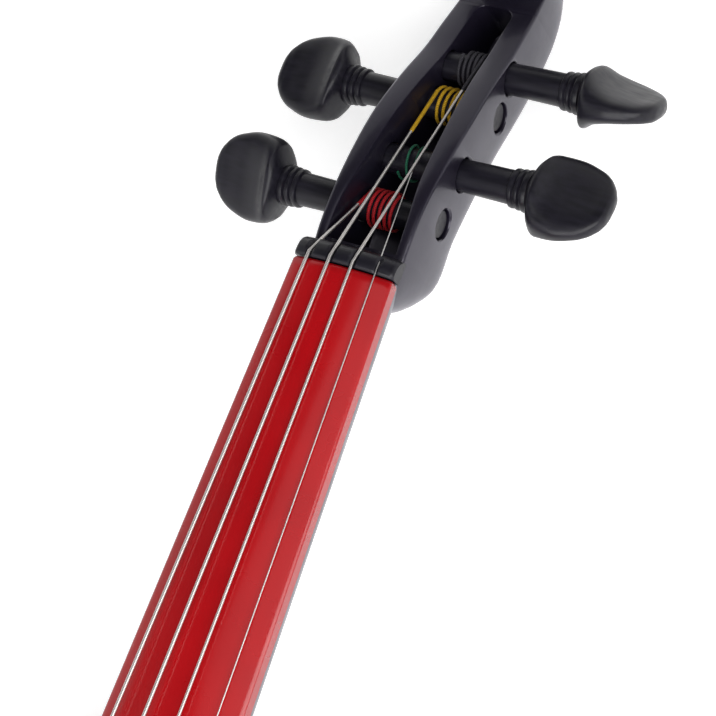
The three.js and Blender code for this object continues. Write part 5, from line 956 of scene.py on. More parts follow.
def neck_shaft_shape(sizes):
    end = mm(sizes.neck_length) - GLUE_GAP
    rings = []
    for y in steps_between(SHAFT_START, -HEEL_START, SHAFT_STEPS):
        half = board_half_width(sizes, y) - SHAFT_INSET
        rings.append(neck_ring(sizes, y, half, shaft_bottom(sizes, y), 2))
    for share in steps_between(0, 1, HEEL_STEPS)[1:]:
        y = -spread(HEEL_START, end, share)
        drop = smooth_row(HEEL_ROWS, share)[0]
        bottom = spread(shaft_bottom(sizes, y), -HEEL_DEPTH, drop)
        half = spread(board_half_width(sizes, y) - SHAFT_INSET, HEEL_HALF_WIDTH, drop)
        rings.append(neck_ring(sizes, y, half, bottom, 2 + drop))
    return lofted(rings)


def scroll_shape(sizes):
    """A volute: a rim that narrows in radius and steps outwards as it turns in to the eye."""

    def radius(t):
        return mm(sizes.scroll_radius) * SCROLL_SHRINK**t

    def wide(t):
        return spread(*SCROLL_HALF_WIDTHS, (max(t, 0) / SCROLL_TURNS) ** SCROLL_FLARE_POWER)

    def at(t, r, x):
        angle = (SCROLL_START + t) * 2 * math.pi
        return (x, SCROLL_CENTRE[0] + r * math.cos(angle), SCROLL_CENTRE[1] + r * math.sin(angle))

    shape = bmesh.new()
    edge = SCROLL_EDGE
    for side in (-1, 1):
        rows = []
        for i in range(int(SCROLL_TURNS * SCROLL_STEPS_PER_TURN) + 1):
            t = i / SCROLL_STEPS_PER_TURN
            base = 0 if t < 1 else wide(t - 1)
            w, r = wide(t), radius(t)
            inner = radius(t + 1) if t + 1 < SCROLL_TURNS else SCROLL_EYE_RADIUS
            dish = SCROLL_DISH * min(1, w - base)
            row = [
                (r, base), (r, w - edge), (r - edge * SOFT_SHARE, w - edge * SOFT_SHARE), (r - edge, w),
                (spread(r, inner, 0.3), w - dish * 0.4), (spread(r, inner, 0.6), w - dish), (inner, w - dish),
            ]
            points = [at(t, max(a, SCROLL_LEAST_RADIUS), side * b) for a, b in row]
            rows.append([shape.verts.new(point) for point in points])
        for near, far in zip(rows, rows[1:]):
            for k in range(len(near) - 1):
                face = (near[k], near[k + 1], far[k + 1], far[k])
                shape.faces.new(face if side > 0 else face[::-1])
        for row in (rows[0], rows[-1]):
            middle = shape.verts.new((side * SCROLL_SEAM, *SCROLL_CENTRE))
            tip = shape.verts.new((row[-1].co.x, *SCROLL_CENTRE))
            shape.faces.new([middle, *row, tip])
    return shape


class VIOLIN_OT_neck(bpy.types.Operator):
    """Make the neck with its pegbox, and the scroll"""

    bl_idname = "violin.neck"
    bl_label = "Neck and Scroll"

    def execute(self, context):
        sizes = context.scene.violin_neck
        place = neck_frame()
        pegbox = carved(pegbox_shape(), [peg_hole(peg) for peg in PEGS.values()])
        piece("neck_pegbox", pegbox, "black", place, "neck")
        piece("neck_shaft", neck_shaft_shape(sizes), "black", place)
        neck_end = -mm(sizes.neck_length)
        top = board_underside(sizes, neck_end - TENON_REACH) - TENON_EDGE
        half = TENON_HALF_WIDTH
        tenon = block((-half, neck_end - TENON_REACH, -TENON_DEPTH), (half, neck_end + TENON_LAP, top))
        piece("neck_tenon", softened(tenon, TENON_EDGE), "black", place)
        piece("neck_scroll", scroll_shape(sizes), "black", place)
        return {"FINISHED"}


# Fingerboard and nut

BOARD_EDGE = 0.45
BOARD_END_ROUND = 0.5
BOARD_END_SLOPE = 0.8
BOARD_TOP_STEPS = 32
BOARD_UNDER_STEPS = 12
BOARD_LENGTH_STEPS = 22
BOARD_GLUED_LENGTH = 154
BOARD_HOLLOW = 2
BOARD_HOLLOW_START = 3


class VIOLIN_OT_fingerboard(bpy.types.Operator):
    """Make the arched fingerboard with its rounded edges"""

    bl_idname = "violin.fingerboard"
    bl_label = "Fingerboard"

    def execute(self, context):
        sizes = context.scene.violin_neck
        reach = mm(sizes.board_length)
        middle = steps_between(2, reach - 2, BOARD_LENGTH_STEPS)
        places = [0, 0.25, 0.6, *middle, reach - BOARD_END_ROUND, reach]
        rings = [self.ring(sizes, y, reach) for y in places]
        piece("fingerboard_arch", lofted(rings), "red", neck_frame(), "fingerboard")
        return {"FINISHED"}

    def ring(self, sizes, y, reach):
        """One section: the arched top, the flat sides and the underside, hollow past the neck."""
        edge, radius = BOARD_EDGE, mm(sizes.board_radius)
        from_end = max(0, BOARD_END_ROUND - y) + max(0, y - reach + BOARD_END_ROUND)
        inset = from_end * BOARD_END_SLOPE
        half = board_half_width(sizes, -y) - inset
        under = board_underside(sizes, -y) + inset
        free = max(0.0, y - BOARD_GLUED_LENGTH) / (reach - BOARD_GLUED_LENGTH)
        hollow = BOARD_HOLLOW * min(1, free * BOARD_HOLLOW_START)
        ring = []
        for share in steps_between(1, -1, BOARD_TOP_STEPS):
            x = half * (1 - edge / half) * share
            ring.append((x, -y, -arch(x, radius) - inset))
        side_top = -arch(half, radius) - inset
        left = [
            (-half + edge * 0.35, -y, side_top - edge * 0.1), (-half, -y, side_top - edge * 0.55),
            (-half, -y, under + edge), (-half + edge, -y, under),
        ]
        ring += left
        for x in steps_between(-half + edge, half - edge, BOARD_UNDER_STEPS)[1:-1]:
            ring.append((x, -y, under + hollow * (1 - (x / half) ** 2)))
        return ring + mirrored(left)


# Each string: its lane across, radius, height over the board's end and its silk's radius, then its winding
# on the peg: place of the first loop, pitch, loops and the thread's radius
STRING_COLUMNS = ("lane", "radius", "height", "silk", "start", "pitch", "loops", "thread")
STRING_ROWS = {
    "g": (-1, 0.4, 5, 0.46, -6.4, 1.35, 5, 0.38),
    "d": (-1 / 3, 0.4, 4.7, 0.45, -4.1, 1.6, 4, 0.38),
    "a": (1 / 3, 0.34, 4.2, 0.4, 3.9, -1.2, 4, 0.34),
    "e": (1, 0.15, 3.7, 0.3, 1.1, -2.2, 1.75, 0.3),
}
STRINGS = {name: dict(zip(STRING_COLUMNS, row)) for name, row in STRING_ROWS.items()}
NUT_SPACING = 16.4
BRIDGE_SPACING = 34
TAILPIECE_SPACING = 29.4
NUT_REST = 0.5
NUT_CREST = 1.4
NUT_BODY_GAP = 0.3
NUT_LENGTH = 4.7
NUT_STEPS = 14
NUT_TOP_STEPS = 72
# Share of the nut's length from the fingerboard, height over the board's arch
NUT_RISE_ROWS = [(0, 0.2), (0.08, 0.62), (0.25, 0.75), (0.5, 0.56), (0.74, 0.04), (0.9, -0.79), (1, -1.65)]
NUT_END_ROUND = 0.6
NUT_END_DROP = 0.5
NUT_LEAST_HEIGHT = 0.4
NOTCH_CLEARANCE = 0.25
NOTCH_REACH = 1.6
NOTCH_UNDER = 0.08
NOTCH_FALL_START = 1.6
NOTCH_FALL = 0.45
NOTCH_WALL_RISE = 1.2


class VIOLIN_OT_nut(bpy.types.Operator):
    """Make the nut with its four string notches"""

    bl_idname = "violin.nut"
    bl_label = "Nut"

    def execute(self, context):
        sizes = context.scene.violin_neck
        half, base = mm(sizes.nut_width) / 2, board_underside(sizes, 0)
        rings = []
        for share in steps_between(0, 1, NUT_STEPS):
            y = NUT_BODY_GAP + NUT_LENGTH * share
            lift = smooth_row(NUT_RISE_ROWS, share)[0]
            ring = []
            for x in steps_between(half, -half, NUT_TOP_STEPS):
                top = self.top(x, y, lift, half, mm(sizes.board_radius))
                ring.append((x, y, max(top, base + NUT_LEAST_HEIGHT)))
            rings.append([*ring, (-half, y, base), (half, y, base)])
        piece("nut_notched", lofted(rings), "ebony", neck_frame(), "nut")
        return {"FINISHED"}

    def top(self, x, y, lift, half, radius):
        """Height of the nut's top: its arch, rounded off at the ends and notched under each string."""
        top = lift - arch(x, radius)
        top -= NUT_END_DROP * max(0, (abs(x) - half + NUT_END_ROUND) / NUT_END_ROUND) ** 2
        for string in STRINGS.values():
            at = string["lane"] * NUT_SPACING / 2
            near = abs(x - at) / (string["radius"] + NOTCH_CLEARANCE)
            if near < NOTCH_REACH:
                rest = NUT_REST - arch(at, radius) - string["radius"] - NOTCH_UNDER
                rest -= max(0, y - NOTCH_FALL_START) * NOTCH_FALL
                top = min(top, rest + NOTCH_WALL_RISE * max(0, near - 1) ** 0.5)
        return top


# Pegs

# Share of the collar's length, added radius
COLLAR_ROWS = [
    (0, 0), (0.02, 0.3), (0.06, 0.52), (0.15, 0.6), (0.24, 0.52), (0.28, 0.3), (0.31, 0.12), (0.35, 0.12),
    (0.38, 0.4), (0.42, 0.64), (0.49, 0.72), (0.56, 0.64), (0.6, 0.4), (0.63, 0.2), (0.67, 0.2), (0.7, 0.5),
    (0.74, 0.82), (0.8, 0.9), (0.9, 0.86), (1, 0.7),
]
# Share of the head's length, half-width and half-depth in millimetres, hollow of the thumb faces
SHOULDER_ROWS = [(0, 3.9, 4.3, 0), (0.054, 6, 6.1, 0), (0.118, 8.6, 6.6, 0)]
THUMB_ROWS = [
    (0.118, 8.6, 6.6, 0), (0.172, 9.5, 6, 0.03), (0.237, 9.9, 5.2, 0.07), (0.35, 10.2, 4.36, 0.13),
    (0.48, 10.2, 3.6, 0.17), (0.645, 9.4, 3.05, 0.17), (0.78, 8.3, 2.6, 0.13), (0.887, 6.5, 2.35, 0.07),
    (0.957, 4.4, 1.9, 0.02), (0.99, 2.5, 1.1, 0), (1, 0.9, 0.5, 0),
]
# The dished end of the peg
PEG_DISH_INSET = 0.55
PEG_TIP_ROUND = 0.6
HEAD_LENGTH = 18.5
HEAD_RIDGE = 0.118
HEAD_RIDGE_REACH = 0.016
HEAD_RIDGE_ROUND = 0.16
HEAD_SQUARENESS = 2.7
HEAD_STEPS = 60
HEAD_ROOT = (3, 0.4)
SHOULDER_STEPS, THUMB_STEPS = 8, 34
HOLLOW_HALF_WIDTH = 0.86
HOLLOW_POWER = 0.8
COLLAR_LENGTH = 4.6
PEG_STEPS = 56


def head_row(share):
    """Half-width, half-depth and hollow of a peg's head; its ridge is crisp, with a fine round."""
    rows = SHOULDER_ROWS if share < HEAD_RIDGE else THUMB_ROWS
    wide, deep, hollow = smooth_row(rows, share)
    near = max(0.0, 1 - abs(share - HEAD_RIDGE) / HEAD_RIDGE_REACH)
    return wide, deep - HEAD_RIDGE_ROUND * near * near, hollow


def head_shares():
    """Shares of the head's length that get a section, close together at the ridge and the tip."""
    shares = [HEAD_RIDGE * i / SHOULDER_STEPS for i in range(SHOULDER_STEPS)]
    shares += [
        HEAD_RIDGE + (1 - HEAD_RIDGE) * math.sin(QUARTER * (i / THUMB_STEPS)) for i in range(THUMB_STEPS + 1)
    ]
    half = HEAD_RIDGE_REACH / 2
    return sorted([*shares, HEAD_RIDGE - half, HEAD_RIDGE + half, HEAD_RIDGE + HEAD_RIDGE_REACH])


def peg_shape(peg):
    tip, head = peg_tip(peg), peg["reach"] - HEAD_LENGTH
    dish = PEG_TIP_RADIUS - PEG_DISH_INSET
    profile = [
        (0, tip + 0.22), (dish * 0.6, tip + 0.14), (dish, tip), (dish + 0.3, tip), (dish + 0.48, tip + 0.16),
        (peg_radius(peg, tip + PEG_TIP_ROUND), tip + PEG_TIP_ROUND),
    ]
    for share, bead in COLLAR_ROWS:
        place = head + (share - 1) * COLLAR_LENGTH
        profile.append((peg_radius(peg, place) + bead, place))
    radius, depth = HEAD_ROOT
    profile += [(radius, head + depth), (0, head + depth)]
    shape = turned(profile, steps=PEG_STEPS)
    turn = Matrix.Rotation(math.radians(peg["turn"]), 3, "Z")
    rings = []
    for share in head_shares():
        wide, deep, hollow = head_row(share)
        ring = []
        for i in range(HEAD_STEPS):
            across, thick = squared(2 * math.pi * i / HEAD_STEPS, HEAD_SQUARENESS)
            thick *= 1 - hollow * max(0, 1 - (across / HOLLOW_HALF_WIDTH) ** 2) ** HOLLOW_POWER
            flat = turn @ Vector((thick * deep, across * wide, 0))
            ring.append((flat.x, flat.y, head + share * HEAD_LENGTH))
        rings.append(ring)
    return lofted(rings, shape)


class VIOLIN_OT_pegs(bpy.types.Operator):
    """Make the four turned pegs with their hollowed heads"""

    bl_idname = "violin.pegs"
    bl_label = "Pegs"

    def execute(self, context):
        for name, peg in PEGS.items():
            node = f"peg_{name}"
            piece(f"{node}_turned", peg_shape(peg), "ebony", neck_frame() @ peg_place(peg), node, node)
        return {"FINISHED"}


# Strings and windings

WINDING_CLEARANCE = 0.2
WINDING_STEPS_PER_LOOP = 48
SILK_SIDES = 14
BALL_ALONG = 8
BALL_HEIGHT = 2
TAILPIECE_ARCH = 34
# Radius, place across: a string's ball end, bored through
BALL_ROWS = [(0.45, -1.5), (1.15, -1.5), (1.4, -1.2), (1.4, 1.2), (1.15, 1.5), (0.45, 1.5)]
# Length of silk before the winding, and length of silk from the ball on
SILK_AT_HEAD = {"g": 4.5, "d": 13, "a": 9, "e": 3}
SILK_AT_BALL = {"g": 42, "d": 42, "a": 42, "e": 30}
SILK_LAP = 0.8


def string_lane(name, spacing):
    return STRINGS[name]["lane"] * spacing / 2


def tail_lane(name):
    return string_lane(name, TAILPIECE_SPACING)


def head_route(name):
    """Where a string crosses the nut and touches its winding, with the winding's radius and first angle."""
    radius_of_board = mm(bpy.context.scene.violin_neck.board_radius)
    peg, string = PEGS[name], STRINGS[name]
    x = string_lane(name, NUT_SPACING)
    crest = Vector((x, NUT_CREST, NUT_REST - arch(x, radius_of_board)))
    radius = peg_radius(peg, peg["side"] * string["start"]) + WINDING_CLEARANCE + string["thread"]
    run = math.hypot(peg["along"] - crest.y, crest.z + peg["depth"])
    towards = math.atan2(crest.z + peg["depth"], crest.y - peg["along"])
    angle = towards - math.acos(radius / run)
    return crest, on_peg(name, string["start"], radius, angle), radius, angle


def on_peg(name, x, radius, angle):
    """A point round a string's peg."""
    peg = PEGS[name]
    return Vector((x, peg["along"] + radius * math.cos(angle), -peg["depth"] + radius * math.sin(angle)))


def bridge_height(name):
    """Height of a string over the board's centre line at the bridge."""
    sizes = bpy.context.scene.violin_neck
    rise = (STRINGS[name]["height"] - NUT_REST) * mm(sizes.string_length) / mm(sizes.board_length)
    return NUT_REST + rise - arch(string_lane(name, BRIDGE_SPACING), mm(sizes.board_radius))


def bridge_point(name):
    reach = mm(bpy.context.scene.violin_neck.string_length)
    return to_whole(neck_frame(), (string_lane(name, BRIDGE_SPACING), -reach, bridge_height(name)))


def ball_point(name):
    x = tail_lane(name)
    return to_whole(tail_frame(), (x, -BALL_ALONG, BALL_HEIGHT - arch(x, TAILPIECE_ARCH)))


def winding_points(name):
    """A string's path round its peg, with a short stub at either end."""
    crest, touch, radius, angle = head_route(name)
    string = STRINGS[name]
    stub = 2 * string["thread"]
    points = [touch - (touch - crest).normalized() * stub]
    for i in range(round(string["loops"] * WINDING_STEPS_PER_LOOP) + 1):
        loops = i / WINDING_STEPS_PER_LOOP
        here = angle - loops * 2 * math.pi
        points.append(on_peg(name, string["start"] + string["pitch"] * loops, radius, here))
    leaving = (points[-1] - points[-2]).normalized()
    return [*points, points[-1] + leaving * stub]


class VIOLIN_OT_windings(bpy.types.Operator):
    """Wind each string's silk end round its peg"""

    bl_idname = "violin.windings"
    bl_label = "String Windings"

    def execute(self, context):
        for name, string in STRINGS.items():
            cord(
                f"winding_{name}_silk", winding_points(name), string["thread"], f"silk_{name}", neck_frame(),
                SILK_SIDES, f"winding_{name}", f"peg_{name}",
            )
        return {"FINISHED"}


def even_path(points, gap):
    """The same path with a point at least every gap millimetres."""
    result = [Vector(points[0])]
    for near, far in zip(points, points[1:]):
        near, far = Vector(near), Vector(far)
        count = max(1, math.ceil((far - near).length / gap))
        result += [near.lerp(far, i / count) for i in range(1, count + 1)]
    return result


class VIOLIN_OT_strings(bpy.types.Operator):
    """String the violin from the tailpiece over bridge and nut to the pegs"""

    bl_idname = "violin.strings"
    bl_label = "Strings"

    def execute(self, context):
        for name, string in STRINGS.items():
            crest, touch = head_route(name)[:2]
            ball, over = ball_point(name), bridge_point(name)
            nut, behind = to_whole(neck_frame(), crest), to_whole(neck_frame(), touch)
            direction = (behind - nut).normalized()
            bare_end = behind - direction * SILK_AT_HEAD[name]
            tail = (over - ball).normalized()
            silk_end = ball + tail * SILK_AT_BALL[name]
            route = even_path([silk_end, over, nut, bare_end], 6)
            metal = "wire" if name == "e" else "wound"
            cord(f"string_{name}_metal", route, string["radius"], metal, node=f"string_{name}")
            head_silk = [bare_end - direction * SILK_LAP, behind]
            tail_silk = even_path([ball, silk_end + tail * SILK_LAP], 4)
            for end, silk_route in (("head", head_silk), ("tail", tail_silk)):
                cord(
                    f"string_{name}_{end}_silk", silk_route, string["silk"], f"silk_{name}", sides=SILK_SIDES
                )
            bead = turned(BALL_ROWS, ACROSS, ball, 28)
            piece(f"string_{name}_ball", bead, "nickel")
        return {"FINISHED"}


# Bridge and pickup

# Across as a share of half the foot, up as a share of the height
BRIDGE_OUTER = [
    (1, 0), (1, 0.05), (0.84, 0.1), (0.76, 0.2), (0.84, 0.33), (0.94, 0.4), (0.88, 0.46), (0.7, 0.46),
    (0.62, 0.53), (0.68, 0.6), (0.84, 0.6), (0.98, 0.64), (0.97, 0.76),
]
BRIDGE_INNER = [(0, 0.3), (0.2, 0.27), (0.32, 0.18), (0.42, 0.07), (0.46, 0)]
BRIDGE_HEART = [(0, 0.5), (0.14, 0.58), (0.15, 0.66), (0.07, 0.69), (0, 0.66)]
BRIDGE_HALF_FOOT = 20.5
BRIDGE_BASE = 47.35
BRIDGE_DEPTHS = (4.4, 1.6)
BRIDGE_EDGE = 0.12
BRIDGE_TOP_STEPS = 24
STRING_CLEARANCE = 0.3


def crown(x):
    """Height of the bridge's top edge, just under the strings."""
    points = {name: bridge_point(name) for name in STRINGS}
    z = {name: point.z - STRINGS[name]["radius"] - STRING_CLEARANCE for name, point in points.items()}
    outer, inner = points["e"].x, points["a"].x
    share = (x * x - inner * inner) / (outer * outer - inner * inner)
    tilt = (z["e"] - z["g"]) / (points["e"].x - points["g"].x)
    return spread((z["d"] + z["a"]) / 2, (z["g"] + z["e"]) / 2, share) + tilt * x


def filled(outlines, half_depth, edge):
    """A plate with holes from closed outlines, its edges rounded, as a bmesh round the plane z = 0."""
    data = bpy.data.curves.new("plate", "CURVE")
    data.dimensions = "2D"
    data.fill_mode = "BOTH"
    data.extrude = half_depth - edge
    data.bevel_depth = edge
    data.bevel_resolution = 2
    data.offset = -edge
    for outline in outlines:
        spline = data.splines.new("POLY")
        spline.points.add(len(outline) - 1)
        for point, (x, y) in zip(spline.points, outline):
            point.co = (x, y, 0, 1)
        spline.use_cyclic_u = True
    made = linked("plate", data)
    graph = bpy.context.evaluated_depsgraph_get()
    mesh = bpy.data.meshes.new_from_object(made.evaluated_get(graph), depsgraph=graph)
    shape = bmesh.new()
    shape.from_mesh(mesh)
    bpy.data.objects.remove(made)
    bmesh.ops.remove_doubles(shape, verts=shape.verts, dist=PLATE_DOUBLES_GAP)
    return shape


class VIOLIN_OT_bridge(bpy.types.Operator):
    """Make the carved bridge and its pickup"""

    bl_idname = "violin.bridge"
    bl_label = "Bridge and Pickup"

    def execute(self, context):
        sizes = context.scene.violin_neck
        station = NUT_PLACE.y - mm(sizes.string_length) * math.cos(sizes.pitch)
        height = crown(0) - BRIDGE_BASE
        outer, inner, heart = (
            [tuple(p) for p in spline_through([(x * BRIDGE_HALF_FOOT, z * height) for x, z in rows], 4)]
            for rows in (BRIDGE_OUTER, BRIDGE_INNER, BRIDGE_HEART)
        )
        shoulder = outer[-1][0]
        top = [(x, crown(x) - BRIDGE_BASE) for x in steps_between(shoulder, -shoulder, BRIDGE_TOP_STEPS)]
        loop = [*outer, *top[1:-1], *mirrored(outer), *mirrored(inner), *inner[1:]]
        shape = filled([loop, [*heart, *mirrored(heart[1:-1])]], 1, BRIDGE_EDGE)
        for vertex in shape.verts:
            share = min(1, max(0, vertex.co.y / height))
            vertex.co.z *= spread(*BRIDGE_DEPTHS, share) / 2
        place = Matrix.Translation((0, station, BRIDGE_BASE)) @ Matrix.Rotation(QUARTER, 4, "X")
        piece("bridge_carved", shape, "maple", WHOLE @ place, "bridge")
        piece("bridge_pickup_bar", of_node("bridge_pickup", 0.6), "plastic", node="bridge_pickup")
        return {"FINISHED"}


# The body: core, rails and what is cut into them

# Along and across as shares of half the length and half the width
CORE_ROWS = [
    (-1, 0.7), (-0.955, 0.86), (-0.86, 0.97), (-0.7, 1), (-0.52, 0.96), (-0.34, 0.84), (-0.1, 0.74),
    (0.2, 0.66), (0.55, 0.62), (0.85, 0.64), (0.955, 0.62), (1, 0.5),
]
# Across and along as shares, from the shoulder round to the tail
RAIL_ROWS = [
    (0.1, 0.93), (0.36, 0.925), (0.62, 0.86), (0.79, 0.7), (0.79, 0.55), (0.68, 0.38), (0.56, 0.22),
    (0.535, 0.08), (0.6, -0.1), (0.78, -0.26), (0.95, -0.42), (1, -0.58), (0.95, -0.75), (0.76, -0.88),
    (0.46, -0.945), (0.12, -0.95),
]
CORE_EDGE_STEPS = 8
BAY = {"half": 32, "start": -156, "end": -80, "ceiling": 37}
BATTERY_BAY = {"half": 16, "start": -70, "end": -9, "ceiling": 24}
TAIL_FACE = -178
CORE_TOP = 44
CONTROL_X = 25.5
KNOB_PLACES = {"volume": -140, "tone": -120}
SWITCH_PLACE = -100
LED_PLACE = -88
SOCKET_X = 21
SOCKET_HEIGHT = 27
BUTTON_HEIGHT = 24
SCREW_PLACES = [(-35.5, -118.75), (35.5, -118.75)]
LEAD_HOLE = (19, -93)
# Across, up, how far in and radius of the holes in the tail: output, headphones and end button
TAIL_HOLES = [
    (SOCKET_X, SOCKET_HEIGHT, -148, 5.8), (-SOCKET_X, SOCKET_HEIGHT, -152, 4.3),
    (0, BUTTON_HEIGHT, -160.7, 3.8),
]
HINGE_PLACE = (0, -68, 2)
# Half-length and radius of the hole for the door's pins
HINGE_HOLE = (21.7, 1.1)
# Opposite corners, the mortise's in the neck's frame
MORTISE = ((-10.8, -154.3, -43.3), (10.8, -126, 1))
SADDLE_SEAT = ((-17.3, -180, 40), (17.3, -169.7, 46))
# Ends and radius of the hole from the battery's bay to the electronics'
CABLE_HOLE = ((14.6, -81, 12.75), (14.6, -69, 12.75), 1.2)
# Between these heights the holes in the top are cut
TOP_CUT = (36, 46)
LEAD_HOLE_RADIUS, LED_HOLE_RADIUS, KNOB_HOLE_RADIUS = 1.5, 1.8, 3.7
SWITCH_HOLE = (2.5, 5.1)
SCREW_HOLE_TOP, SCREW_HOLE_RADIUS = 11.6, 1.6
DOOR_MARGIN = 3.3

RAIL_EDGE = 2.5
RAIL_STEPS = 9
RAIL_CORE_OVERLAP = 1.0
PAD_SPAN = (28.4, 49)
PAD_MIDDLE = (13.35, 23)
PAD_HALF_SIZES = (13, 7.2)
PAD_FLARE = 2.2
PAD_EDGE = 2.2
PAD_STEPS = 16


def core_outline(sizes, inset=0.0):
    """The core's outline seen from the front, moved in by the inset."""
    half_length, half_width = mm(sizes.body_length) / 2, mm(sizes.core_half_width)
    side = spline_through([(x * half_width, y * half_length, 0) for y, x in CORE_ROWS], 6)
    loop = [Vector(point) for point in (*side, *mirrored(side))]
    moved = []
    for i, here in enumerate(loop):
        along = loop[(i + 1) % len(loop)] - loop[i - 1]
        out = Vector((along.y, -along.x, 0)).normalized()
        moved.append((here.x - out.x * inset, here.y - out.y * inset))
    return moved


def bay_block(bay, low, high, side=0, front=0, back=0):
    """A block over a bay, larger by its margins at the sides and at either end."""
    half = bay["half"] + side
    return block((-half, bay["start"] - front, low), (half, bay["end"] + back, high))


def top_hole(x, y, radius):
    low, high = TOP_CUT
    return rod((x, y, low), (x, y, high), radius)


def body_cutters():
    """Everything that is taken out of the core: bays, rebates, seats and holes."""
    bay, cell = BAY, BATTERY_BAY
    mortise = block(*MORTISE)
    bmesh.ops.transform(mortise, matrix=WHOLE.inverted() @ neck_frame(), verts=mortise.verts)
    # Each starts a little lower than the last, so that no two share a plane
    bays = [
        bay_block(bay, -1, bay["ceiling"]),
        bay_block(bay, -1.1, 18, 3, 3, 3),
        bay_block(bay, -1.2, 2.6, 6.3, 6.3, 4.8),
        bay_block(cell, -1, cell["ceiling"]),
        bay_block(cell, -1.1, 2.6, DOOR_MARGIN, 1, DOOR_MARGIN),
    ]
    finger_notch = block((-5, cell["end"] + 2, -1.2), (5, cell["end"] + 6, 2))
    side = cell["half"] + DOOR_MARGIN
    hinge_room = block((-side, cell["start"] - 0.3, -1.3), (side, cell["start"] + 4, 4))
    reach, radius = HINGE_HOLE
    hinge_hole = rod((-reach, *HINGE_PLACE[1:]), (reach, *HINGE_PLACE[1:]), radius)
    tail_holes = [rod((x, TAIL_FACE - 3, z), (x, end, z), r) for x, z, end, r in TAIL_HOLES]
    return [
        mortise, block(*SADDLE_SEAT), *bays, finger_notch, hinge_room, hinge_hole, *tail_holes,
        top_hole(*LEAD_HOLE, LEAD_HOLE_RADIUS),
        rod(*CABLE_HOLE),
        top_hole(CONTROL_X, LED_PLACE, LED_HOLE_RADIUS),
        centred(CONTROL_X, SWITCH_PLACE, *SWITCH_HOLE, *TOP_CUT),
        *[top_hole(CONTROL_X, y, KNOB_HOLE_RADIUS) for y in KNOB_PLACES.values()],
        *[rod((x, y, -2), (x, y, SCREW_HOLE_TOP), SCREW_HOLE_RADIUS) for x, y in SCREW_PLACES],
    ]


class VIOLIN_OT_core(bpy.types.Operator):
    """Make the lacquered core with its bays, seats and holes"""

    bl_idname = "violin.core"
    bl_label = "Core"

    def execute(self, context):
        sizes = context.scene.violin_body
        depth, edge = mm(sizes.core_depth), mm(sizes.core_edge)
        rings = []
        for angle in steps_between(QUARTER, 0, CORE_EDGE_STEPS):
            outline = core_outline(sizes, edge * (1 - math.cos(angle)))
            rings.append([(x, y, edge - edge * math.sin(angle)) for x, y in outline])
        rings += [[(x, y, depth - z) for x, y, z in ring] for ring in reversed(rings)]
        shape = carved(lofted(rings), body_cutters(), "MANIFOLD")
        piece("core_lacquered", shape, "red", node="core")
        return {"FINISHED"}


class VIOLIN_OT_rails(bpy.types.Operator):
    """Bend the two side rails round the violin's outline"""

    bl_idname = "violin.rails"
    bl_label = "Side Rails"

    def execute(self, context):
        sizes = context.scene.violin_body
        half, reach, base = mm(sizes.lower_bout) / 2, mm(sizes.body_length) / 2, mm(sizes.rail_base)
        section = rounded_box((0, 0), (mm(sizes.rail_width), mm(sizes.rail_depth)), RAIL_EDGE, 5)
        for name, side in (("bass", -1), ("treble", 1)):
            path = spline_through([(x * half * side, y * reach, 0) for x, y in RAIL_ROWS], RAIL_STEPS)
            rings = []
            for i, here in enumerate(path):
                along = path[min(i + 1, len(path) - 1)] - path[max(i - 1, 0)]
                inward = Vector((along.y, -along.x, 0)).normalized() * side
                rings.append([(here.x + inward.x * a, here.y + inward.y * a, base + b) for a, b in section])
            core = prism(core_outline(sizes, RAIL_CORE_OVERLAP), -5, 60)
            piece(f"{name}_rail_bent", carved(lofted(rings), [core]), "red", node=f"{name}_rail")
            piece(f"{name}_rail_pad", self.pad(side), "red")
        return {"FINISHED"}

    def pad(self, side):
        """The waist block between core and rail, flared where it meets them."""
        rings = []
        (y, z), (wide, deep) = PAD_MIDDLE, PAD_HALF_SIZES
        for share in steps_between(0, 1, PAD_STEPS):
            flare = PAD_FLARE * abs(2 * share - 1) ** 3
            a, b = wide + flare, deep + flare / 2
            x = side * spread(*PAD_SPAN, share)
            rings.append([(x, *point) for point in rounded_box((y - a, z - b), (y + a, z + b), PAD_EDGE, 4)])
        return lofted(rings)


# Tailpiece with its fine tuners, in its own frame: set out from the middle of its front edge

TAILPIECE_LENGTH = 102
TAILPIECE_HALF_WIDTHS = (21, 10.5)
TAILPIECE_EDGE = 0.7
TAILPIECE_THICKNESS = 2.6
# Length of the rounding at the plate's front and back corners, and how far it comes in
TAILPIECE_FRONT_ROUND, TAILPIECE_BACK_ROUND = (3, 1.5), (4, 1.8)
TAILPIECE_END_ROUND = 0.6
TAILPIECE_END_SLOPE = 0.8
TAILPIECE_PLACES = [
    0, 0.25, 0.7, 1.6, 3, *steps_between(5, 97, 24), 99, 100.4, 101.3, 101.75, TAILPIECE_LENGTH,
]
GUT_LANE = 5
GUT_HEIGHT = -arch(GUT_LANE, TAILPIECE_ARCH) - 1.8
SCREW_ALONG = 24
PIVOT_ALONG = 11
PIVOT_DEPTH = 10.6
LEVER_HUB = 2.4
LEVER_BACK = -6.1
LEVER_FRONT = -4.1
LEVER_TAIL = -25.5
FERRULE_ROWS = [(1.85, -0.6), (3.2, -0.6), (3.2, 0.15), (2.9, 0.45), (2.1, 0.45), (1.85, 0.2)]
TUNER_KNOB_ROWS = [
    (0, 0), (3.2, 0), (3.7, 0.3), (3.95, 0.7), (3.95, 4.2), (3.75, 4.55), (3.2, 4.75), (2.2, 4.7),
    (1.6, 4.62), (0, 4.6),
]


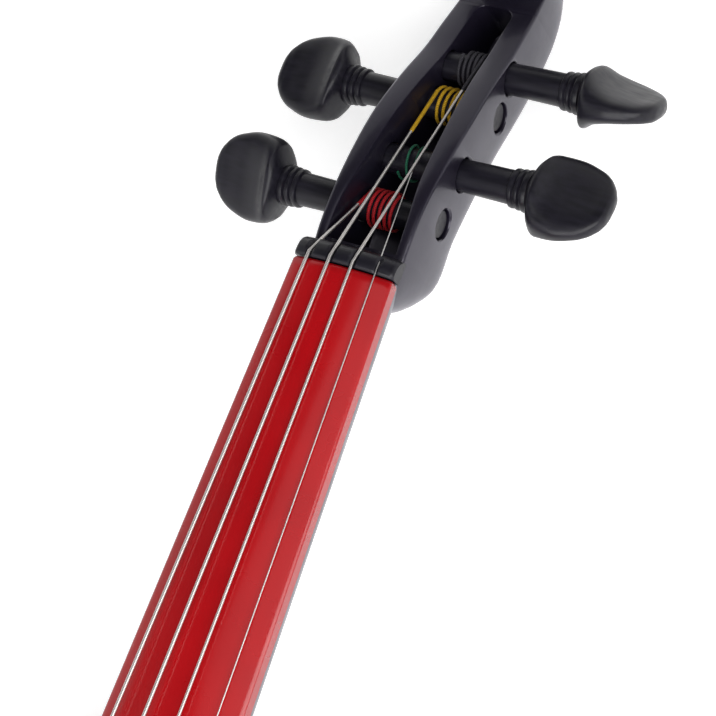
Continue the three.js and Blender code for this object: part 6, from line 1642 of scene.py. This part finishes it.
def tailpiece_ring(y):
    """One section of the tailpiece's plate: arched on top, flat underneath."""
    edge, end = TAILPIECE_EDGE, TAILPIECE_LENGTH
    half = spread(*TAILPIECE_HALF_WIDTHS, y / end)
    for (reach, depth), place in ((TAILPIECE_FRONT_ROUND, y), (TAILPIECE_BACK_ROUND, end - y)):
        half -= depth * (max(0, reach - place) / reach) ** 2
    inset = (max(0, TAILPIECE_END_ROUND - y) + max(0, y - end + TAILPIECE_END_ROUND)) * TAILPIECE_END_SLOPE
    top = [(x, -y, -arch(x, TAILPIECE_ARCH) - inset) for x in steps_between(half - edge, edge - half, 28)]
    side = -arch(half, TAILPIECE_ARCH)
    bottom = side - TAILPIECE_THICKNESS
    left = [
        (-half + 0.2, -y, side - 0.05 - inset), (-half, -y, side - edge), (-half, -y, bottom + edge),
        (-half + edge, -y, bottom),
    ]
    inner = half - 2 * edge
    under = [(x, -y, bottom + inset) for x in steps_between(-inner, inner, 8)]
    return [*top, *left, *under, *mirrored(left)]


def tailpiece_shape():
    """The arched plate, rounded at its corners and edges, with its slots, screw holes and gut holes."""
    tools = []
    for name in STRINGS:
        x = tail_lane(name)
        tools.append(block((x - 2.1, -15.5, -11), (x + 2.1, -2.5, 2)))
        tools.append(rod((x, -SCREW_ALONG, -11), (x, -SCREW_ALONG, 2), 1.8))
    tools += [rod((x, -103, GUT_HEIGHT), (x, -93, GUT_HEIGHT), 1.3) for x in (-GUT_LANE, GUT_LANE)]
    return carved(lofted([tailpiece_ring(y) for y in TAILPIECE_PLACES]), tools)


def tuner_bar_shape():
    """The cross bar under the plate, slotted for the levers, with its pin."""
    reach = tail_lane("e") + 3.2
    bar = softened(block((-reach, -14, -12.2), (reach, -8, -2.2 - arch(reach, TAILPIECE_ARCH))), 0.4)
    rooms = [block((tail_lane(n) - 1.9, -16, -13), (tail_lane(n) + 1.9, -6, 0)) for n in STRINGS]
    end = reach + 0.3
    pin = [(0, -end), (0.7, -end), (0.9, -reach), (0.9, reach), (0.7, end), (0, end)]
    return turned(pin, ACROSS, (0, -PIVOT_ALONG, -PIVOT_DEPTH), 20, carved(bar, rooms))


class VIOLIN_OT_tailpiece(bpy.types.Operator):
    """Make the arched tailpiece and the bar that carries its tuners"""

    bl_idname = "violin.tailpiece"
    bl_label = "Tailpiece"

    def execute(self, context):
        place = tail_frame()
        piece("tailpiece_plate", tailpiece_shape(), "plastic", place, "tailpiece")
        piece("tailpiece_tuner_bar", tuner_bar_shape(), "plastic", place)
        for name in STRINGS:
            x = tail_lane(name)
            middle = (x, -SCREW_ALONG, 0.2 - arch(x, TAILPIECE_ARCH))
            piece(f"tuner_ferrule_{name}", turned(FERRULE_ROWS, place=middle, steps=32), "nickel", place)
        return {"FINISHED"}


class VIOLIN_OT_tuners(bpy.types.Operator):
    """Make the four fine tuners: forked levers, screws and ribbed knobs"""

    bl_idname = "violin.tuners"
    bl_label = "Fine Tuners"

    def execute(self, context):
        for name in STRINGS:
            self.lever(name)
            self.screw(name)
        return {"FINISHED"}

    def lever(self, name):
        x, y, z, hub = tail_lane(name), -PIVOT_ALONG, -PIVOT_DEPTH, LEVER_HUB
        hook, top = BALL_HEIGHT - arch(x, TAILPIECE_ARCH), z + 1
        tip = hook + 1.4
        outline = [
            (LEVER_FRONT, tip), (LEVER_BACK, tip), (LEVER_BACK, z + hub), (y - hub, z + hub), (y - hub, top),
            (LEVER_TAIL, top), (LEVER_TAIL, top - 2), (y - hub / 2, z - hub), (y + hub / 2, z - hub),
            (LEVER_FRONT, z + hub / 2),
        ]
        shape = softened(prism(outline, x - 1.6, x + 1.6, SIDEWAYS), 0.35)
        fork = block((x - 0.65, -22, hook - 1.4), (x + 0.65, 1, hook + 3))
        shape = carved(shape, [rod((x - 4, y, z), (x + 4, y, z), 1.2), fork])
        node = f"tuner_lever_{name}"
        piece(f"{node}_forked", shape, "nickel", tail_frame(), node, node)

    def screw(self, name):
        x = tail_lane(name)
        low, high = -PIVOT_DEPTH + 1.4, 4.3 - arch(x, TAILPIECE_ARCH)
        rows = [
            (0, low), (0.9, low + 0.1), (1.2, low + 0.5), *thread(low + 0.75, high - 0.6, 0.5, 1.5, 1.22),
            (1.5, high - 0.3), (1.5, high), (0, high),
        ]
        shape = turned(rows, place=(x, -SCREW_ALONG, 0), steps=24)
        node = f"tuner_stem_{name}"
        piece(f"{node}_threaded", shape, "nickel", tail_frame(), node, node)
        base = high + 0.3
        rows = [(r, h + base) for r, h in TUNER_KNOB_ROWS]
        grip = {"ribs": 26, "ring": 3.95, "rib": 0.3, "low": base + 0.75, "high": base + 4.15}
        node = f"tuner_knob_{name}"
        ribbed(f"{node}_ribbed", rows, (x, -SCREW_ALONG), grip, "nickel", node, tail_frame())


# Saddle, tailgut and end button

SADDLE_TOP = 50
SADDLE_ROUND = 2.6
SADDLE_ROUND_PLACES = (-172.6, -175.4)
SADDLE_HALF_WIDTH = 17
# Radius, height out of the tail's face
BUTTON_ROWS = [
    (0, -17), (3.1, -17), (3.5, -16.4), (3.5, 0.3), (4.7, 0.3), (5, 0.7), (5, 3.6), (5.1, 4.1), (5.6, 4.4),
    (6.6, 4.5), (7.25, 5),
]
GUT_LIFT = 1.3
GUT_LOOP = 6.3


class VIOLIN_OT_tail(bpy.types.Operator):
    """Make the saddle, the tailgut looped round the end button, and the button"""

    bl_idname = "violin.tail"
    bl_label = "Saddle and Tailgut"

    def execute(self, context):
        height = SADDLE_TOP - SADDLE_ROUND
        front, back = SADDLE_ROUND_PLACES
        outline = [
            (TAIL_FACE, 40.3), (-170, 40.3), (-170, height),
            *arc((front, height), SADDLE_ROUND, 0, QUARTER, 6)[1:],
            *arc((back, height), SADDLE_ROUND, QUARTER, math.pi, 6),
        ]
        saddle = prism(outline, -SADDLE_HALF_WIDTH, SADDLE_HALF_WIDTH, SIDEWAYS)
        piece("saddle_rounded", softened(saddle, 0.5, math.radians(40)), "ebony", node="saddle")
        self.gut()
        turns = steps_between(0, QUARTER, 12)[:-1]
        dome = [(7.5 * math.cos(a) ** 0.75, 6 + 6.4 * math.sin(a)) for a in turns]
        button = turned([*BUTTON_ROWS, *dome, (0, 12.4)], (0, -1, 0), (0, TAIL_FACE, BUTTON_HEIGHT), 48)
        piece("end_button_turned", button, "ebony", node="end_button")
        return {"FINISHED"}

    def gut(self):
        """The gut from one hole of the tailpiece over the saddle, round the button and back."""
        top, behind = SADDLE_TOP + GUT_LIFT, TAIL_FACE - GUT_LIFT

        def half(side):
            x, loop = side * GUT_LANE, side * GUT_LOOP
            holes = [(x, -96, GUT_HEIGHT), (x, -TAILPIECE_LENGTH - GUT_LIFT, GUT_HEIGHT)]
            return [
                *[to_whole(tail_frame(), hole) for hole in holes],
                *[Vector((x, y, top)) for y in SADDLE_ROUND_PLACES],
                Vector((x, TAIL_FACE - GUT_LIFT * 0.6, top - 1.3)), Vector((x, behind, top - 4.2)),
                Vector(((x + loop) / 2, behind, (top + BUTTON_HEIGHT) / 2)),
                Vector((loop, behind, BUTTON_HEIGHT)),
            ]

        bend = arc((0, BUTTON_HEIGHT), GUT_LOOP, math.pi, 2 * math.pi, 10)[1:-1]
        round_button = [Vector((x, behind, z)) for x, z in bend]
        route = [*half(-1), *round_button, *reversed(half(1))]
        cord("tailgut_cord", spline_through(route, 5), 1, "nylon", sides=16, node="tailgut")


# Chin rest

CHIN = {"x": -68, "y": -119.71, "base": 45, "half_width": 33, "half_length": 52}
CHIN_STEPS_ROUND = 96
CHIN_RIM_HEIGHT, CHIN_DISH_DEPTH, CHIN_LEAN = 9, 5.5, 5
CLAMP_X, CLAMP_Y = -58, -173.611
ROD_LANE = 11
# Share of the dish's size, share at which its height is taken, part of that height, drop before the part
CHIN_RIM_ROWS = [
    (0.965, 0.965, 1, -0.05), (0.983, 0.983, 1, 0.12), (0.996, 1, 1, 0.8), (1, 1, 1, 1.8),
    (0.998, 1, 0.5, 1.8), (0.985, 1, 0.22, 1.8), (0.95, 1, 0.1, 1.8), (0.88, 1, 0.02, 1.8),
    (0.78, 1, 0, 1.8),
]
BARREL_ROWS = [
    (2.1, 20), (3, 20), (3.4, 20.4), (3.4, 22), (3.1, 22.3), (3.1, 22.8), (3.4, 23.1), (3.4, 36.9),
    (3.1, 37.2), (3.1, 37.7), (3.4, 38), (3.4, 39.6), (3, 40), (2.1, 40),
]


def chin_height(share, angle):
    """Height of the dish over its base, with its outer side leaned up."""
    lean = CHIN_LEAN * share * (1 - math.cos(angle)) / 2
    return CHIN_RIM_HEIGHT - CHIN_DISH_DEPTH * (1 - share * share) + lean


class VIOLIN_OT_chin_rest(bpy.types.Operator):
    """Make the dished chin rest with its cork feet, clamp and turned barrels"""

    bl_idname = "violin.chin_rest"
    bl_label = "Chin Rest"

    def execute(self, context):
        x, y = CLAMP_X, CLAMP_Y
        piece("chin_rest_dish", self.dish(), "ebony", node="chin_rest_plate")
        foot = block((x - 12, y + 4.6, 35), (x + 12, y + 20.6, 47))
        piece("chin_rest_foot", softened(foot, 1.2), "ebony")
        pad = block((x - 12, y + 4.6, 33.05), (x + 12, y + 20.6, 34.95))
        piece("chin_rest_foot_cork", softened(pad, 0.4), "cork")
        # The plate under the dish that the rods screw into, with the rods' upper ends
        plate = softened(block((x - 15, y - 3.4, 43.5), (x + 15, y + 21, 46.5)), 1)
        rows = [(0, 33), (1.5, 33.1), *thread(33.4, 42.6, 0.7, 1.8, 1.5), (1.8, 43), (1.8, 44), (0, 44)]
        piece("chin_rest_tongue", self.with_rods(plate, rows), "nickel")
        node = "chin_rest_clamp"
        jaw = softened(block((x - 14.4, y - 3.4, 9.7), (x + 14.4, y + 20, 12)), 0.9)
        rows = [(0, 11), (1.8, 11), (1.8, 17.4), *thread(17.7, 26.4, 0.7, 1.5, 1.8), (1.5, 26.9), (0, 27)]
        piece("chin_rest_clamp_jaw", self.with_rods(jaw, rows), "nickel", node=node, body=node)
        pad = block((x - 14, y + 4.4, 12), (x + 14, y + 19.6, 12.95))
        piece("chin_rest_clamp_cork", softened(pad, 0.3), "cork", body=node)
        self.barrel("chin_rest_barrel_1", x - ROD_LANE, y)
        self.barrel("chin_rest_barrel_2", x + ROD_LANE, y)
        return {"FINISHED"}

    def dish(self):
        shape = bmesh.new()
        rows = []
        inner_rows = [(share, share, 1, 0) for share in steps_between(0.06, 0.94, 22)]
        for share, taken, part, drop in (*inner_rows, *CHIN_RIM_ROWS):
            ring = []
            for i in range(CHIN_STEPS_ROUND):
                angle = 2 * math.pi * i / CHIN_STEPS_ROUND
                x = CHIN["x"] + share * CHIN["half_width"] * math.cos(angle)
                y = CHIN["y"] + share * CHIN["half_length"] * math.sin(angle)
                z = CHIN["base"] + part * (chin_height(taken, angle) - drop)
                ring.append(shape.verts.new((x, y, z)))
            rows.append(ring)
        joined(shape, rows)
        middle = shape.verts.new((CHIN["x"], CHIN["y"], CHIN["base"] + chin_height(0, 0)))
        under = shape.verts.new((CHIN["x"], CHIN["y"], CHIN["base"]))
        for i in range(CHIN_STEPS_ROUND):
            j = (i + 1) % CHIN_STEPS_ROUND
            shape.faces.new((middle, rows[0][j], rows[0][i]))
            shape.faces.new((under, rows[-1][i], rows[-1][j]))
        return shape

    def with_rods(self, shape, rows):
        """Adds a threaded rod at either side of the clamp."""
        for side in (-1, 1):
            turned(rows, place=(CLAMP_X + side * ROD_LANE, CLAMP_Y, 0), steps=24, shape=shape)
        return shape

    def barrel(self, node, x, y):
        tools = [rod((x - 5, y, 30), (x + 5, y, 30), 0.9, 20), rod((x, y - 5, 30), (x, y + 5, 30), 0.9, 20)]
        shape = carved(turned(BARREL_ROWS, place=(x, y, 0)), tools)
        piece(f"{node}_turned", shape, "nickel", node=node, body=node)


# Controls on the top, sockets on the tail end

LENS_RADIUS = 1.5
LENS_RIM_ROWS = [(1.6, 43.9), (2.7, 43.9), (2.7, 44.1), (2.4, 44.4), (1.75, 44.4), (1.6, 44.2)]
WASHER_ROWS = [(2.3, 44.05), (5.4, 44.05), (5.5, 44.2), (5.5, 44.5), (5.3, 44.65), (2.3, 44.65)]
KNOB_BASE, KNOB_HEIGHT, KNOB_SHAFT = 45.4, 11, 2.5
# How far in from the rim, height over the base
KNOB_RIM_ROWS = [
    (0.4, 0), (0, 0.35), (0, 1.6), (0.5, 1.95), (0.75, 2.3), (1.15, 9.5), (1.5, 10.5), (2.2, 10.92),
    (2.7, 11), (3.1, 10.75),
]
# Radius, height over the base
KNOB_MIDDLE_ROWS = [(1.2, 10.55), (0, 10.55), (0, 7.9), (KNOB_SHAFT, 7.9)]


class VIOLIN_OT_controls(bpy.types.Operator):
    """Make the knobs, their washers, the power switch and its light"""

    bl_idname = "violin.controls"
    bl_label = "Controls"

    def execute(self, context):
        radius = mm(context.scene.violin_body.knob_radius)
        for name, y in KNOB_PLACES.items():
            self.knob(name, y, radius)
        self.switch(CONTROL_X, SWITCH_PLACE)
        dome = arc((0, CORE_TOP), LENS_RADIUS, 0, QUARTER, 8)[:-1]
        rows = [(0, 36.5), (LENS_RADIUS, 36.5), *dome, (0, CORE_TOP + LENS_RADIUS)]
        place = (CONTROL_X, LED_PLACE, 0)
        piece("power_led_dome", turned(rows, place=place, steps=32), "lens", node="power_led")
        piece("power_led_rim", turned(LENS_RIM_ROWS, place=place, steps=32), "nickel")
        return {"FINISHED"}

    def knob(self, name, y, radius):
        x, base, top = CONTROL_X, KNOB_BASE, KNOB_BASE + KNOB_HEIGHT
        rows = [(KNOB_SHAFT, 0), *[(radius - inset, h) for inset, h in KNOB_RIM_ROWS], *KNOB_MIDDLE_ROWS]
        rows = [(r, base + h) for r, h in rows]
        groove = block((x - 0.4, y + 1, top - 0.85), (x + 0.4, y + radius + 1, top + 1))
        grip = {"ribs": 28, "ring": radius - 0.95, "rib": 0.36, "low": base + 2.5, "high": top - 1.2}
        node = f"{name}_knob"
        ribbed(f"{node}_ribbed", rows, (x, y), grip, "plastic", node, tools=[groove])
        line = block((x - 0.34, y + 1.1, top - 0.84), (x + 0.34, y + radius - 1.5, top - 0.36))
        piece(f"{node}_line", softened(line, 0.08), "paint", body=node)
        piece(f"{name}_washer", turned(WASHER_ROWS, place=(x, y, 0)), "nickel")

    def switch(self, x, y):
        tower = softened(centred(x, y, 2.2, 4.8, 36, CORE_TOP), 0.25)
        tower = carved(tower, [centred(x, y, 1.3, 3.3, 41.7, 45)])
        piece("power_switch_tower", tower, "plastic", node="power_switch")
        piece("power_switch_case", softened(centred(x, y, 3, 6, 30.7, 36.7), 0.3), "plastic")
        plate = softened(centred(x, y, 4.4, 7.4, 44.02, 44.6), 0.25)
        piece("power_switch_plate", carved(plate, [centred(x, y, 1.6, 3.7, 43, 45)]), "nickel")
        slider = softened(block((x - 1, y - 3, 42), (x + 1, y, 46)), 0.2)
        grooves = [block((x - 2, y - 2.5 + 0.8 * k, 45.6), (x + 2, y - 2.2 + 0.8 * k, 47)) for k in range(3)]
        node = "switch_slider"
        piece(f"{node}_ridged", carved(slider, grooves), "plastic", node=node, body=node)


# Radius, height into the tail
SLEEVE_ROWS = [
    (3.5, -2.4), (3.7, -2.6), (5.2, -2.6), (5.5, -2.3),
    *[(5.5 - 0.25 * (k % 2), -2.2 + 0.3 * k) for k in range(8)],
    (5.5, 0.3), (5.5, 29.7), (0, 29.7), (0, 27.4), (3.5, 27.4),
]
JACK_WASHER_ROWS = [(5.65, -0.85), (8.6, -0.85), (8.8, -0.65), (8.8, -0.25), (8.6, -0.05), (5.65, -0.05)]
HEADPHONE_ROWS = [
    (1.8, -1.5), (2, -1.7), (4.9, -1.7), (5.3, -1.5), (5.4, -1.2), (5.4, -0.3), (4, -0.3), (4, 25.7),
    (0, 25.7), (0, 24.6), (1.8, 24.6),
]


class VIOLIN_OT_sockets(bpy.types.Operator):
    """Make the output socket with its nut and washer, and the headphone socket"""

    bl_idname = "violin.sockets"
    bl_label = "Sockets"

    def execute(self, context):
        x, z = SOCKET_X, SOCKET_HEIGHT
        place = (x, TAIL_FACE, z)
        sleeve = turned(SLEEVE_ROWS, ALONG, place, 48)
        piece("output_jack_sleeve", sleeve, "nickel", node="output_jack")
        hexagon = arc((x, z), 8, 0, 2 * math.pi, 6)[:-1]
        nut = softened(lofted([[(a, y, b) for a, b in hexagon] for y in (-180.3, -178.9)]), 0.3)
        nut = carved(nut, [rod((x, -182, z), (x, -177, z), 5.6, 48)])
        piece("jack_nut_bevelled", nut, "nickel", node="jack_nut")
        piece("jack_washer", turned(JACK_WASHER_ROWS, ALONG, place, 48), "nickel")
        socket = turned(HEADPHONE_ROWS, ALONG, (-x, TAIL_FACE, z), 48)
        piece("headphone_jack_ring", socket, "plastic", node="headphone_jack")
        return {"FINISHED"}


COVER_SCREW_ROWS = [
    (0, 0.3), (2.1, 0.3), (2.4, 0.5), (2.4, 1.1), (1.3, 1.1), (1.3, 2.4), *thread(2.6, 10.4, 0.8, 1.3, 1.05),
    (0.6, 11), (0, 11.3),
]
KNUCKLE_ROWS = [(0, -19), (1.4, -19), (1.7, -18.7), (1.7, 18.7), (1.4, 19), (0, 19)]
HINGE_PIN_ROWS = [(0, -21.4), (0.6, -21.4), (0.8, -21.2), (0.8, 21.2), (0.6, 21.4), (0, 21.4)]


class VIOLIN_OT_covers(bpy.types.Operator):
    """Make the electronics cover with its screws, and the battery door"""

    bl_idname = "violin.covers"
    bl_label = "Covers"

    def execute(self, context):
        plate = softened(block((-38, -162, 0.3), (38, -75.5, 2.3)), 0.45)
        heads = [rod((x, y, -1), (x, y, 1.4), 2.7, 32) for x, y in SCREW_PLACES]
        holes = [rod((x, y, -1), (x, y, 4), 1.6, 24) for x, y in SCREW_PLACES]
        cover = carved(plate, [*heads, *holes])
        piece("electronics_cover_plate", cover, "plastic", node="electronics_cover")
        for i, (x, y) in enumerate(SCREW_PLACES):
            blank = turned(COVER_SCREW_ROWS, place=(x, y, 0), steps=32)
            cross = [centred(x, y, 1.45, 0.35, -1, 0.85), centred(x, y, 0.35, 1.45, -1.1, 0.86)]
            node = f"cover_screw_{i + 1}"
            piece(f"{node}_crossed", carved(blank, cross), "steel", node=node)
        self.door()
        return {"FINISHED"}

    def door(self):
        plate = softened(block((-19, HINGE_PLACE[1], 0.3), (19, -6, 2.3)), 0.45)
        grooves = [block((-8, -14 + 1.6 * k, -1), (8, -13.2 + 1.6 * k, 0.75)) for k in range(4)]
        shape = carved(plate, grooves)
        turned(KNUCKLE_ROWS, ACROSS, HINGE_PLACE, 28, shape)
        turned(HINGE_PIN_ROWS, ACROSS, HINGE_PLACE, 20, shape)
        piece("battery_door_hinged", shape, "plastic", node="battery_door", body="battery_door")


# Across, along and height over the core's top: from the pickup to the top, then to the hole and down it
LEAD_START_ROWS = [
    (23.4, -17.408, 1.7), (25.6, -17.608, 1.5), (27.6, -20.008, 1.2), (28, -26.008, 1.1),
]
LEAD_END_ROWS = [
    (20, -84, 1.1), (19.1, -89.6, 1.1), (19, -91.9, 1), (19, -92.9, 0.1), (19, -93, -1.5), (19, -93, -6),
    (18.6, -93.4, -12), (17, -95, -18), (15, -97, -23), (14.6, -97.4, -25.2),
]
LEAD_RADIUS = 0.8


class VIOLIN_OT_lead(bpy.types.Operator):
    """Run the pickup's lead along the core's top and down its hole"""

    bl_idname = "violin.lead"
    bl_label = "Pickup Lead"

    def execute(self, context):
        near, far = LEAD_START_ROWS[-1], LEAD_END_ROWS[0]
        between = [tuple(spread(a, b, share) for a, b in zip(near, far)) for share in (0.3, 0.6)]
        rows = [*LEAD_START_ROWS, *between, *LEAD_END_ROWS]
        points = spline_through([(x, y, CORE_TOP + z) for x, y, z in rows], 5)
        cord("pickup_lead_cable", points, LEAD_RADIUS, "nylon", sides=14, node="pickup_lead")
        for i, share in ((1, 0.25), (2, 0.75)):
            self.clip(i, spread(near[0], far[0], share), spread(near[1], far[1], share))
        return {"FINISHED"}

    def clip(self, i, x, y):
        """A moulded saddle clip over the lead."""
        inner = arc((0, 1.1), 1, 0, math.pi, 12)
        outer = arc((0, 1.1), 1.5, math.pi, 0, 12)
        loop = [
            (2.8, 0), (1, 0), *inner, (-1, 0), (-2.8, 0), (-2.8, 0.5), (-1.5, 0.5), *outer, (1.5, 0.5),
            (2.8, 0.5),
        ]
        shape = lofted([[(x + a, y + b, CORE_TOP + 0.03 + z) for a, z in loop] for b in (-2, 2)])
        piece(f"lead_clip_{i}", softened(shape, 0.12, math.radians(40)), "plastic")


# The fittings inside the bays keep their own shapes and take a finish
INNER_FINISHES = {
    "circuit_board": "board", "volume_pot": "steel", "tone_pot": "steel", "battery": "jacket",
    "battery_snap": "plastic",
}


class VIOLIN_OT_inner_finishes(bpy.types.Operator):
    """Give the parts inside the bays their finishes"""

    bl_idname = "violin.inner_finishes"
    bl_label = "Inner Finishes"

    def execute(self, context):
        for node, look in INNER_FINISHES.items():
            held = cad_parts[node]
            if not held.material_slots:
                held.data.materials.append(surface(look))
            for slot in held.material_slots:
                slot.material = surface(look)
        return {"FINISHED"}


# The stage: floor, backdrop, lamps and camera, in metres

FLOOR_RADIUS = 5.0
FLOOR_WALL_TOP = 3.2
FLOOR_STEPS = 96
# A little under the back, so that the two faces never share a plane
FLOOR_LEVEL = -0.0002
FLOOR_CARD = linear(0xE8E8E8)
LAMP_AIM = Vector((0, 0.2, 0.03))
# Name, place, size, power
LAMPS = [
    ("key", (1.3, -0.2, 1.35), 1.6, 34), ("fill", (-1.3, -0.9, 1.2), 2.2, 7),
    ("front", (0.4, -1.6, 1.4), 1.6, 32), ("top", (0.15, 0.55, 1.7), 0.9, 1.6),
]
CAMERA_LENS = 100.56
CAMERA_PLACE = (0.18606, 0.24453, 0.42389)
CAMERA_TURN = Quaternion((0.962544, 0.089938, 0.205513, 0.152262))
CARD_LIFT = 0.6
SKY_LIGHT = 0.08


class VIOLIN_OT_stage(bpy.types.Operator):
    """Set up the pale floor, the backdrop, the soft lamps and the camera"""

    bl_idname = "violin.stage"
    bl_label = "Stage"

    def execute(self, context):
        self.floor()
        self.lamps()
        self.world(context.scene)
        data = bpy.data.cameras.new("camera")
        data.sensor_width = 36
        data.lens = CAMERA_LENS
        data.clip_start, data.clip_end = 0.01, 50
        camera = linked("camera", data)
        camera.location = CAMERA_PLACE
        camera.rotation_mode = "QUATERNION"
        camera.rotation_quaternion = CAMERA_TURN
        context.scene.camera = camera
        context.scene.view_settings.view_transform = "Standard"
        return {"FINISHED"}

    def floor(self):
        """A disc that rounds up into a wall."""
        edge, low = FLOOR_RADIUS - 1, FLOOR_LEVEL
        rows = [(0.02, low), (0.6, low), (2, low), (edge, low)]
        rows += arc((edge, low + 1), 1, -QUARTER, 0, 8)[1:]
        rows.append((FLOOR_RADIUS, FLOOR_WALL_TOP))
        shape = bmesh.new()
        rings = []
        for r, z in rows:
            around = arc((0, 0), r, 0, 2 * math.pi, FLOOR_STEPS)[:-1]
            rings.append([shape.verts.new((x, y, z)) for x, y in around])
        joined(shape, rings)
        shape.faces.new(rings[0][::-1])
        bmesh.ops.recalc_face_normals(shape, faces=shape.faces)
        mesh = bpy.data.meshes.new("floor")
        shape.to_mesh(mesh)
        shape.free()
        for face in mesh.polygons:
            face.use_smooth = True
        made = linked("floor", mesh)
        mesh.materials.append(self.pale_card())

    def pale_card(self):
        """Matt white card. What the camera and the gloss see is lifted to white, less the object's shadow."""
        made, tree, shader = finish("white_card", FLOOR_CARD, 0.9)
        tinted(tree, shader, noise_in_mm(tree, 900), linear(0xE6E6E6), linear(0xEBEBEB))
        rays = add_node(tree, "ShaderNodeLightPath").outputs
        seen = rays["Is Camera Ray"]
        for other in ("Is Glossy Ray", "Is Transmission Ray"):
            larger = add_node(tree, "ShaderNodeMath", {0: seen, 1: rays[other]}, operation="MAXIMUM")
            seen = larger.outputs["Value"]
        lift = add_node(tree, "ShaderNodeMath", {0: seen, 1: CARD_LIFT}, operation="MULTIPLY")
        shader.inputs["Emission Color"].default_value = (1, 1, 1, 1)
        tree.links.new(lift.outputs["Value"], shader.inputs["Emission Strength"])
        return made

    def lamps(self):
        for name, place, size, power in LAMPS:
            data = bpy.data.lights.new(name, "AREA")
            data.shape = "SQUARE"
            data.size = size
            data.energy = power
            lamp = linked(name, data)
            lamp.location = place
            lamp.rotation_mode = "QUATERNION"
            lamp.rotation_quaternion = (LAMP_AIM - Vector(place)).to_track_quat("-Z", "Y")

    def world(self, scene):
        sky = bpy.data.worlds.new("studio")
        sky.use_nodes = True
        tree = sky.node_tree
        tree.nodes.clear()
        rays = add_node(tree, "ShaderNodeLightPath")
        settings = {"Value": rays.outputs["Is Camera Ray"], "From Min": 0.0, "From Max": 1.0}
        settings |= {"To Min": SKY_LIGHT, "To Max": 1.0}
        strength = add_node(tree, "ShaderNodeMapRange", settings)
        settings = {"Color": (1, 1, 1, 1), "Strength": strength.outputs["Result"]}
        light = add_node(tree, "ShaderNodeBackground", settings)
        add_node(tree, "ShaderNodeOutputWorld", {"Surface": light.outputs["Background"]})
        scene.world = sky


OPERATORS = [
    VIOLIN_OT_stage, VIOLIN_OT_neck, VIOLIN_OT_fingerboard, VIOLIN_OT_nut, VIOLIN_OT_pegs,
    VIOLIN_OT_windings, VIOLIN_OT_strings, VIOLIN_OT_bridge, VIOLIN_OT_core, VIOLIN_OT_rails,
    VIOLIN_OT_tailpiece, VIOLIN_OT_tuners, VIOLIN_OT_tail, VIOLIN_OT_chin_rest, VIOLIN_OT_controls,
    VIOLIN_OT_sockets, VIOLIN_OT_covers, VIOLIN_OT_lead, VIOLIN_OT_inner_finishes,
]


class VIOLIN_PT_panel(bpy.types.Panel):
    """Sizes, colours and pieces of the violin"""

    bl_label = "Violin"
    bl_idname = "VIOLIN_PT_panel"
    bl_space_type = "VIEW_3D"
    bl_region_type = "UI"
    bl_category = "Violin"

    def draw(self, context):
        for group in (context.scene.violin_neck, context.scene.violin_body, context.scene.violin_colours):
            column = self.layout.column(align=True)
            for name in group.bl_rna.properties.keys():
                if name not in ("rna_type", "name"):
                    column.prop(group, name)
        for operator in OPERATORS:
            self.layout.operator(operator.bl_idname)


CLASSES = [ViolinNeckSizes, ViolinBodySizes, ViolinColours, *OPERATORS, VIOLIN_PT_panel]


def register():
    for made in CLASSES:
        bpy.utils.register_class(made)
    bpy.types.Scene.violin_neck = PointerProperty(type=ViolinNeckSizes)
    bpy.types.Scene.violin_body = PointerProperty(type=ViolinBodySizes)
    bpy.types.Scene.violin_colours = PointerProperty(type=ViolinColours)


def unregister():
    del bpy.types.Scene.violin_colours
    del bpy.types.Scene.violin_body
    del bpy.types.Scene.violin_neck
    for made in reversed(CLASSES):
        bpy.utils.unregister_class(made)


def main():
    register()
    for operator in OPERATORS:
        getattr(bpy.ops.violin, operator.bl_idname.split(".")[1])()


if __name__ == "__main__":
    main()
